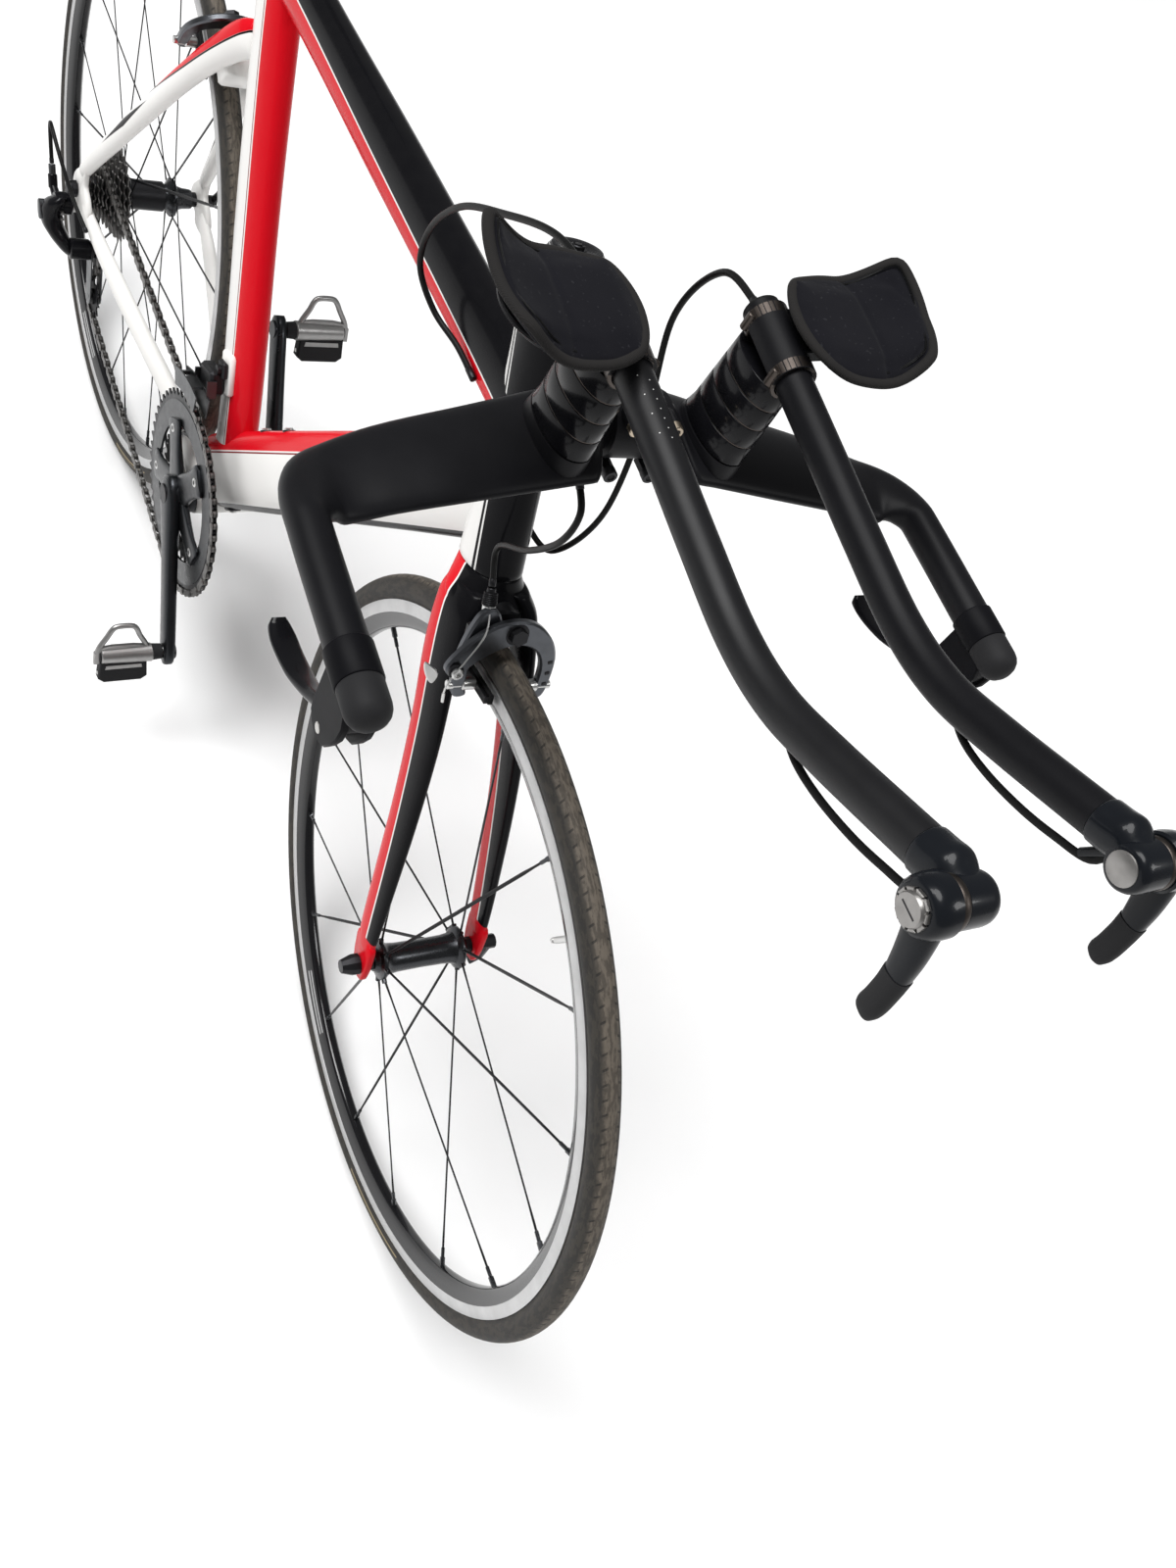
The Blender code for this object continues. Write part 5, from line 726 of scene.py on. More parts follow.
def makeRearWheel():
    place = flatPlace((rearAxle.x, rearAxle.z), 0)
    makeTyreAndRim("rear", place)
    hub = Piece()
    shell = [(0.006, -0.0592), (0.0104, -0.0592), (0.011, -0.0575), (0.0118, -0.048), (0.0134, -0.043),
             (0.0142, -0.0405), (0.0206, -0.0385), (0.0214, -0.0376), (0.0214, -0.0344), (0.0206, -0.0336),
             (0.015, -0.03), (0.0132, -0.026), (0.0128, 0.0), (0.0132, 0.008), (0.016, 0.0125),
             (0.0216, 0.0148),
             (0.0224, 0.0156), (0.0224, 0.0188), (0.0216, 0.0196), (0.0165, 0.0206), (0.015, 0.0214),
             (0.006, 0.0214)]
    hub.turned(shell, Matrix.Identity(4), 48, 1, True)
    for i in range(20):
        angle = math.tau * i / 20
        out = Vector((math.cos(angle), math.sin(angle), 0))
        left = i % 2 == 1
        lead = 1 if (i // 2) % 2 else -1
        at = angle + lead * math.radians(62)
        z = -((0.036 if left else -0.0172) + lead * 0.0012)
        start = Vector((math.cos(at), math.sin(at), 0)) * 0.019 + Vector((0, 0, z))
        hub.rod(start - Vector((0, 0, 0.0014)), start + Vector((0, 0, 0.0014)), 0.0024, 10, 1)
        bladedSpoke(hub, start, out * wheel["spokeEnd"] + Vector((0, 0, -0.0009 if left else 0.0009)),
                    (0, 0, 1))
    valve(hub, math.radians(99))
    hub.done("rear_hub", [spokeBlack, hubBlack, silver], 35, place)


hubBlack = metalFinish("hubBlack", (0.05, 0.052, 0.056), 0.16, 0.3, 0.00001, 0.9)
chainGrey = metalFinish("chainGrey", (0.08, 0.077, 0.072), 0.3, 0.4)
makeFrontWheel()
makeRearWheel()
print("wheels made")


# drivetrain: the chain's loop over four toothed wheels, in the bike's middle plane

drive = {
    "pitch": 0.0127,
    "chainY": -0.0454,
    "wheels": (((0.0, 0.2671), 53, 1), ((-0.36535, 0.2092), 11, 1), ((-0.384, 0.262), 11, -1),
               ((-0.39781, 0.334), 15, 1)),
    "cogs": (11, 12, 13, 14, 15, 17, 19, 21, 23, 25),
    "firstCogY": -0.0612,
    "cogStep": 0.00395,
    "hangerBolt": (-0.407, 0.306),
    "crankLength": 0.1725,
    "crankLean": 39.3,
}


def pitchRadius(teeth):
    return drive["pitch"] / (2 * math.sin(math.pi / teeth))


def chainLoop():
    # pieces of the loop: (start count, length in pitches, kind, wheel, heading)
    wheels, headings, loop, total = drive["wheels"], [], [], 0.0
    for i, (centre, teeth, way) in enumerate(wheels):
        other, number, turn = wheels[(i + 1) % 4]
        gap = Vector(other) - Vector(centre)
        lean = math.asin((pitchRadius(teeth) * way - pitchRadius(number) * turn) / gap.length)
        headings.append(math.atan2(gap.y, gap.x) - lean)
    for i, (centre, teeth, way) in enumerate(wheels):
        swept = ((headings[i - 1] - headings[i]) * way) % math.tau
        loop.append((total, swept * teeth / math.tau, "arc", i, headings[i - 1]))
        total += loop[-1][1]
        run = (leaving((i + 1) % 4, headings[i]) - leaving(i, headings[i])).length / drive["pitch"]
        loop.append((total, run, "line", i, headings[i]))
        total += run
    return loop, total


def leaving(i, heading):
    centre, teeth, way = drive["wheels"][i]
    return Vector(centre) + Vector((-math.sin(heading), math.cos(heading))) * pitchRadius(teeth) * way


def onLoop(loop, total, count):
    count %= total
    start, _, kind, i, heading = [row for row in loop if row[0] <= count + 1e-9][-1]
    if kind == "arc":
        teeth, way = drive["wheels"][i][1:]
        return leaving(i, heading - way * math.tau * (count - start) / teeth)
    return leaving(i, heading) + Vector((math.cos(heading),
                                         math.sin(heading))) * (count - start) * drive["pitch"]


loop, loopLength = chainLoop()
links = 2 * round(loopLength / 2)
rollers = [onLoop(loop, loopLength, k * loopLength / links) for k in range(links)]


def gapAngle(i):
    # where a roller sits on a toothed wheel
    centre = Vector(drive["wheels"][i][0])
    radius = pitchRadius(drive["wheels"][i][1])
    seated = min(rollers, key=lambda p: abs((p - centre).length - radius))
    return math.atan2((seated - centre).y, (seated - centre).x)


def toothLine(teeth, gap):
    # root, flanks and tip of each tooth, as a closed outline
    radius = pitchRadius(teeth)
    spots = []
    for i in range(teeth):
        at = gap + math.tau * i / teeth
        half = math.pi / teeth
        for share, lift in ((-0.3, -0.0036), (0.0, -0.0041), (0.3, -0.0036), (0.62, -0.0004), (0.86, 0.0028),
                            (1.14, 0.0028), (1.38, -0.0004)):
            r = radius + lift
            spots.append((r * math.cos(at + share * half), r * math.sin(at + share * half)))
    return spots


def circleLike(outline, radius):
    return [tuple(Vector(p).normalized() * radius) for p in outline]


def makeRearMech():
    # two knuckles joined by the links' rounded outer shell, a bare face plate and the cable's barrel
    piece = Piece()
    hx, hz = drive["hangerBolt"]
    (gx, gz), inner = drive["wheels"][2][0], -0.0525
    piece.rod((hx, -0.064, hz), (hx, -0.08, hz), 0.0035, 16, 0)
    piece.rod((hx, -0.0723, hz), (hx, -0.0912, hz), 0.0124, 36, 0, 0.0014)
    piece.rod((hx, -0.091, hz), (hx, -0.0945, hz), 0.0052, 24, 1, 0.0006)
    knuckle = [(0.005, 0), (0.011, 0), (0.0118, 0.0008), (0.0118, 0.0222), (0.0108, 0.023), (0, 0.023),
               (0, 0.0122),
               (0.005, 0.0122)]
    piece.turned(knuckle, axisMatrix((gx, inner, gz), -side), 36, 0, True)
    shell = ((hx + 0.003, -0.085, hz + 0.011, 0.008, 0.006), (hx, -0.09, hz + 0.002, 0.0145, 0.01),
             (hx - 0.003, -0.0935, hz - 0.011, 0.017, 0.0118),
             (hx + 0.002, -0.0915, hz - 0.025, 0.0168, 0.012),
             (gx - 0.011, -0.085, gz + 0.008, 0.0145, 0.0112),
             (gx - 0.004, -0.0765, gz - 0.004, 0.0105, 0.0085),
             (gx - 0.001, -0.073, gz - 0.01, 0.005, 0.0045))
    rows = [(Vector((x, y, z)), Vector((0.94, 0, 0.34)), side, a, b) for x, y, z, a, b in shell]
    loftRows(piece, rounded(eased(rows, 5), 0.001), 32, 0.85, 0)
    face = [(Vector((hx - 0.0035, y, hz - 0.013)), Vector((0.8, 0, 0.6)), Vector((-0.6, 0, 0.8)), a, b)
            for y, a, b in ((-0.1, 0.0062, 0.0112), (-0.1058, 0.0062, 0.0112), (-0.1066, 0.0052, 0.0102))]
    piece.skin([ovalRing(c, u, v, a, b, 28, 0.8) for c, u, v, a, b in face], 2)
    middle, top = Vector((-0.433, -0.087, 0.308)), Vector((-0.444, -0.088, 0.329))
    piece.rod((hx - 0.008, -0.085, hz - 0.004), middle, 0.0056, 16, 0, 0.0006, 0.0046)
    piece.rod(middle.lerp(top, -0.1), middle.lerp(top, 0.55), 0.0052, 20, 0, 0.0008)
    piece.rod(middle.lerp(top, 0.5), top, 0.004, 16, 2, 0.0006)
    for lift in (-0.004, 0.004):
        spot = Vector((hx + 0.011, -0.085, hz - 0.006 + lift))
        piece.rod(spot, spot + ahead * 0.006, 0.002, 12, 1, 0.0003)
    piece.done("rear_mech_body", [glossBlack, darkSteel, greyMetal], 40)


def makeChain():
    piece = Piece()
    eight = []
    for end, start in ((1, -90), (0, 90)):
        for k in range(7):
            t = math.radians(start + 180 * k / 6)
            eight.append((end * drive["pitch"] + 0.0041 * math.cos(t), 0.0041 * math.sin(t)))
        eight.append((drive["pitch"] * 0.5, 0.003 * (1 if end else -1)))
    for k, spot in enumerate(rollers):
        ahead = rollers[(k + 1) % len(rollers)] - spot
        heading = math.atan2(ahead.y, ahead.x)
        place = flatPlace(spot, drive["chainY"]) @ Matrix.Rotation(heading, 4, "Z")
        low, high = ((0.00135, 0.0021), (0.0022, 0.003))[k % 2]
        for way in (-1, 1):
            piece.slab(eight, *sorted((low * way, high * way)), place, k % 2, 0.0001)
        piece.turned([(0, -0.0033), (0.0017, -0.0033), (0.0017, 0.0033), (0, 0.0033)], place, 8, 1)
        piece.turned([(0.002, -0.0013), (0.0038, -0.0013), (0.0038, 0.0013), (0.002, 0.0013)], place, 12, 1)
    piece.done("chain", [chainGrey, darkSteel], 40)


def makeCassette():
    piece = Piece()
    centre = drive["wheels"][3][0]
    for i, teeth in enumerate(drive["cogs"]):
        y = drive["firstCogY"] + i * drive["cogStep"]
        gap = gapAngle(3) if teeth == 15 else gapAngle(3) + 0.11 * i
        line = toothLine(teeth, gap)
        inner = 0.0168 if teeth < 19 else pitchRadius(teeth) - 0.0125
        piece.band(line, circleLike(line, inner), -0.0008, 0.0008, flatPlace(centre, y), 0)
        if teeth >= 19:
            for k in range(5):
                at = math.tau * k / 5 + 0.3
                arm = [(0.0165, -0.0042), (inner + 0.0015, -0.003), (inner + 0.0015, 0.003), (0.0165, 0.0042)]
                piece.slab(arm, -0.0006, 0.0006, flatPlace(centre, y) @ Matrix.Rotation(at, 4, "Z"), 1,
                           0.0002)
        piece.turned([(0.016, -0.0012), (0.0192, -0.0012), (0.0192, 0.0012), (0.016, 0.0012)],
                     flatPlace(centre, y + drive["cogStep"] / 2), 32, 1, True)
    piece.turned([(0.0062, -0.0255), (0.0166, -0.0255), (0.0166, 0.0625), (0.015, 0.0632), (0.0062, 0.0632)],
                 flatPlace(centre, 0), 40, 1, True)
    piece.turned([(0.011, 0.062), (0.0158, 0.062), (0.0158, 0.0634), (0.0148, 0.0638), (0.0118, 0.0638),
                  (0.011, 0.0632)],
                 flatPlace(centre, 0), 40, 2, True)
    piece.done("cassette", [darkSteel, blackMetal, steel], 30, bevel=0.0002)


def crankWay(way):
    lean = math.radians(drive["crankLean"])
    return Vector((math.sin(lean), 0, -math.cos(lean))) * -way


def crankArm(piece, way, mark):
    # the arm swells over the axle, waists and ends in a round pedal boss
    along = crankWay(way)
    root = crankAxle + side * way * 0.056
    tip = crankAxle + along * drive["crankLength"] + side * way * 0.0665
    wide = along.cross(side)
    rows = ((-0.115, 0.008, 0.0045), (-0.1, 0.0125, 0.0066), (-0.06, 0.0172, 0.008), (0.0, 0.0192, 0.0086),
            (0.08, 0.0188, 0.0086), (0.18, 0.0165, 0.008), (0.32, 0.0146, 0.0074), (0.6, 0.0138, 0.007),
            (0.85, 0.014, 0.0068), (0.95, 0.0146, 0.0066), (1.02, 0.0138, 0.0064), (1.065, 0.0105, 0.0058),
            (1.085, 0.006, 0.005))
    rings = [ovalRing(root.lerp(tip, s), wide, side, a, b, 28, 0.72) for s, a, b in rows]
    piece.skin(rings, mark)
    boss = crankAxle + along * drive["crankLength"]
    piece.rod(boss + side * way * 0.059, boss + side * way * 0.0728, 0.0098, 28, mark, 0.0008)


def makeCrankRight():
    piece = Piece()
    centre = drive["wheels"][0][0]
    along = crankWay(-1)
    first = math.atan2(along.z, along.x) + math.pi
    bigLine = toothLine(53, gapAngle(0))
    smallLine = toothLine(39, gapAngle(0))
    piece.band(bigLine, circleLike(bigLine, 0.088), -0.001, 0.001, flatPlace(centre, drive["chainY"]), 1)
    piece.band(circleLike(bigLine, 0.0984), circleLike(bigLine, 0.074), -0.0016, 0.0012,
               flatPlace(centre, -0.0456), 0)
    piece.band(smallLine, circleLike(smallLine, 0.0612), -0.001, 0.001, flatPlace(centre, -0.0382), 1)
    for i in range(5):
        at = first + math.tau * i / 5
        place = flatPlace(centre, -0.0478) @ Matrix.Rotation(at, 4, "Z")
        rows = ((0.018, 0.018, 0.0046), (0.03, 0.0165, 0.0044), (0.045, 0.0148, 0.0038),
                (0.06, 0.015, 0.0032),
                (0.07, 0.0175, 0.0029), (0.0765, 0.017, 0.0026), (0.079, 0.012, 0.0022))
        piece.skin([ovalRing((r, 0, 0.0008), (0, 1, 0), (0, 0, 1), a, b, 20, 0.6) for r, a, b in rows], 0,
                   place=place)
        out = Vector((math.cos(at), 0, math.sin(at))) * 0.069
        spot = crankAxle + out
        piece.rod(spot - side * 0.0355, spot - side * 0.052, 0.0049, 20, 2, 0.0006)
        piece.rod(spot - side * 0.0519, spot - side * 0.0522, 0.0026, 6, 3)
    piece.rod(crankAxle - side * 0.0453, crankAxle - side * 0.062, 0.0205, 40, 0, 0.0016, 0.018)
    piece.rod(crankAxle - side * 0.06, crankAxle - side * 0.0652, 0.0112, 32, 1, 0.0008)
    piece.rod(crankAxle - side * 0.044, crankAxle + side * 0.0508, 0.0119, 24, 1)
    crankArm(piece, -1, 0)
    for k in range(6):
        at = first + 0.35 + math.tau * k / 6
        spot = crankAxle + Vector((math.cos(at), 0, math.sin(at))) * 0.095
        piece.rod(spot - side * 0.043, spot - side * 0.0448, 0.0018, 8, 2)
    piece.done("crank_right", [crankGrey, ringGrey, silver, blackMetal], 32, bevel=0.00025)


def makeCrankLeft():
    piece = Piece()
    crankArm(piece, 1, 0)
    piece.rod(crankAxle + side * 0.0453, crankAxle + side * 0.0635, 0.019, 40, 0, 0.002, 0.0175)
    piece.rod(crankAxle + side * 0.063, crankAxle + side * 0.0648, 0.01, 32, 1, 0.0006)
    piece.rod(crankAxle + side * 0.0646, crankAxle + side * 0.065, 0.005, 8, 1)
    clamp = crankAxle + crankWay(1) * 0.021
    for way in (-1, 1):
        spot = clamp + side * (0.0545 + 0.005 * way)
        piece.rod(spot - crankWay(1).cross(side) * 0.0205, spot + crankWay(1).cross(side) * 0.0205, 0.0026,
                  12, 1)
    piece.done("crank_left", [crankGrey, silver], 32, bevel=0.00025)


crankGrey = metalFinish("crankGrey", (0.026, 0.028, 0.031), 0.2, 0.12, 0.00001, 0.85)
ringGrey = metalFinish("ringGrey", (0.03, 0.03, 0.032), 0.3, 0.3)
makeChain()
makeCassette()
makeCrankRight()
makeCrankLeft()
print("drivetrain made")


# cockpit, drawn with the bars straight ahead and turned with the steering

cockpit = {
    "barEndY": 0.2154,
    "hornRadius": 0.012,
    "hornTipX": 0.655,
    "hornHeight": 0.866,
    "wingCentre": (0.4955, 0.8835),
    "wingHalfChord": (0.041, 0.029),
    "wingHalfThick": 0.009,
    "clampRadius": 0.0159,
    "extensionRadius": 0.0111,
    "extensionY": 0.0545,
    "slope": -0.0886,
    "rear": (0.487, 0.9693),
    "tip": (0.853, 1.002),
    "clampX": (0.4925, 0.5415),
    "drum": (0.88, 1.007),
    "shiftY": 0.0655,
    "leverPivot": (0.658, 0.822),
    "leverTip": (0.566, 0.7855),
    "padCentre": (0.519, 0.097, 0.983),
    "housing": 0.0023,
}


def eased(rows, fine=4):
    # more rows between the given ones without overshoot; a row is (point, u, v, half u, half v)
    flat = [[*Vector(p), *Vector(u), *Vector(v), a, b] for p, u, v, a, b in rows]
    reach = [0.0]
    for a, b in zip(flat, flat[1:]):
        reach.append(reach[-1] + max(0.0005, math.dist(a[:3], b[:3])))
    slopes = []
    for i in range(len(flat)):
        slopes.append([])
        for k in range(11):
            near = [(flat[j + 1][k] - flat[j][k]) / (reach[j + 1] - reach[j])
                    for j in (i - 1, i) if 0 <= j < len(flat) - 1]
            if len(near) == 1:
                slopes[i].append(near[0])
            else:
                a, b = near
                slopes[i].append(2 * a * b / (a + b) if a * b > 0 else 0.0)
    out = []
    for i in range(len(flat) - 1):
        gap = reach[i + 1] - reach[i]
        for step in range(fine):
            t = step / fine
            out.append([a * (1 + 2 * t) * (1 - t) ** 2 + ma * gap * t * (1 - t) ** 2 + b * t * t * (3 - 2 * t)
                        + mb * gap * t * t * (t - 1)
                        for a, b, ma, mb in zip(flat[i], flat[i + 1], slopes[i], slopes[i + 1])])
    out.append(flat[-1])
    return [(Vector(r[:3]), Vector(r[3:6]).normalized(), Vector(r[6:9]).normalized(), r[9],
             r[10]) for r in out]


def rounded(rows, depth=0.002):
    # the same rows with both ends drawn in to a soft edge
    def end(row, inner):
        point, u, v, a, b = row
        out = (point - inner[0]).normalized()
        return [(point - out * depth * (1 - math.sin(t)), u, v, a - depth * (1 - math.cos(t)),
                 b - depth * (1 - math.cos(t)))
                for t in (0.3, 0.7, 1.1, 1.5)]
    return end(rows[0], rows[1])[::-1] + rows[1:-1] + end(rows[-1], rows[-2])


def loftRows(piece, rows, count=28, power=1.0, mark=0):
    piece.skin([ovalRing(p, u, v, a, b, count, power) for p, u, v, a, b in rows], mark)


def wingRow(y):
    share = min(abs(y) / 0.2, 1.0)
    chord = cockpit["wingHalfChord"]
    point = Vector((cockpit["wingCentre"][0] + 0.0275 * share, y, cockpit["wingCentre"][1] - 0.0265 * share))
    return point, ahead, up, chord[0] + (chord[1] - chord[0]) * share, cockpit["wingHalfThick"]


def makeBaseBar():
    horn, endY, height = cockpit["hornRadius"], cockpit["barEndY"], cockpit["hornHeight"]
    half = [(Vector((x, endY, height)), -side, up, horn, horn) for x in (cockpit["hornTipX"] - 0.015, 0.6)]
    bendRadius = 0.028
    bend = Vector((0.5635, endY - bendRadius, height))
    for degrees, grow in ((8, 0.0), (35, 0.22), (62, 0.6), (85, 0.92)):
        at = math.radians(degrees)
        flat = Vector((math.sin(at), -math.cos(at), 0))
        wide = horn + (cockpit["wingHalfChord"][1] - horn) * grow
        point = bend - flat * (bendRadius + (wide - horn) * 0.7)
        point.z = height - 0.009 * grow
        half.append((point, flat, up, wide, horn + (cockpit["wingHalfThick"] - horn) * grow))
    half += [wingRow(y) for y in (0.16, 0.1, 0.05, 0.036)]
    middle = Vector((cockpit["wingCentre"][0], 0, cockpit["wingCentre"][1]))
    half += [(middle + side * y, ahead, up, cockpit["clampRadius"],
              cockpit["clampRadius"]) for y in (0.0245, 0.0)]
    mirror = Vector((1, -1, 1))
    rows = half + [(p * mirror, u * mirror, v, a, b) for p, u, v, a, b in reversed(half[:-1])]
    piece = Piece()
    loftRows(piece, eased(rows, 5), 32, 0.95)
    piece.done("base_bar", satinBlack, 50, steerMatrix)


def extensionHeight(x):
    return cockpit["rear"][1] + cockpit["slope"] * (x - cockpit["rear"][0])


def extensionLine(way):
    line = [(x, extensionHeight(x)) for x in (cockpit["rear"][0], 0.545, 0.6, 0.65)]
    line += [(0.705, 0.9515), (0.748, 0.957), (0.79, 0.9733), cockpit["tip"]]
    return [Vector((x, way * cockpit["extensionY"], z)) for x, z in line]


def makeExtension(way, word):
    piece = Piece()
    line = flowing(extensionLine(way), 84)
    piece.tube(line, cockpit["extensionRadius"], 32, 0, flatAxis=(0, 1, 0))
    along = (line[0] - line[1]).normalized()
    piece.rod(line[0] - along * 0.001, line[0] + along * 0.0012, cockpit["extensionRadius"] + 0.0001, 28, 1,
              0.0006)
    finish = markedBlack if way < 0 else satinBlack
    piece.done("extension_" + word, [finish, blackRubber], 50, steerMatrix)


def markBuild(board):
    # satin black with two rows of small pale setting dots
    place = placeOf(board)
    x, y, z = split(place)
    cloud = grain(place, 45, 4.0)
    colour = blendColour(cloud * 0.5, (0.005, 0.005, 0.006), (0.009, 0.009, 0.01))
    dots = None
    for row, pitch, first, last in ((-0.0545, 0.0062, 0.556, 0.596), (-0.06, 0.0124, 0.552, 0.592)):
        step = x.calc("PINGPONG", x - first, pitch / 2)
        far = (step * step + (y - row) ** 2) ** 0.5
        spot = (1 - above(far, 0.0003, 0.00012)) * between(x, first - 0.001, last) * above(z, 0.955, 0.001)
        dots = spot if dots is None else either(dots, spot)
    return {"Base Color": blendColour(dots, colour, (0.75, 0.75, 0.74)), "Roughness": cloud * 0.12 + 0.38,
            "height": (grain(place, 1400, 1.0), 0.00003)}


def padPlace(way):
    # local X forward along the pad, Y outboard, and Z up on the left or down on the right
    x, y, z = cockpit["padCentre"]
    along = Vector((1, 0, cockpit["slope"] * 0.8)).normalized()
    return axes(Vector((x, way * y, z)), along, side * way)


def makeSupport(way, word):
    # flared foot on the wing, stacked spacers, cradle, two bands and the pad's plate
    piece = Piece()
    y = way * cockpit["extensionY"]
    rear, front = [Vector((x, y, extensionHeight(x))) for x in cockpit["clampX"]]
    sizes = ((0.874, 0.505, 0.033, 0.0185), (0.9, 0.509, 0.029, 0.016), (0.952, 0.514, 0.027, 0.015))

    def sized(z):
        low, high = (sizes[0], sizes[1]) if z < sizes[1][0] else (sizes[1], sizes[2])
        t = (z - low[0]) / (high[0] - low[0])
        x, a, b = [low[k] + (high[k] - low[k]) * t for k in (1, 2, 3)]
        return Vector((x, y, z)), ahead, side, a, b

    foot = [sized(z) for z in (0.874, 0.88, 0.886, 0.892)]
    loftRows(piece, foot, 36, 0.9, 0)
    low, count = 0.8925, 4
    tall = (0.9555 - low) / count
    for i in range(count):
        z = low + tall * i
        base, top = sized(z + 0.0003), sized(z + tall - 0.0003)
        loftRows(piece, rounded([base, sized(z + tall / 2), top], 0.0007), 36, 0.9, 1)
        if i:
            flat = sized(z)
            thin = [(flat[0] + up * h, ahead, side, flat[3] - 0.00045,
                     flat[4] - 0.00045) for h in (-0.0004, 0.0004)]
            loftRows(piece, thin, 36, 0.9, 3)
    along = (front - rear).normalized()
    lift = along.cross(side) * -1
    outer, inner = cockpit["extensionRadius"] + 0.003, cockpit["extensionRadius"] + 0.0003
    cradle = []
    for p in (rear, front):
        ring = [p + side * (outer * math.cos(t)) + lift * (outer * math.sin(t))
                for t in [math.radians(170 + 200 * k / 16) for k in range(17)]]
        ring += [p + side * (inner * math.cos(t)) + lift * (inner * math.sin(t))
                 for t in [math.radians(370 - 200 * k / 16) for k in range(17)]]
        cradle.append(ring)
    piece.skin(cradle, 0)
    for a, b in ((rear, rear + along * 0.0085), (front - along * 0.0085, front)):
        length = (b - a).length
        band = [(inner, 0.0004), (inner + 0.0004, 0), (outer - 0.0006, 0), (outer, 0.0006),
                (outer, length - 0.0006),
                (outer - 0.0006, length), (inner + 0.0004, length), (inner, length - 0.0004)]
        piece.turned(band, axisMatrix(a, along), 40, 3, True)
        ear = a.lerp(b, 0.5) - side * way * (outer - 0.001)
        piece.rod(ear + lift * 0.006, ear - lift * 0.006, 0.003, 16, 3, 0.0006)
        piece.rod(ear + lift * 0.0058, ear + lift * 0.0064, 0.0016, 6, 2)
    place = padPlace(way)
    cup = place @ Matrix.Translation((-0.004, 0.004, 0.0))
    disc = [(0.031 * math.cos(math.tau * k / 40), 0.03 * math.sin(math.tau * k / 40)) for k in range(40)]
    piece.slab(disc, -0.0032 * way if way > 0 else 0.0, 0.0 if way > 0 else 0.0032, cup, 0, 0.0008)
    bracket = [(-0.017, -0.014), (0.017, -0.014), (0.013, 0.022), (-0.013, 0.022)]
    middle = -0.0075 * way
    piece.slab(bracket, middle - 0.0045, middle + 0.0045, place @ Matrix.Translation((-0.004, -0.026, 0)), 0,
               0.001)
    piece.done("support_" + word, [satinBlack, glossBlack, silver, bandMetal], 35, steerMatrix, 0.0003)


def makeBarEnd(way, word):
    piece = Piece()
    y = way * cockpit["barEndY"]
    start = Vector((cockpit["hornTipX"] - 0.0147, y, cockpit["hornHeight"]))
    place = axisMatrix(start, ahead)
    piece.turned([(0, 0), (0.0128, 0), (0.0134, 0.0006), (0.0134, 0.0218), (0.0129, 0.0226), (0, 0.0226)],
                 place, 40, 0)
    cap = [(0, 0.0226), (0.0124, 0.0226), (0.0127, 0.0232), (0.0127, 0.037), (0.0122, 0.0402),
           (0.0108, 0.0432),
           (0.0085, 0.0456), (0.0055, 0.0472), (0.0024, 0.048), (0, 0.048)]
    piece.turned(cap, place, 40, 1)
    px, pz = cockpit["leverPivot"]
    shape = [(0.674, 0.862), (0.679, 0.85), (0.678, 0.839), (0.674, 0.829), (0.669, 0.82), (0.664, 0.8165),
             (px, pz - 0.0075), (0.65, 0.816), (0.644, 0.8205), (0.6425, 0.829), (0.6425, 0.84),
             (0.643, 0.862)]
    flat = flatPlace((0, 0), y)
    for low, high in ((-0.01, -0.0051), (0.0051, 0.01)):
        piece.slab(shape, low, high, flat, 0, 0.0011)
    filler = [(0.673, 0.861), (0.677, 0.85), (0.675, 0.841), (0.67, 0.835), (0.6445, 0.8345), (0.6445, 0.861)]
    piece.slab(filler, -0.006, 0.006, flat, 0, 0.0)
    for k in (-1, 1):
        piece.rod((px, y + k * 0.0085, pz), (px, y + k * 0.0104, pz), 0.0034, 20, 2, 0.0005)
    piece.rod((px, y - 0.0098, pz), (px, y + 0.0098, pz), 0.0021, 12, 2)
    piece.done("bar_end_" + word, [perchBlack, capBlack, steel], 35, steerMatrix, 0.0004)


def leverRows(stations, y):
    # stations are ((x, z), half depth, half width), in one upright plane
    rows = []
    for i, ((x, z), deep, wide) in enumerate(stations):
        before, after = stations[max(i - 1, 0)][0], stations[min(i + 1, len(stations) - 1)][0]
        run = Vector((after[0] - before[0], 0, after[1] - before[1])).normalized()
        rows.append((Vector((x, y, z)), run.cross(side), side, deep, wide))
    return rows


def makeBrakeLever(way, word):
    piece = Piece()
    y = way * cockpit["barEndY"]
    px, pz = cockpit["leverPivot"]
    tx, tz = cockpit["leverTip"]
    piece.rod((px, y - 0.0046, pz), (px, y + 0.0046, pz), 0.0056, 28, 0, 0.0006)
    stations = [((px, pz), 0.0045, 0.0044), ((px - 0.018, pz - 0.0075), 0.0042, 0.0046),
                ((px - 0.036, pz - 0.019), 0.0036, 0.0062), ((px - 0.058, pz - 0.0295), 0.0032, 0.0078),
                ((tx + 0.012, tz + 0.0015), 0.003, 0.008), ((tx, tz + 0.0005), 0.0036, 0.0066),
                ((tx - 0.004, tz + 0.0035), 0.0022, 0.004)]
    loftRows(piece, eased(leverRows(stations, y), 6), 24, 0.85)
    piece.done("brake_lever_" + word, glossBlack, 40, steerMatrix)


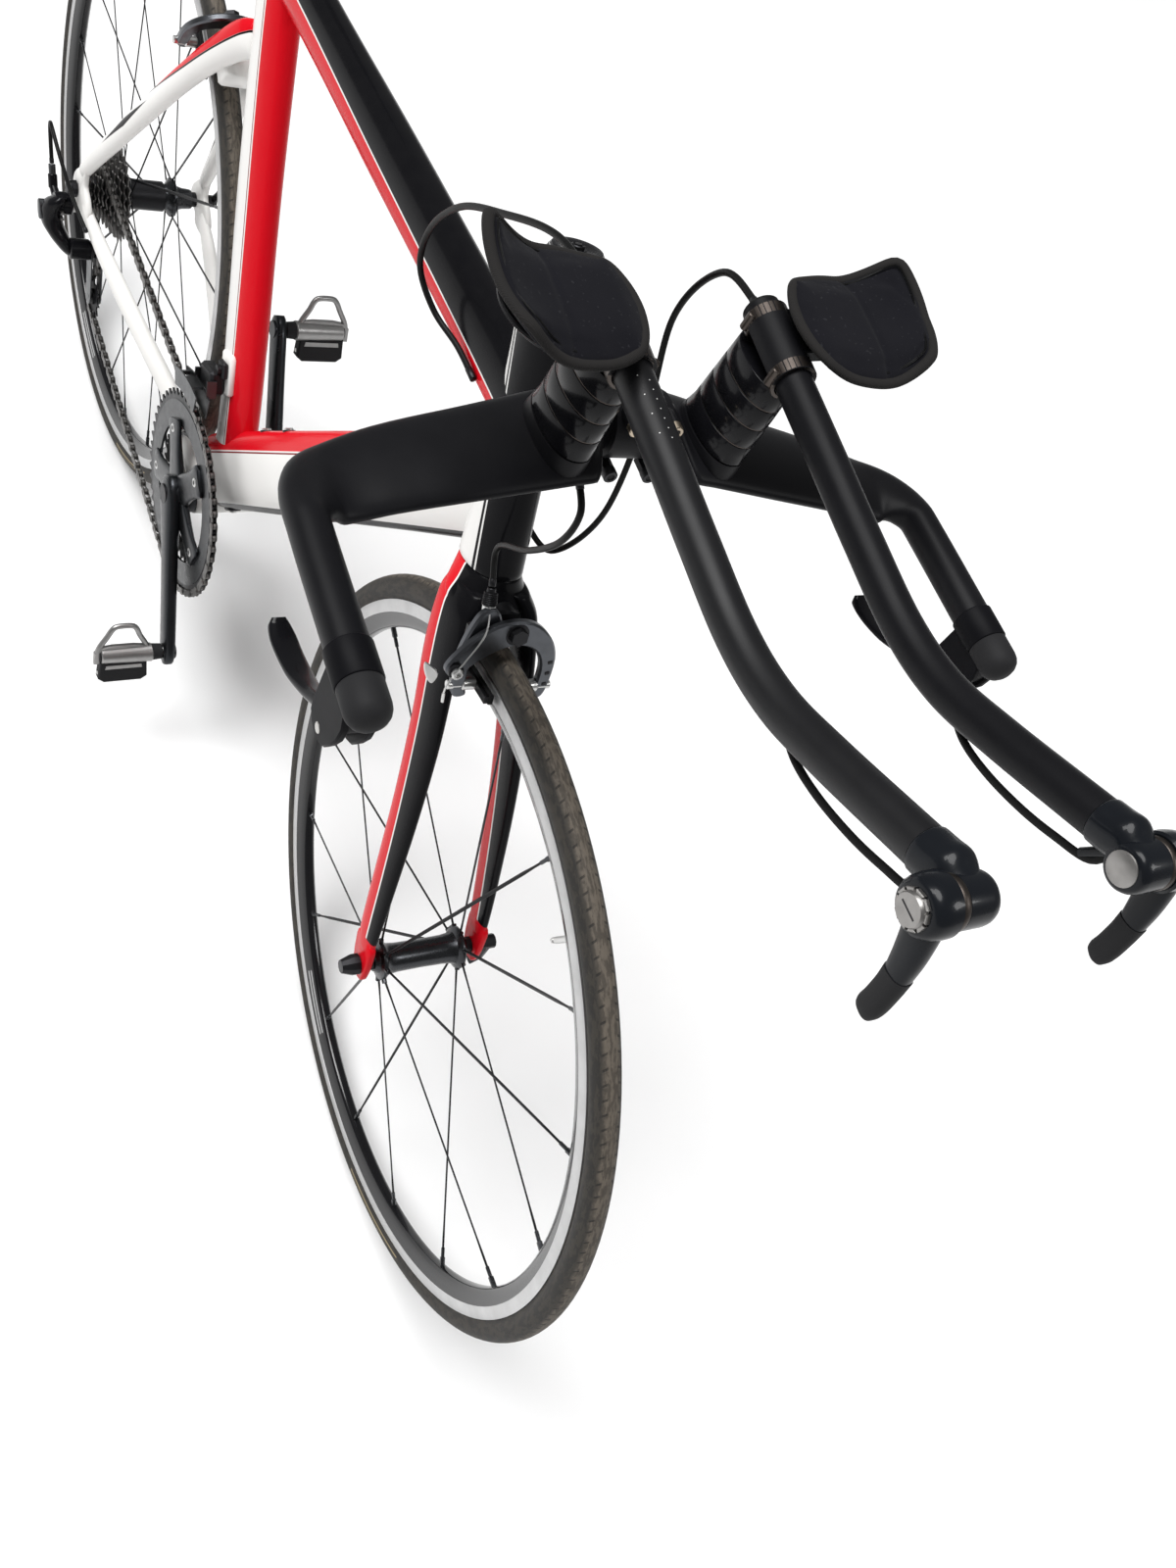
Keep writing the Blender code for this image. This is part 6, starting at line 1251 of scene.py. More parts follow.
def makeShifter(way, word):
    # hood in the extension's tip, cross barrel, silver parts, and the housing below
    piece = Piece()
    tip = Vector((cockpit["tip"][0], way * cockpit["extensionY"], cockpit["tip"][1]))
    along = (tip - extensionLine(way)[-2]).normalized()
    cx, cz = cockpit["drum"]
    centre = Vector((cx, tip.y, cz))
    rise = along.cross(side)
    rows = [(tip + along * 0.0003, rise, side, 0.0112, 0.0112),
            (tip + along * 0.0012, rise, side, 0.0118, 0.0118),
            (tip + along * 0.009, rise, side, 0.012, 0.0118),
            (tip + along * 0.018, rise, side, 0.0122, 0.0112),
            (centre, rise, side, 0.0124, 0.0104), (centre + along * 0.006, rise, side, 0.0108, 0.0098),
            (centre + along * 0.01, rise, side, 0.0072, 0.008),
            (centre + along * 0.0118, rise, side, 0.003, 0.004)]
    loftRows(piece, eased(rows, 4), 36, 0.95, 0)
    inner = centre - side * way * 0.0105
    face = Vector((cx, way * cockpit["shiftY"], cz))
    place = axisMatrix(inner, side * way)
    deep = (face - inner).length
    barrel = [(0, -0.0008), (0.0098, -0.0008), (0.0112, 0.0002), (0.0121, 0.0022), (0.0125, 0.005),
              (0.0125, deep - 0.0042),
              (0.0119, deep - 0.0038), (0, deep - 0.0038)]
    piece.turned(barrel, place, 44, 0)
    piece.turned([(0.0085, deep - 0.004), (0.0124, deep - 0.004), (0.0128, deep - 0.0034),
                  (0.0128, deep - 0.0008),
                  (0.0122, deep), (0.0085, deep)], place, 44, 1, True)
    piece.turned([(0, -0.0018), (0.008, -0.0018), (0.0086, -0.0013), (0.0086, 0.0004), (0, 0.0004)], place,
                 36, 2)
    route = [tip + along * 0.014 - rise * 0.008, (0.865, tip.y, 0.985), (0.846, tip.y, 0.9735),
             (0.825, tip.y, 0.9635),
             (0.8, tip.y, 0.955), (0.778, tip.y, 0.9515), (0.76, tip.y, 0.955)]
    piece.tube(flowing(route, 40), 0.0021, 14, 3, flatAxis=(0, 1, 0))
    piece.rod(route[0], Vector(route[1]).lerp(Vector(route[2]), 0.3), 0.003, 16, 0, 0.0008, 0.0026)
    piece.done("shifter_pod_" + word, [hoodBlack, bandMetal, wornSilver if way > 0 else hoodBlack,
                                       blackRubber], 40, steerMatrix)


def makeShiftLever(way, word):
    piece = Piece()
    cx, cz = cockpit["drum"]
    low = cockpit["shiftY"] + 0.0003
    high = cockpit["shiftY"] + 0.015
    place = axisMatrix((cx, way * low, cz), side * way)
    drum = [(0, 0), (0.0132, 0), (0.0144, 0.0012), (0.0145, 0.006), (0.0138, 0.011), (0.0122, 0.0138),
            (0.0104, 0.0147),
            (0, 0.0147)]
    piece.turned(drum, place, 48, 0)
    if way < 0:
        for k in range(10):
            at = math.tau * k / 10
            wedge = [(r * math.cos(at + s), r * math.sin(at + s)) for r,
                     s in ((0.007, -0.2), (0.0096, -0.25), (0.0096, 0.25),
                                                                             (0.007, 0.2))]
            piece.slab(wedge, 0.014, 0.0168, place, 1, 0.0004)
        piece.turned([(0, 0.014), (0.0082, 0.014), (0.008, 0.0172), (0.0072, 0.0182), (0, 0.0182)], place, 36,
                     1)
        slot = [(-0.005, -0.0004), (0.005, -0.0004), (0.005, 0.0004), (-0.005, 0.0004)]
        piece.slab(slot, 0.01815, 0.01832, place, 2)
    else:
        piece.turned([(0, 0.014), (0.0092, 0.014), (0.0098, 0.015), (0.0098, 0.0172), (0.009, 0.018),
                      (0, 0.018)], place, 36,
                     0)
        piece.rod(Vector((cx, way * (high + 0.0027), cz)), Vector((cx, way * (high + 0.0034), cz)), 0.0042, 6,
                  1)
    y = way * (low + high) / 2
    upper = [((cx + 0.004, cz - 0.004), 0.0095, 0.0062), ((cx + 0.0115, cz - 0.022), 0.0078, 0.0056),
            ((cx + 0.015, cz - 0.033), 0.0066, 0.0052)]
    lower = [((cx + 0.0148, cz - 0.0325), 0.0071, 0.0057), ((cx + 0.017, cz - 0.043), 0.0068, 0.0054),
             ((cx + 0.0185, cz - 0.056), 0.0068, 0.0048), ((cx + 0.0185, cz - 0.0615), 0.0056, 0.0038),
             ((cx + 0.0183, cz - 0.0636), 0.003, 0.0022)]
    for part, mark in ((upper, 0), (lower, 3)):
        loftRows(piece, eased(leverRows(part, y), 5), 28, 0.8, mark)
    piece.done("shift_lever_" + word, [hoodBlack, wornSilver, blackMetal, capBlack], 38, steerMatrix)


def makeTopCap():
    piece = Piece()
    place = axisMatrix(steerPoint(0.612), steerUp)
    cap = [(0, 0.0052), (0.006, 0.0052), (0.0064, 0.0046), (0.012, 0.0052), (0.0158, 0.0058),
           (0.0172, 0.0054)]
    piece.turned(cap + [(0.0176, 0.0044), (0.0178, 0.003), (0, 0.003)], place, 48, 0)
    piece.turned([(0, 0.0003), (0.0188, 0.0003), (0.0192, 0.0008), (0.0192, 0.0026), (0.0188, 0.0031),
                  (0, 0.0031)], place, 48, 0)
    piece.turned([(0.0175, 0.003), (0.0183, 0.003), (0.0184, 0.0036), (0.018, 0.0042), (0.0175, 0.004)],
                 place, 48, 1, True)
    piece.turned([(0, 0.008), (0.0022, 0.008), (0.0024, 0.0068), (0.004, 0.0076), (0.0046, 0.007),
                  (0.0046, 0.005),
                  (0, 0.005)], place, 24, 2)
    piece.done("top_cap", [glossBlack, silver, blackMetal], 35, steerMatrix)


def makeStemBolts():
    piece = Piece()
    wing = Vector((cockpit["wingCentre"][0], 0, cockpit["wingCentre"][1]))
    for way in (-1, 1):
        for lift in (-1, 1):
            head = wing + Vector((0.0215, way * 0.014, lift * 0.0195))
            piece.turned([(0.0024, 0.005), (0.0027, 0.0056), (0.0042, 0.0056), (0.0047, 0.005), (0.0047, 0),
                          (0.0024, 0)],
                         axisMatrix(head, ahead), 24, 0 if lift > 0 else 1, True)
            piece.rod(head, head + ahead * 0.0022, 0.0026, 12, 1)
    piece.done("stem_bolts", [brass, blackMetal], 35, steerMatrix, extra=("steering", "metal_black"))


def makeHousing(name, route, far=None, place=None):
    # a black housing with metal end caps; with far, it is attached to no body and its place is baked in
    piece = Piece()
    line = [place @ p if place else p for p in flowing(route, 110)]
    thick = cockpit["housing"]
    piece.tube(line, thick, 14)
    for a, b in ((line[0], line[3]), (line[-1], line[-4])):
        piece.rod(a, b, thick + 0.0004, 14, 1, 0.0003)
    made = piece.done(name, [housingBlack, blackMetal], 60, rides=not far)
    if far:
        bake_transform(made)


def neopreneBuild(board):
    place = placeOf(board)
    knit = grain(place, 1500, 2.0)
    cloud = grain(place, 38, 5.0, 0.6)
    lint = above(grain(place, 420, 2.0, 0.4), 0.7, 0.03)
    colour = blendColour(cloud * 0.7, (0.004, 0.004, 0.006), (0.01, 0.01, 0.013))
    colour = blendColour(lint * 0.25, colour, (0.05, 0.05, 0.055))
    return {"Base Color": colour, "Roughness": cloud * 0.06 + 0.9, "height": (knit + cloud * 0.4, 0.00012)}


def bindingBuild(board):
    place = placeOf(board)
    x, y, z = split(place)
    cloud = grain(place, 60, 4.0)
    ribs = x.calc("SINE", (x + y) * 5200)
    colour = blendColour(cloud * 0.6, (0.007, 0.0065, 0.0065), (0.018, 0.016, 0.015))
    return {"Base Color": colour, "Roughness": cloud * 0.1 + 0.82,
            "height": (ribs + grain(place, 900) * 2, 0.00006)}


satinBlack = plasticFinish("satinBlack", (0.005, 0.005, 0.006), 0.36)
markedBlack = finishOf("markedBlack", markBuild, Specular_IOR_Level=0.25)
capBlack = plasticFinish("capBlack", (0.014, 0.014, 0.015), 0.55, 0.00006)
perchBlack = plasticFinish("perchBlack", (0.004, 0.004, 0.005), 0.4, 0.00002, shine=0.05)
hoodBlack = plasticFinish("hoodBlack", (0.005, 0.006, 0.008), 0.22, 0.00001, coat=0.16)
housingBlack = plasticFinish("housingBlack", (0.005, 0.005, 0.005), 0.35, 0.00002)
bandMetal = metalFinish("bandMetal", (0.085, 0.072, 0.064), 0.3, 0.5)
brass = metalFinish("brass", (0.52, 0.44, 0.34), 0.25, 0.3)
neoprene = finishOf("neoprene", neopreneBuild, Sheen_Weight=0.04, Sheen_Roughness=0.5, Specular_IOR_Level=0.1)
binding = finishOf("binding", bindingBuild, Specular_IOR_Level=0.3)

makeBaseBar()
makeTopCap()
makeStemBolts()
for way, word in ((-1, "right"), (1, "left")):
    makeExtension(way, word)
    makeSupport(way, word)
    makeBarEnd(way, word)
    makeBrakeLever(way, word)
    makeShifter(way, word)
    makeShiftLever(way, word)
print("cockpit made")


# frame and fork, as smooth tubes that run into each other

tubes = {
    "top": (0.0265, 0.0185),
    "down": (0.0405, 0.0175),
    "seat": (0.034, 0.0165),
    "head": (0.03, 0.0215),
    "headSpan": (0.38, 0.56),
    "seatLine": ((0.014, 0.285), (-0.01, 0.375), (-0.046, 0.47), (-0.08, 0.552), (-0.113, 0.64),
                 (-0.14, 0.7215),
                 (-0.166, 0.8)),
    "bottles": (0.235, 0.33),
    "dropoutY": 0.0683,
    "dropout": 0.006,
}


def tubeRows(stations):
    # (point, half depth, half width); the depth lies in the bike's middle plane
    rows = []
    for i, (point, deep, wide) in enumerate(stations):
        along = (stations[min(i + 1, len(stations) - 1)][0] - stations[max(i - 1, 0)][0]).normalized()
        flat = (side - along * side.dot(along)).normalized()
        rows.append((point, along.cross(flat), flat, deep, wide))
    return rows


def boxy(piece, centre, size, x, y, mark=0, edge=0.001, place=None):
    x = Vector(x).normalized()
    y = (Vector(y) - x * Vector(y).dot(x)).normalized()
    at = axes(Vector(centre), x, y)
    a, b, c = [v / 2 for v in size]
    cut = min(a, b) * 0.25
    line = [(a, -b + cut), (a, b - cut), (a - cut, b), (-a + cut, b), (-a, b - cut), (-a, -b + cut),
            (-a + cut, -b),
            (a - cut, -b)]
    piece.slab(line, -c, c, place @ at if place else at, mark, edge)


def curvedLine(points, fine=4):
    # a closed smooth line through the given corners
    pts = [Vector(p) for p in points]
    out = []
    for i in range(len(pts)):
        a, b, c, d = pts[i - 1], pts[i], pts[(i + 1) % len(pts)], pts[(i + 2) % len(pts)]
        for k in range(fine):
            t = k / fine
            out.append(0.5 * (2 * b + (c - a) * t + (2 * a - 5 * b + 4 * c - d) * t * t
                              + (3 * b - a - 3 * c + d) * t ** 3))
    return out


def makeMainTubes():
    deep, wide = tubes["head"]
    low, high = tubes["headSpan"]
    rows = []
    for lift, share in ((low, 1.0), (low + 0.03, 0.95), ((low + high) / 2, 0.87), (high - 0.03, 0.92),
                        (high, 0.97)):
        rows.append((steerPoint(lift, -0.006), steerForward, side, deep * share, wide * share))
    piece = Piece()
    loftRows(piece, rounded(eased(rows, 6), 0.0012), 44, 0.9)
    for lift in (low + 0.0006, high - 0.0052):
        ring = [(steerPoint(lift + h, -0.006), steerForward, side, deep * s, wide * s) for h,
                s in ((0, 0.975), (0.0046, 0.985))]
        loftRows(piece, rounded(ring, 0.0006), 44, 0.9, 1)
    piece.done("head_tube", [painted["head_tube"], glossBlack], 50)

    deep, wide = tubes["top"]
    start, end = topTubeEnds[0] - ahead * 0.004, topTubeEnds[1]
    stations = [(start.lerp(end, t), deep * a, wide * b) for t, a, b in (
        (0, 1.04, 1.08), (0.15, 1.0, 1.0), (0.5, 0.98, 0.97), (0.85, 0.92, 0.86), (1, 0.94, 0.86))]
    piece = Piece()
    loftRows(piece, eased(tubeRows(stations), 6), 44, 0.85)
    piece.done("top_tube", painted["top_tube"], 50)

    deep, wide = tubes["down"]
    foot, head = downTubeEnds
    stations = [(foot.lerp(head, t), deep * a, wide * b) for t, a, b in (
        (-0.035, 0.8, 1.25), (0.03, 0.98, 1.5), (0.12, 1.0, 1.08), (0.35, 1.0, 0.98), (0.75, 0.98, 0.96),
        (0.93, 0.99, 1.02), (1.0, 0.97, 1.06))]
    piece = Piece()
    loftRows(piece, rounded(eased(tubeRows(stations), 6), 0.004), 44, 0.85)
    piece.rod(crankAxle - side * 0.034, crankAxle + side * 0.034, 0.0215, 44, 3, 0.001)
    for way in (-1, 1):
        piece.rod(crankAxle + side * way * 0.032, crankAxle + side * way * 0.045, 0.0203, 40, 2, 0.0012)
    along = (head - foot).normalized()
    rise = Vector((-along.z, 0, along.x))
    for share in tubes["bottles"]:
        spot = foot.lerp(head, share) + rise * deep * 0.985
        piece.rod(spot - rise * 0.004, spot + rise * 0.0012, 0.0062, 24, 2, 0.0004)
        piece.turned([(0, -0.001), (0.0043, -0.001), (0.0045, 0.0024), (0.0036, 0.0032), (0.0024, 0.0032),
                      (0.0022, 0.0016),
                      (0, 0.0016)], axisMatrix(spot, rise), 24, 1)
    port = foot.lerp(head, 0.055) - rise * deep * 0.93
    boxy(piece, port, (0.02, 0.013, 0.01), along, side, 2, 0.0015)
    piece.turned([(0, 0), (0.0036, 0), (0.0036, 0.002), (0.0018, 0.0026), (0, 0.002)],
                 axisMatrix(port - rise * 0.0045, -rise),
                 20, 1)
    piece.done("down_tube", [painted["down_tube"], silver, blackMetal, paintWhite], 50)

    deep, wide = tubes["seat"]
    stations = [(Vector((x, 0, z)), deep * a, wide) for (x, z),
                a in zip(tubes["seatLine"], (0.92, 1, 1, 1, 1, 0.95, 0.9))]
    piece = Piece()
    loftRows(piece, rounded(eased(tubeRows(stations), 6), 0.0015), 44, 0.85)
    boxy(piece, (-0.022, -0.0175, 0.42), (0.026, 0.042, 0.006), (0.93, 0, 0.37), (-0.37, 0, 0.93), 1, 0.001)
    spot = Vector((-0.0235, -0.0192, 0.406))
    piece.rod(spot, spot - side * 0.0034, 0.0042, 20, 2, 0.0006)
    top = Vector((-0.166, 0, 0.8))
    lean = Vector((-0.026, 0, 0.0785)).normalized()
    collar = [(top + lean * h, lean.cross(side), side, deep * 0.93 + g, wide + g) for h,
              g in ((-0.012, 0.0012), (0.0006, 0.0012))]
    loftRows(piece, rounded(collar, 0.0008), 44, 0.85, 3)
    piece.done("seat_tube", [painted["seat_tube"], paintWhite, silver, glossBlack], 50)


def makeStays():
    line = ((-0.01, 0.0245, 0.276), (-0.06, 0.026, 0.285), (-0.115, 0.03, 0.2945), (-0.17, 0.039, 0.3025),
            (-0.245, 0.052, 0.313), (-0.33, 0.064, 0.325), (-0.372, 0.068, 0.331))
    sizes = ((0.017, 0.0105), (0.0155, 0.0088), (0.014, 0.0085), (0.013, 0.0088), (0.0125, 0.0085),
             (0.011, 0.0068),
             (0.0095, 0.0045))
    dropout = ((-0.352, 0.318), (-0.348, 0.336), (-0.362, 0.349), (-0.376, 0.356), (-0.376, 0.38),
               (-0.3865, 0.378),
               (-0.3995, 0.362), (-0.413, 0.346), (-0.416, 0.332), (-0.411, 0.316), (-0.403, 0.3215),
               (-0.3925, 0.3215), (-0.385, 0.312), (-0.368, 0.312))
    hanger = ((-0.416, 0.332), (-0.413, 0.318), (-0.415, 0.306), (-0.411, 0.299), (-0.403, 0.2985),
              (-0.3985, 0.304),
              (-0.4015, 0.3215), (-0.406, 0.33))
    half = tubes["dropout"] / 2
    for way, word in ((-1, "right"), (1, "left")):
        piece = Piece()
        stations = [(Vector((x, y * way, z)), a, b) for (x, y, z), (a, b) in zip(line, sizes)]
        loftRows(piece, rounded(eased(tubeRows(stations), 5), 0.003), 30, 0.95)
        flat = flatPlace((0, 0), way * tubes["dropoutY"])
        piece.slab(curvedLine(dropout, 3), -half, half, flat, 0, 0.001)
        if way < 0:
            piece.slab(curvedLine(hanger, 3), -half - 0.0005, half + 0.0005, flat, 0, 0.0008)
        piece.done("chain_stay_" + word, painted["chain_stay_right"], 50)
    line = ((-0.3895, 0.0683, 0.364), (-0.37, 0.064, 0.396), (-0.335, 0.055, 0.45), (-0.289, 0.0425, 0.522),
            (-0.244, 0.0305, 0.59), (-0.202, 0.0215, 0.645), (-0.168, 0.0115, 0.6835),
            (-0.156, 0.007, 0.6905))
    sizes = ((0.0085, 0.006), (0.01, 0.0068), (0.011, 0.0075), (0.012, 0.008), (0.013, 0.0082),
             (0.015, 0.009),
             (0.0172, 0.0096), (0.0168, 0.0078))
    piece = Piece()
    for way in (-1, 1):
        stations = [(Vector((x, y * way, z)), a, b) for (x, y, z), (a, b) in zip(line, sizes)]
        loftRows(piece, rounded(eased(tubeRows(stations), 5), 0.003), 30, 0.95)
    bridge = rearAxle + stayAlong * 0.364 + stayAlong.cross(side) * 0.006
    boxy(piece, bridge, (0.026, 0.04, 0.03), stayAlong, side, 0, 0.002)
    piece.done("seat_stays", painted["seat_stays"], 50)


def makeFork():
    low = 0.3797
    crown = [(steerPoint(lift, forward), steerForward, side, deep, wide) for lift, forward, deep, wide in (
        (low, -0.006, 0.029, 0.0205), (0.368, -0.004, 0.0285, 0.026), (0.356, 0.001, 0.027, 0.033),
        (0.346, 0.004, 0.024, 0.034))]
    stations = ((0.368, 0.002, 0.015, 0.025, 0.011), (0.35, 0.006, 0.0255, 0.0265, 0.0095),
                (0.31, 0.013, 0.0325, 0.026, 0.0078), (0.25, 0.026, 0.0372, 0.024, 0.0068),
                (0.18, 0.035, 0.0425, 0.021, 0.0062), (0.1, 0.04, 0.0482, 0.018, 0.0056),
                (0.04, 0.0425, 0.0522, 0.0155, 0.0045), (0.018, 0.043, 0.0533, 0.0135, 0.0035))
    tip = ((-0.013, 0.032), (-0.015, 0.014), (-0.012, -0.004), (-0.0075, -0.013), (0.0075, -0.013),
           (0.0125, -0.003),
           (0.015, 0.014), (0.013, 0.032))
    piece = Piece()
    loftRows(piece, rounded(eased(crown, 6), 0.0012), 44, 0.85)
    for way in (-1, 1):
        rows = [(steerPoint(lift, forward, y * way), steerForward, side, deep, wide) for lift, forward, y,
                deep, wide in stations]
        loftRows(piece, rounded(eased(rows, 6), 0.002), 32, 0.85)
        at = axes(frontAxle + side * way * 0.0533, steerForward, steerUp)
        piece.slab(curvedLine(tip, 4), -0.003, 0.003, at, 0, 0.001)
    piece.rod(steerPoint(0.366), steerPoint(0.608), 0.0143, 32, 1)
    piece.done("fork", [painted["fork"], blackMetal], 50, steerMatrix)


paintWhite = lacquered("paintWhite", chainStayScheme)
makeMainTubes()
makeStays()
makeFork()
makeRearMech()
print("frame and fork made")


# rim brakes

caliper = {
    "side": ((-0.015, 0.372), (-0.0095, 0.356), (-0.019, 0.34), (-0.0265, 0.326), (-0.0275, 0.308),
             (-0.025, 0.298), (-0.0335, 0.2965), (-0.0385, 0.306), (-0.0395, 0.332), (-0.035, 0.355),
             (-0.027, 0.372)),
    "centre": ((0.012, 0.366), (0.03, 0.352), (0.039, 0.332), (0.0385, 0.305), (0.034, 0.296),
               (0.0255, 0.2975), (0.0275, 0.308), (0.0268, 0.328), (0.018, 0.342), (0.0, 0.3462),
               (-0.02, 0.338), (-0.04, 0.322), (-0.048, 0.3235), (-0.0495, 0.333), (-0.033, 0.354),
               (-0.012, 0.3665)),
    "thick": 0.007,
    "padRadius": 0.3068,
    "padFace": 0.012,
}


def brakePlane(front):
    if front:
        return axes(frontAxle, side, steerUp), -0.001
    return axes(rearAxle, -side, stayAlong), 0.038


def adjusterEnds(start):
    return Vector((-0.021, 0.364, start + 0.0015)), Vector((-0.02, 0.386, start - 0.0045))


def makeBrakeArm(front, word):
    plane, start = brakePlane(front)
    centreArm = word == "centre"
    sign = 1 if centreArm else -1
    thick = caliper["thick"]
    middle = start + thick / 2 + (thick + 0.0003 if centreArm else 0)
    piece = Piece()
    piece.slab(curvedLine(caliper[word], 4), middle - thick / 2, middle + thick / 2, plane, 0, 0.0016)
    depth = 0.0 if front else 0.04
    radial = math.sqrt(caliper["padRadius"] ** 2 - depth ** 2)
    spot = Vector((sign * (caliper["padFace"] + 0.0038), radial, depth))
    run = Vector((0, -depth, radial)).normalized()
    holder = axes(spot, run, ahead)
    boxy(piece, (0, sign * 0.0016, 0), (0.048, 0.004, 0.0076), (1, 0, 0), (0, 1, 0), 2, 0.0008,
         plane @ holder)
    boxy(piece, (0, -sign * 0.0017, 0), (0.05, 0.004, 0.0086), (1, 0, 0), (0, 1, 0), 3, 0.0008,
         plane @ holder)
    reach = math.sqrt(caliper["padRadius"] ** 2 - middle ** 2) if not front else caliper["padRadius"]
    piece.rod(plane @ Vector((sign * 0.018, reach, middle)), plane @ Vector((sign * 0.03, reach, middle)),
              0.005, 24, 1, 0.001)
    piece.rod(plane @ Vector((sign * 0.03, reach, middle)), plane @ Vector((sign * 0.0412, reach, middle)),
              0.0036, 16, 1, 0.0006)
    face = middle + thick / 2
    if centreArm:
        piece.rod(plane @ Vector((0, 0.357, face - 0.001)), plane @ Vector((0, 0.357, face + 0.0006)), 0.0092,
                  32, 2, 0.0003)
        clamp = Vector((-0.0435, 0.3282, face))
        piece.rod(plane @ clamp, plane @ (clamp + Vector((0, 0, 0.0032))), 0.006, 28, 2, 0.0006)
        piece.turned([(0, 0.003), (0.0044, 0.003), (0.0046, 0.0056), (0.0036, 0.0066), (0.0024, 0.0066),
                      (0.0022, 0.0046),
                      (0, 0.0046)], plane @ Matrix.Translation(clamp), 20, 1)
        lever = [(-0.001, 0.004), (0.006, 0.006), (0.016, 0.0046), (0.02, 0.002), (0.016, 0.0),
                 (0.005, -0.003)]
        piece.slab(curvedLine(lever, 3), 0.0004, 0.0026,
                   plane @ Matrix.Translation(clamp + Vector((-0.014, -0.006, 0))) @
                   Matrix.Rotation(2.1, 4, "Z"), 1, 0.0006)
        wire = [(-0.0203, 0.38, start - 0.002), (-0.026, 0.36, start + 0.014), (-0.039, 0.338, face + 0.0036),
                (-0.045, 0.328, face + 0.0036), (-0.05, 0.315, face + 0.004), (-0.049, 0.302, face + 0.003)]
        line = [plane @ p for p in flowing(wire, 30)]
        piece.tube(line, 0.0007, 8, 1)
        piece.rod(line[-4], line[-1], 0.0012, 10, 1, 0.0003)
        for height in (0.31, 0.32, 0.33):
            boxy(piece, (0.0345, height, face), (0.004, 0.003, 0.0012), (1, 0.2, 0), (0, 1, 0), 2, 0.0004,
                 plane)
    else:
        low, high = adjusterEnds(start)
        piece.rod(plane @ low, plane @ low.lerp(high, 0.45), 0.005, 24, 1, 0.0008)
        for k in range(7):
            a, b = low.lerp(high, 0.45 + k * 0.06), low.lerp(high, 0.45 + k * 0.06 + 0.04)
            piece.rod(plane @ a, plane @ b, 0.0058 - 0.0001 * k, 14, 2, 0.0004)
        piece.rod(plane @ low.lerp(high, 0.4), plane @ high, 0.0044, 20, 2, 0.0005, 0.0032)
        piece.rod(plane @ Vector((-0.0265, 0.35, face)), plane @ Vector((-0.0265, 0.35, face + 0.0002)),
                  0.005, 24, 1, 0.0001)
    name = ("front" if front else "rear") + "_brake_arm_" + word
    piece.done(name, [gunMetal, silver, blackMetal, blackRubber], 35, steerMatrix if front else None, 0.0004)


gunMetal = metalFinish("gunMetal", (0.105, 0.11, 0.12), 0.22, 0.35)
for front in (True, False):
    for word in ("centre", "side"):
        makeBrakeArm(front, word)
print("brakes made")


# pedals

def makePedal(way, word):
    piece = Piece()
    centre = crankAxle + crankWay(way) * drive["crankLength"]
    out = side * way
    front = Vector((-0.3, 0, 0.954)).normalized()
    base = 0.0733
    piece.rod(centre + out * 0.062, centre + out * (base + 0.001), 0.0066, 20, 2)
    piece.rod(centre + out * base, centre + out * (base + 0.0125), 0.0085, 28, 1, 0.0008, 0.0095)
    piece.rod(centre + out * (base + 0.011), centre + out * (base + 0.066), 0.0105, 28, 0, 0.001, 0.009)
    piece.rod(centre + out * (base + 0.0655), centre + out * (base + 0.0678), 0.007, 20, 1, 0.0008)
    plane = axes(centre + out * (base + 0.042), out, front)
    bow = [(-0.027, 0.002), (-0.0245, 0.011), (-0.017, 0.024), (-0.013, 0.033), (-0.0075, 0.037),
           (0.0075, 0.037),
           (0.013, 0.033), (0.018, 0.024), (0.0255, 0.011), (0.028, 0.002)]
    piece.tube([plane @ p for p in flowing([(x, y, 0) for x, y in bow], 40)], 0.003, 14)
    deck = [(-0.03, -0.01), (-0.03, 0.005), (-0.024, 0.011), (-0.011, 0.0128), (0.012, 0.0128),
            (0.0245, 0.011),
            (0.031, 0.005), (0.031, -0.01)]
    piece.slab(deck, -0.003, 0.003, plane, 0, 0.001)
    rear = [(-0.025, -0.006), (-0.0265, -0.028), (-0.02, -0.033), (0.02, -0.033), (0.0265, -0.028),
            (0.025, -0.006)]
    piece.slab(rear, -0.0065, 0.0065, plane, 1, 0.0016)
    for low, high in ((-0.0068, -0.0058), (0.0058, 0.0068)):
        lip = [(-0.019, -0.01), (-0.02, -0.015), (0.02, -0.015), (0.019, -0.01)]
        piece.slab(lip, low, high, plane, 0, 0.0003)
    piece.rod(plane @ Vector((-0.0268, -0.0225, 0)), plane @ Vector((0.0268, -0.0225, 0)), 0.0022, 16, 2)
    piece.rod(plane @ Vector((0, -0.0328, 0)), plane @ Vector((0, -0.0338, 0)), 0.0026, 16, 2)
    piece.done("pedal_" + word, [pedalGrey, capBlack, silver], 35, bevel=0.0004)


pedalGrey = metalFinish("pedalGrey", (0.36, 0.355, 0.35), 0.3, 0.45)
makePedal(-1, "right")
makePedal(1, "left")
print("pedals made")


# arm pads and saddle: a smooth closed form, swelled as cloth under a little pressure

cushions = {"padLength": 0.082, "padWidth": 0.09, "padThickness": 0.011, "padVoxel": 0.003,
            "padReach": 0.0012,
            "saddleVoxel": 0.005, "saddleReach": 0.0035, "steps": 20}


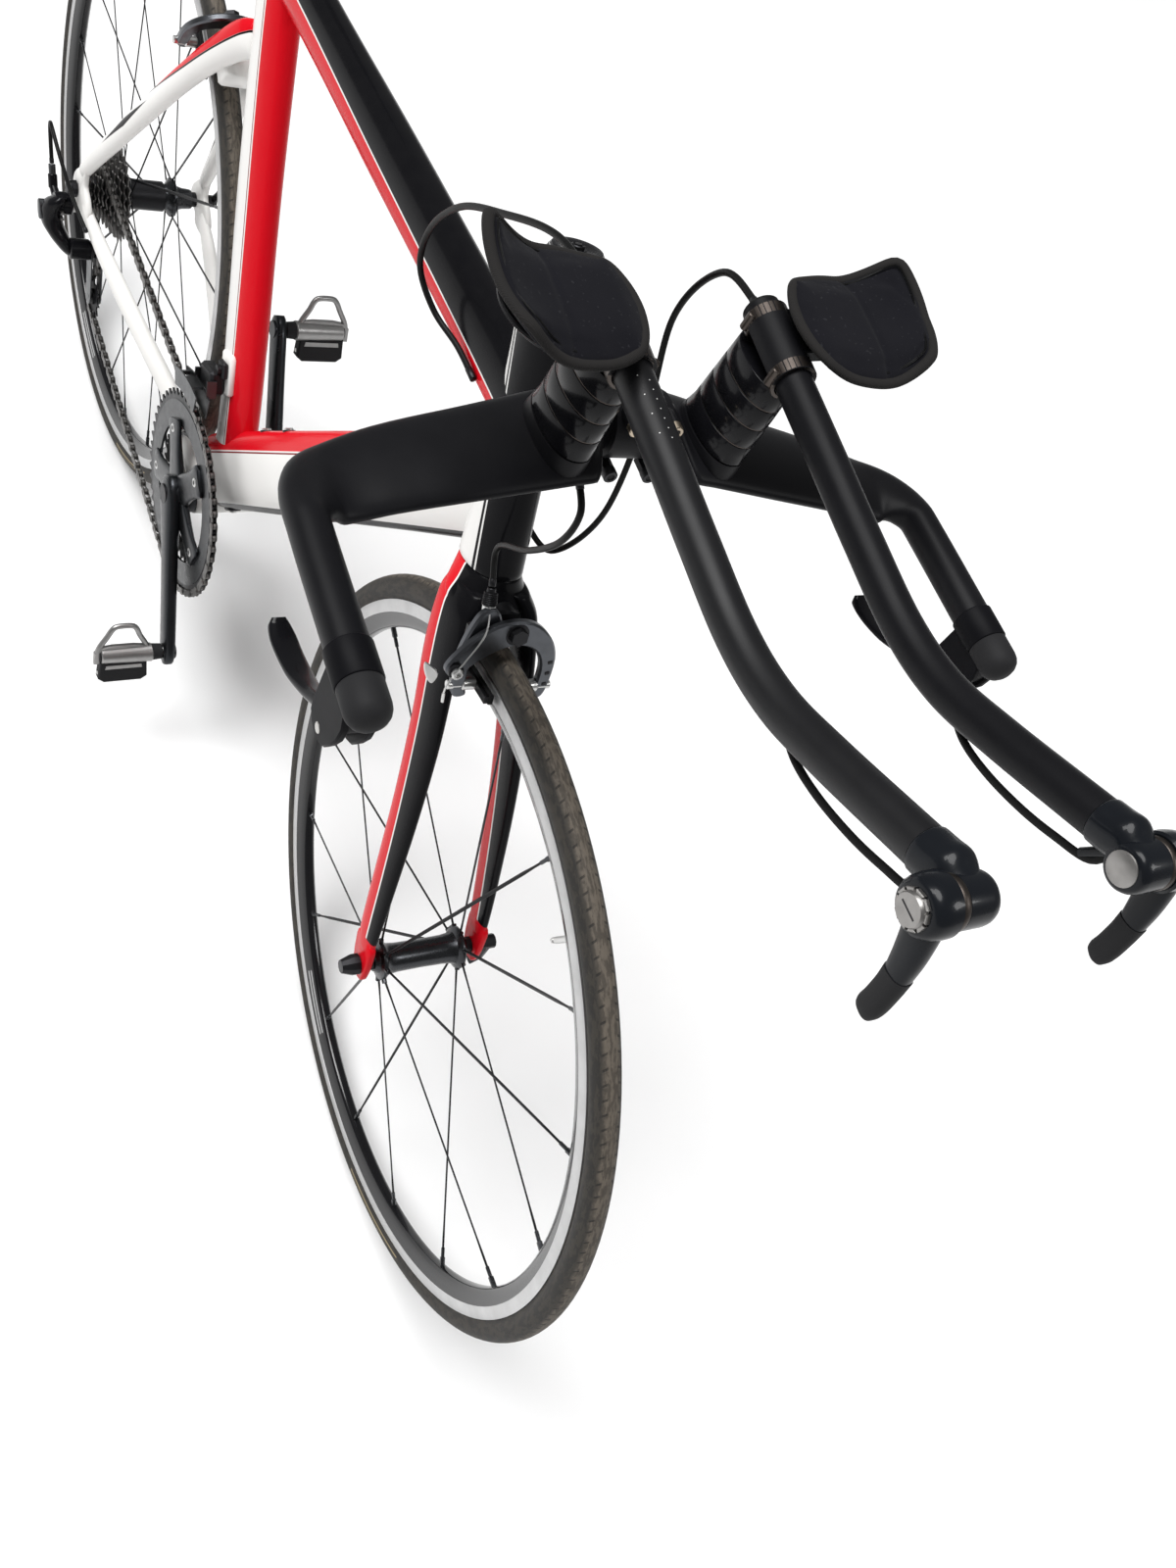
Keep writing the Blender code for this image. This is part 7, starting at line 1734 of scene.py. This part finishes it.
def swelled(piece, voxel, reach, pressure=4.0):
    # remesh, let it swell as cloth, and hold every point within reach of where it began
    remesh = piece.modifiers.new("even", "REMESH")
    remesh.mode = "VOXEL"
    remesh.voxel_size = voxel
    settle(piece)
    before = [v.co.copy() for v in piece.data.vertices]
    cloth = piece.modifiers.new("swell", "CLOTH")
    cloth.settings.use_pressure = True
    cloth.settings.uniform_pressure_force = pressure
    cloth.settings.effector_weights.gravity = 0
    cloth.settings.quality = 5
    cloth.point_cache.frame_start = 1
    cloth.point_cache.frame_end = cushions["steps"]
    for step in range(1, cushions["steps"] + 1):
        bpy.context.scene.frame_set(step)
    settle(piece)
    bpy.context.scene.frame_set(1)
    for v, start in zip(piece.data.vertices, before):
        moved = v.co - start
        if moved.length > reach:
            v.co = start + moved.normalized() * reach
    subdivide(piece, 1)
    settle(piece)
    piece.data.shade_smooth()


def settle(piece):
    # the mesh as its modifiers leave it, with none of them left
    bpy.context.view_layer.update()
    graph = bpy.context.evaluated_depsgraph_get()
    mesh = bpy.data.meshes.new_from_object(piece.evaluated_get(graph))
    piece.modifiers.clear()
    piece.data = mesh


def padSpot(s, t, top, inset=1.0):
    x = s * math.sqrt(1 - t * t / 2.5)
    y = t * math.sqrt(1 - s * s / 2.5)
    outer, inner, rear = max(0.0, t - 0.15), max(0.0, -t - 0.45), max(0.0, -s)
    height = 0.021 * outer ** 2 + 0.012 * inner ** 2 + 0.008 * rear * outer
    ear = 0.01 * rear * max(0.0, t) ** 2
    edge = max(abs(s), abs(t))
    crown = cushions["padThickness"] * (1 - 0.42 * edge ** 4)
    lift = crown - 0.0006 if top else 0.0
    if edge > 0.99:
        lift += -0.0026 if top else 0.0022
    return ((x * cushions["padLength"] / 2 - ear) * inset, (y * cushions["padWidth"] / 2 + 0.5 * ear) * inset,
            height + lift)


def makeArmPad(way, word):
    place = steerMatrix @ padPlace(way)
    count = 30
    steps = [-1 + 2 * i / count for i in range(count + 1)]
    points = [Vector((x, y, z * way)) for top in (True, False) for s in steps for t in steps
              for x, y, z in [padSpot(s, t, top, 0.985)]]
    size = count + 1
    faces = []
    for layer in (0, size * size):
        for i in range(count):
            for j in range(count):
                a = layer + i * size + j
                faces.append([a, a + size, a + size + 1, a + 1])
    rim = [(i, 0) for i in range(count)] + [(count, j) for j in range(count)]
    rim += [(i, count) for i in range(count, 0, -1)] + [(0, j) for j in range(count, 0, -1)]
    for (i, j), (k, m) in zip(rim, rim[1:] + rim[:1]):
        a, b = i * size + j, k * size + m
        faces.append([a, b, b + size * size, a + size * size])
    pad = Piece()
    pad.add(points, faces)
    made = pad.done("arm_pad_" + word, neoprene, 180, place)
    swelled(made, cushions["padVoxel"], cushions["padReach"])
    for v in made.data.vertices:
        # the sewn line that runs fore and aft
        x, y, z = v.co
        if z * way > 0.0035:
            v.co.z -= way * 0.0011 * math.exp(-((y - 0.0065) / 0.002) ** 2)
    edge = Piece()
    line = []
    for i, j in rim:
        x, y, z = padSpot(steps[i], steps[j], True, 1.0)
        low = padSpot(steps[i], steps[j], False, 1.0)[2]
        line.append(Vector((x, y, (z + low) / 2 * way)))
    spun = line
    for again in range(4):
        spun = [spun[k - 1] * 0.25 + spun[k] * 0.5 + spun[(k + 1) % len(spun)] * 0.25
                for k in range(len(spun))]
    middle = sum(spun, Vector()) / len(spun)
    spun = [p + (middle - p).normalized() * 0.002 for p in spun]
    edge.tube(spun, 0.0033, 12, 0, True, 0.8, (0, 0, 1))
    for turn in (0.0052, 0.006):
        stitch = [p + (middle - p).normalized() * turn + Vector((0, 0, way * 0.0022)) for p in spun]
        edge.tube(stitch, 0.00028, 6, 1, True)
    edge.done("arm_pad_" + word + "_binding", [binding, housingBlack], 60, place,
              extra=("steering", "neoprene"))


def saddleRows():
    stations = ((-0.052, 0.01, 0.95, 0.964), (-0.062, 0.0185, 0.944, 0.9715), (-0.1, 0.0215, 0.944, 0.9745),
                (-0.16, 0.028, 0.944, 0.9735), (-0.235, 0.053, 0.944, 0.9725), (-0.3, 0.068, 0.944, 0.9775),
                (-0.324, 0.06, 0.947, 0.977), (-0.334, 0.04, 0.953, 0.97))
    rows = []
    for x, half, low, high in stations:
        drop = 0.01 * (half / 0.068) ** 2
        ring = [(0.0, high - 0.0005), (half * 0.38, high), (half * 0.8, high - drop * 0.5 - 0.002),
                (half, (high - drop) * 0.55 + low * 0.45), (half * 0.9, low), (half * 0.5, low), (0.0, low)]
        rows.append([Vector((x, y, z)) for y, z in ring] + [Vector((x, -y, z)) for y,
                                                            z in reversed(ring[1:-1])])
    return rows


def makeSaddle():
    cushion = Piece()
    cushion.skin(saddleRows())
    made = cushion.done("saddle", saddleCover, 180)
    subdivide(made, 2)
    settle(made)
    swelled(made, cushions["saddleVoxel"], cushions["saddleReach"], 3.0)
    for v in made.data.vertices:
        x, y, z = v.co
        if z > 0.962:
            long = max(0.0, 1 - ((x + 0.2) / 0.115) ** 2)
            v.co.z -= 0.0045 * long * math.exp(-(y / 0.0085) ** 2)
            for way in (-1, 1):
                at = way * (0.0165 + 0.1 * max(0.0, -0.19 - x))
                v.co.z -= 0.0008 * math.exp(-((y - at) / 0.0016) ** 2) * (1 if x < -0.08 else 0)
        v.co.z = max(v.co.z, 0.944)


def saddleBuild(board):
    place = placeOf(board)
    pebble = place.node("TexVoronoi", None, {"Vector": place, "Scale": 620.0})
    cloud = grain(place, 26, 4.0)
    colour = blendColour(cloud * 0.6, (0.012, 0.012, 0.013), (0.026, 0.026, 0.027))
    return {"Base Color": colour, "Roughness": cloud * 0.12 + 0.46, "height": (pebble, 0.0001)}


saddleCover = finishOf("saddleCover", saddleBuild)
for way, word in ((-1, "right"), (1, "left")):
    makeArmPad(way, word)
makeSaddle()
print("cushions made")


# cables: housings drawn as tubes; the two that cross the steering from the bars to the frame are attached to
# no body

def makeCables():
    rear = cockpit["rear"]
    reach = cockpit["extensionY"]
    plane, start = brakePlane(True)
    low, top = [plane @ p for p in adjusterEnds(start)]
    rise = (top - low).normalized()
    brake = [top + rise * 0.0009, top + rise * 0.03, (0.505, -0.03, 0.775), (0.54, -0.04, 0.825),
             (0.544, -0.04, 0.855), (0.528, -0.04, 0.868)]
    right = [(rear[0] - 0.0006, -reach, rear[1]), (0.429, -0.057, 0.96), (0.37, -0.06, 0.927),
             (0.322, -0.06, 0.893), (0.288, -0.056, 0.85), (0.28, -0.05, 0.812), (0.296, -0.037, 0.788),
             (0.326, -0.0262, 0.783), (0.356, -0.0228, 0.781)]
    left = [(rear[0] - 0.0006, reach, rear[1]), (0.44, 0.056, 0.956), (0.415, 0.06, 0.9),
            (0.435, 0.064, 0.83), (0.452, 0.06, 0.75), (0.44, 0.045, 0.695), (0.412, 0.03, 0.698),
            (0.3985, 0.0214, 0.708)]
    makeHousing("front_brake_housing", brake, None, steerMatrix)
    makeHousing("housing_right", right, "frame", steerMatrix)
    makeHousing("housing_left", left, "frame", steerMatrix)
    mech = [(-0.326, -0.077, 0.333), (-0.362, -0.085, 0.348), (-0.4, -0.093, 0.372),
            (-0.43, -0.096, 0.385), (-0.45, -0.093, 0.376), (-0.453, -0.0893, 0.35),
            (-0.4445, -0.088, 0.3297)]
    makeHousing("rear_mech_housing", mech)


makeCables()
print("cables made")


# the nodes whose own shape is kept

for name in sorted(nodes):
    if name not in remade:
        softened(name)
print("nodes finished")


# stage, light and camera

stage = {
    "floor": (0.88, 0.88, 0.88),
    "sky": (1.0, 1.0, 1.0),
    "skyStrength": 0.22,
    "sun": ((-0.5, -0.9, 2.6), 3.35, 38.0),
    "lights": (
        ((-0.4, -1.9, 3.0), (0.1, 0.0, 0.6), 0.9, 26.0),
        ((2.2, 1.5, 2.8), (0.4, 0.0, 0.7), 0.7, 16.0),
    ),
}


def floorBuild(board):
    place = placeOf(board)
    cloud = grain(place, 3, 5.0)
    return {"Base Color": blendColour(cloud * 0.12, stage["floor"], (0.84, 0.84, 0.84)),
            "Roughness": cloud * 0.1 + 0.5}


def makeStage():
    bpy.ops.mesh.primitive_plane_add(size=24, location=(0, 0, -0.0005))
    floor = bpy.context.object
    floor.name = "floor"
    floor.data.materials.append(finishOf("floorFinish", floorBuild))
    direction, strength, spread = stage["sun"]
    light = bpy.data.lights.new("daylight", "SUN")
    light.energy = strength
    light.angle = math.radians(spread)
    lamp = bpy.data.objects.new("daylight", light)
    lamp.rotation_euler = Vector(direction).to_track_quat("Z", "Y").to_euler()
    bpy.context.scene.collection.objects.link(lamp)
    for i, (place, target, size, power) in enumerate(stage["lights"]):
        light = bpy.data.lights.new(f"softbox{i}", "AREA")
        light.size = size
        light.energy = power
        lamp = bpy.data.objects.new(f"softbox{i}", light)
        lamp.location = place
        lamp.rotation_euler = (Vector(target) - Vector(place)).to_track_quat("-Z", "Y").to_euler()
        bpy.context.scene.collection.objects.link(lamp)
    world = bpy.data.worlds.new("studio")
    world.use_nodes = True
    back = world.node_tree.nodes["Background"]
    back.inputs[0].default_value = (*stage["sky"], 1)
    back.inputs[1].default_value = stage["skyStrength"]
    bpy.context.scene.world = world
    bpy.context.scene.view_settings.view_transform = "Standard"


view = {"place": (0.99111, -0.49801, 1.38983), "yaw": 2.19562, "pitch": -0.85883, "roll": 0.65082,
        "focal": 31.272}


def makeCamera():
    yaw, pitch, roll = view["yaw"], view["pitch"], view["roll"]
    ahead = Vector((math.cos(pitch) * math.cos(yaw), math.cos(pitch) * math.sin(yaw), math.sin(pitch)))
    level = ahead.cross(up).normalized()
    rise = level.cross(ahead)
    right = level * math.cos(roll) + rise * math.sin(roll)
    top = rise * math.cos(roll) - level * math.sin(roll)
    data = bpy.data.cameras.new("view")
    data.lens = view["focal"]
    data.sensor_width = 36
    data.clip_start = 0.01
    camera = bpy.data.objects.new("view", data)
    bpy.context.scene.collection.objects.link(camera)
    camera.matrix_world = Matrix((right, top, -ahead)).transposed().to_4x4()
    camera.location = view["place"]
    bpy.context.scene.camera = camera


makeStage()
makeCamera()
bpy.context.view_layer.update()
print("scene ready")
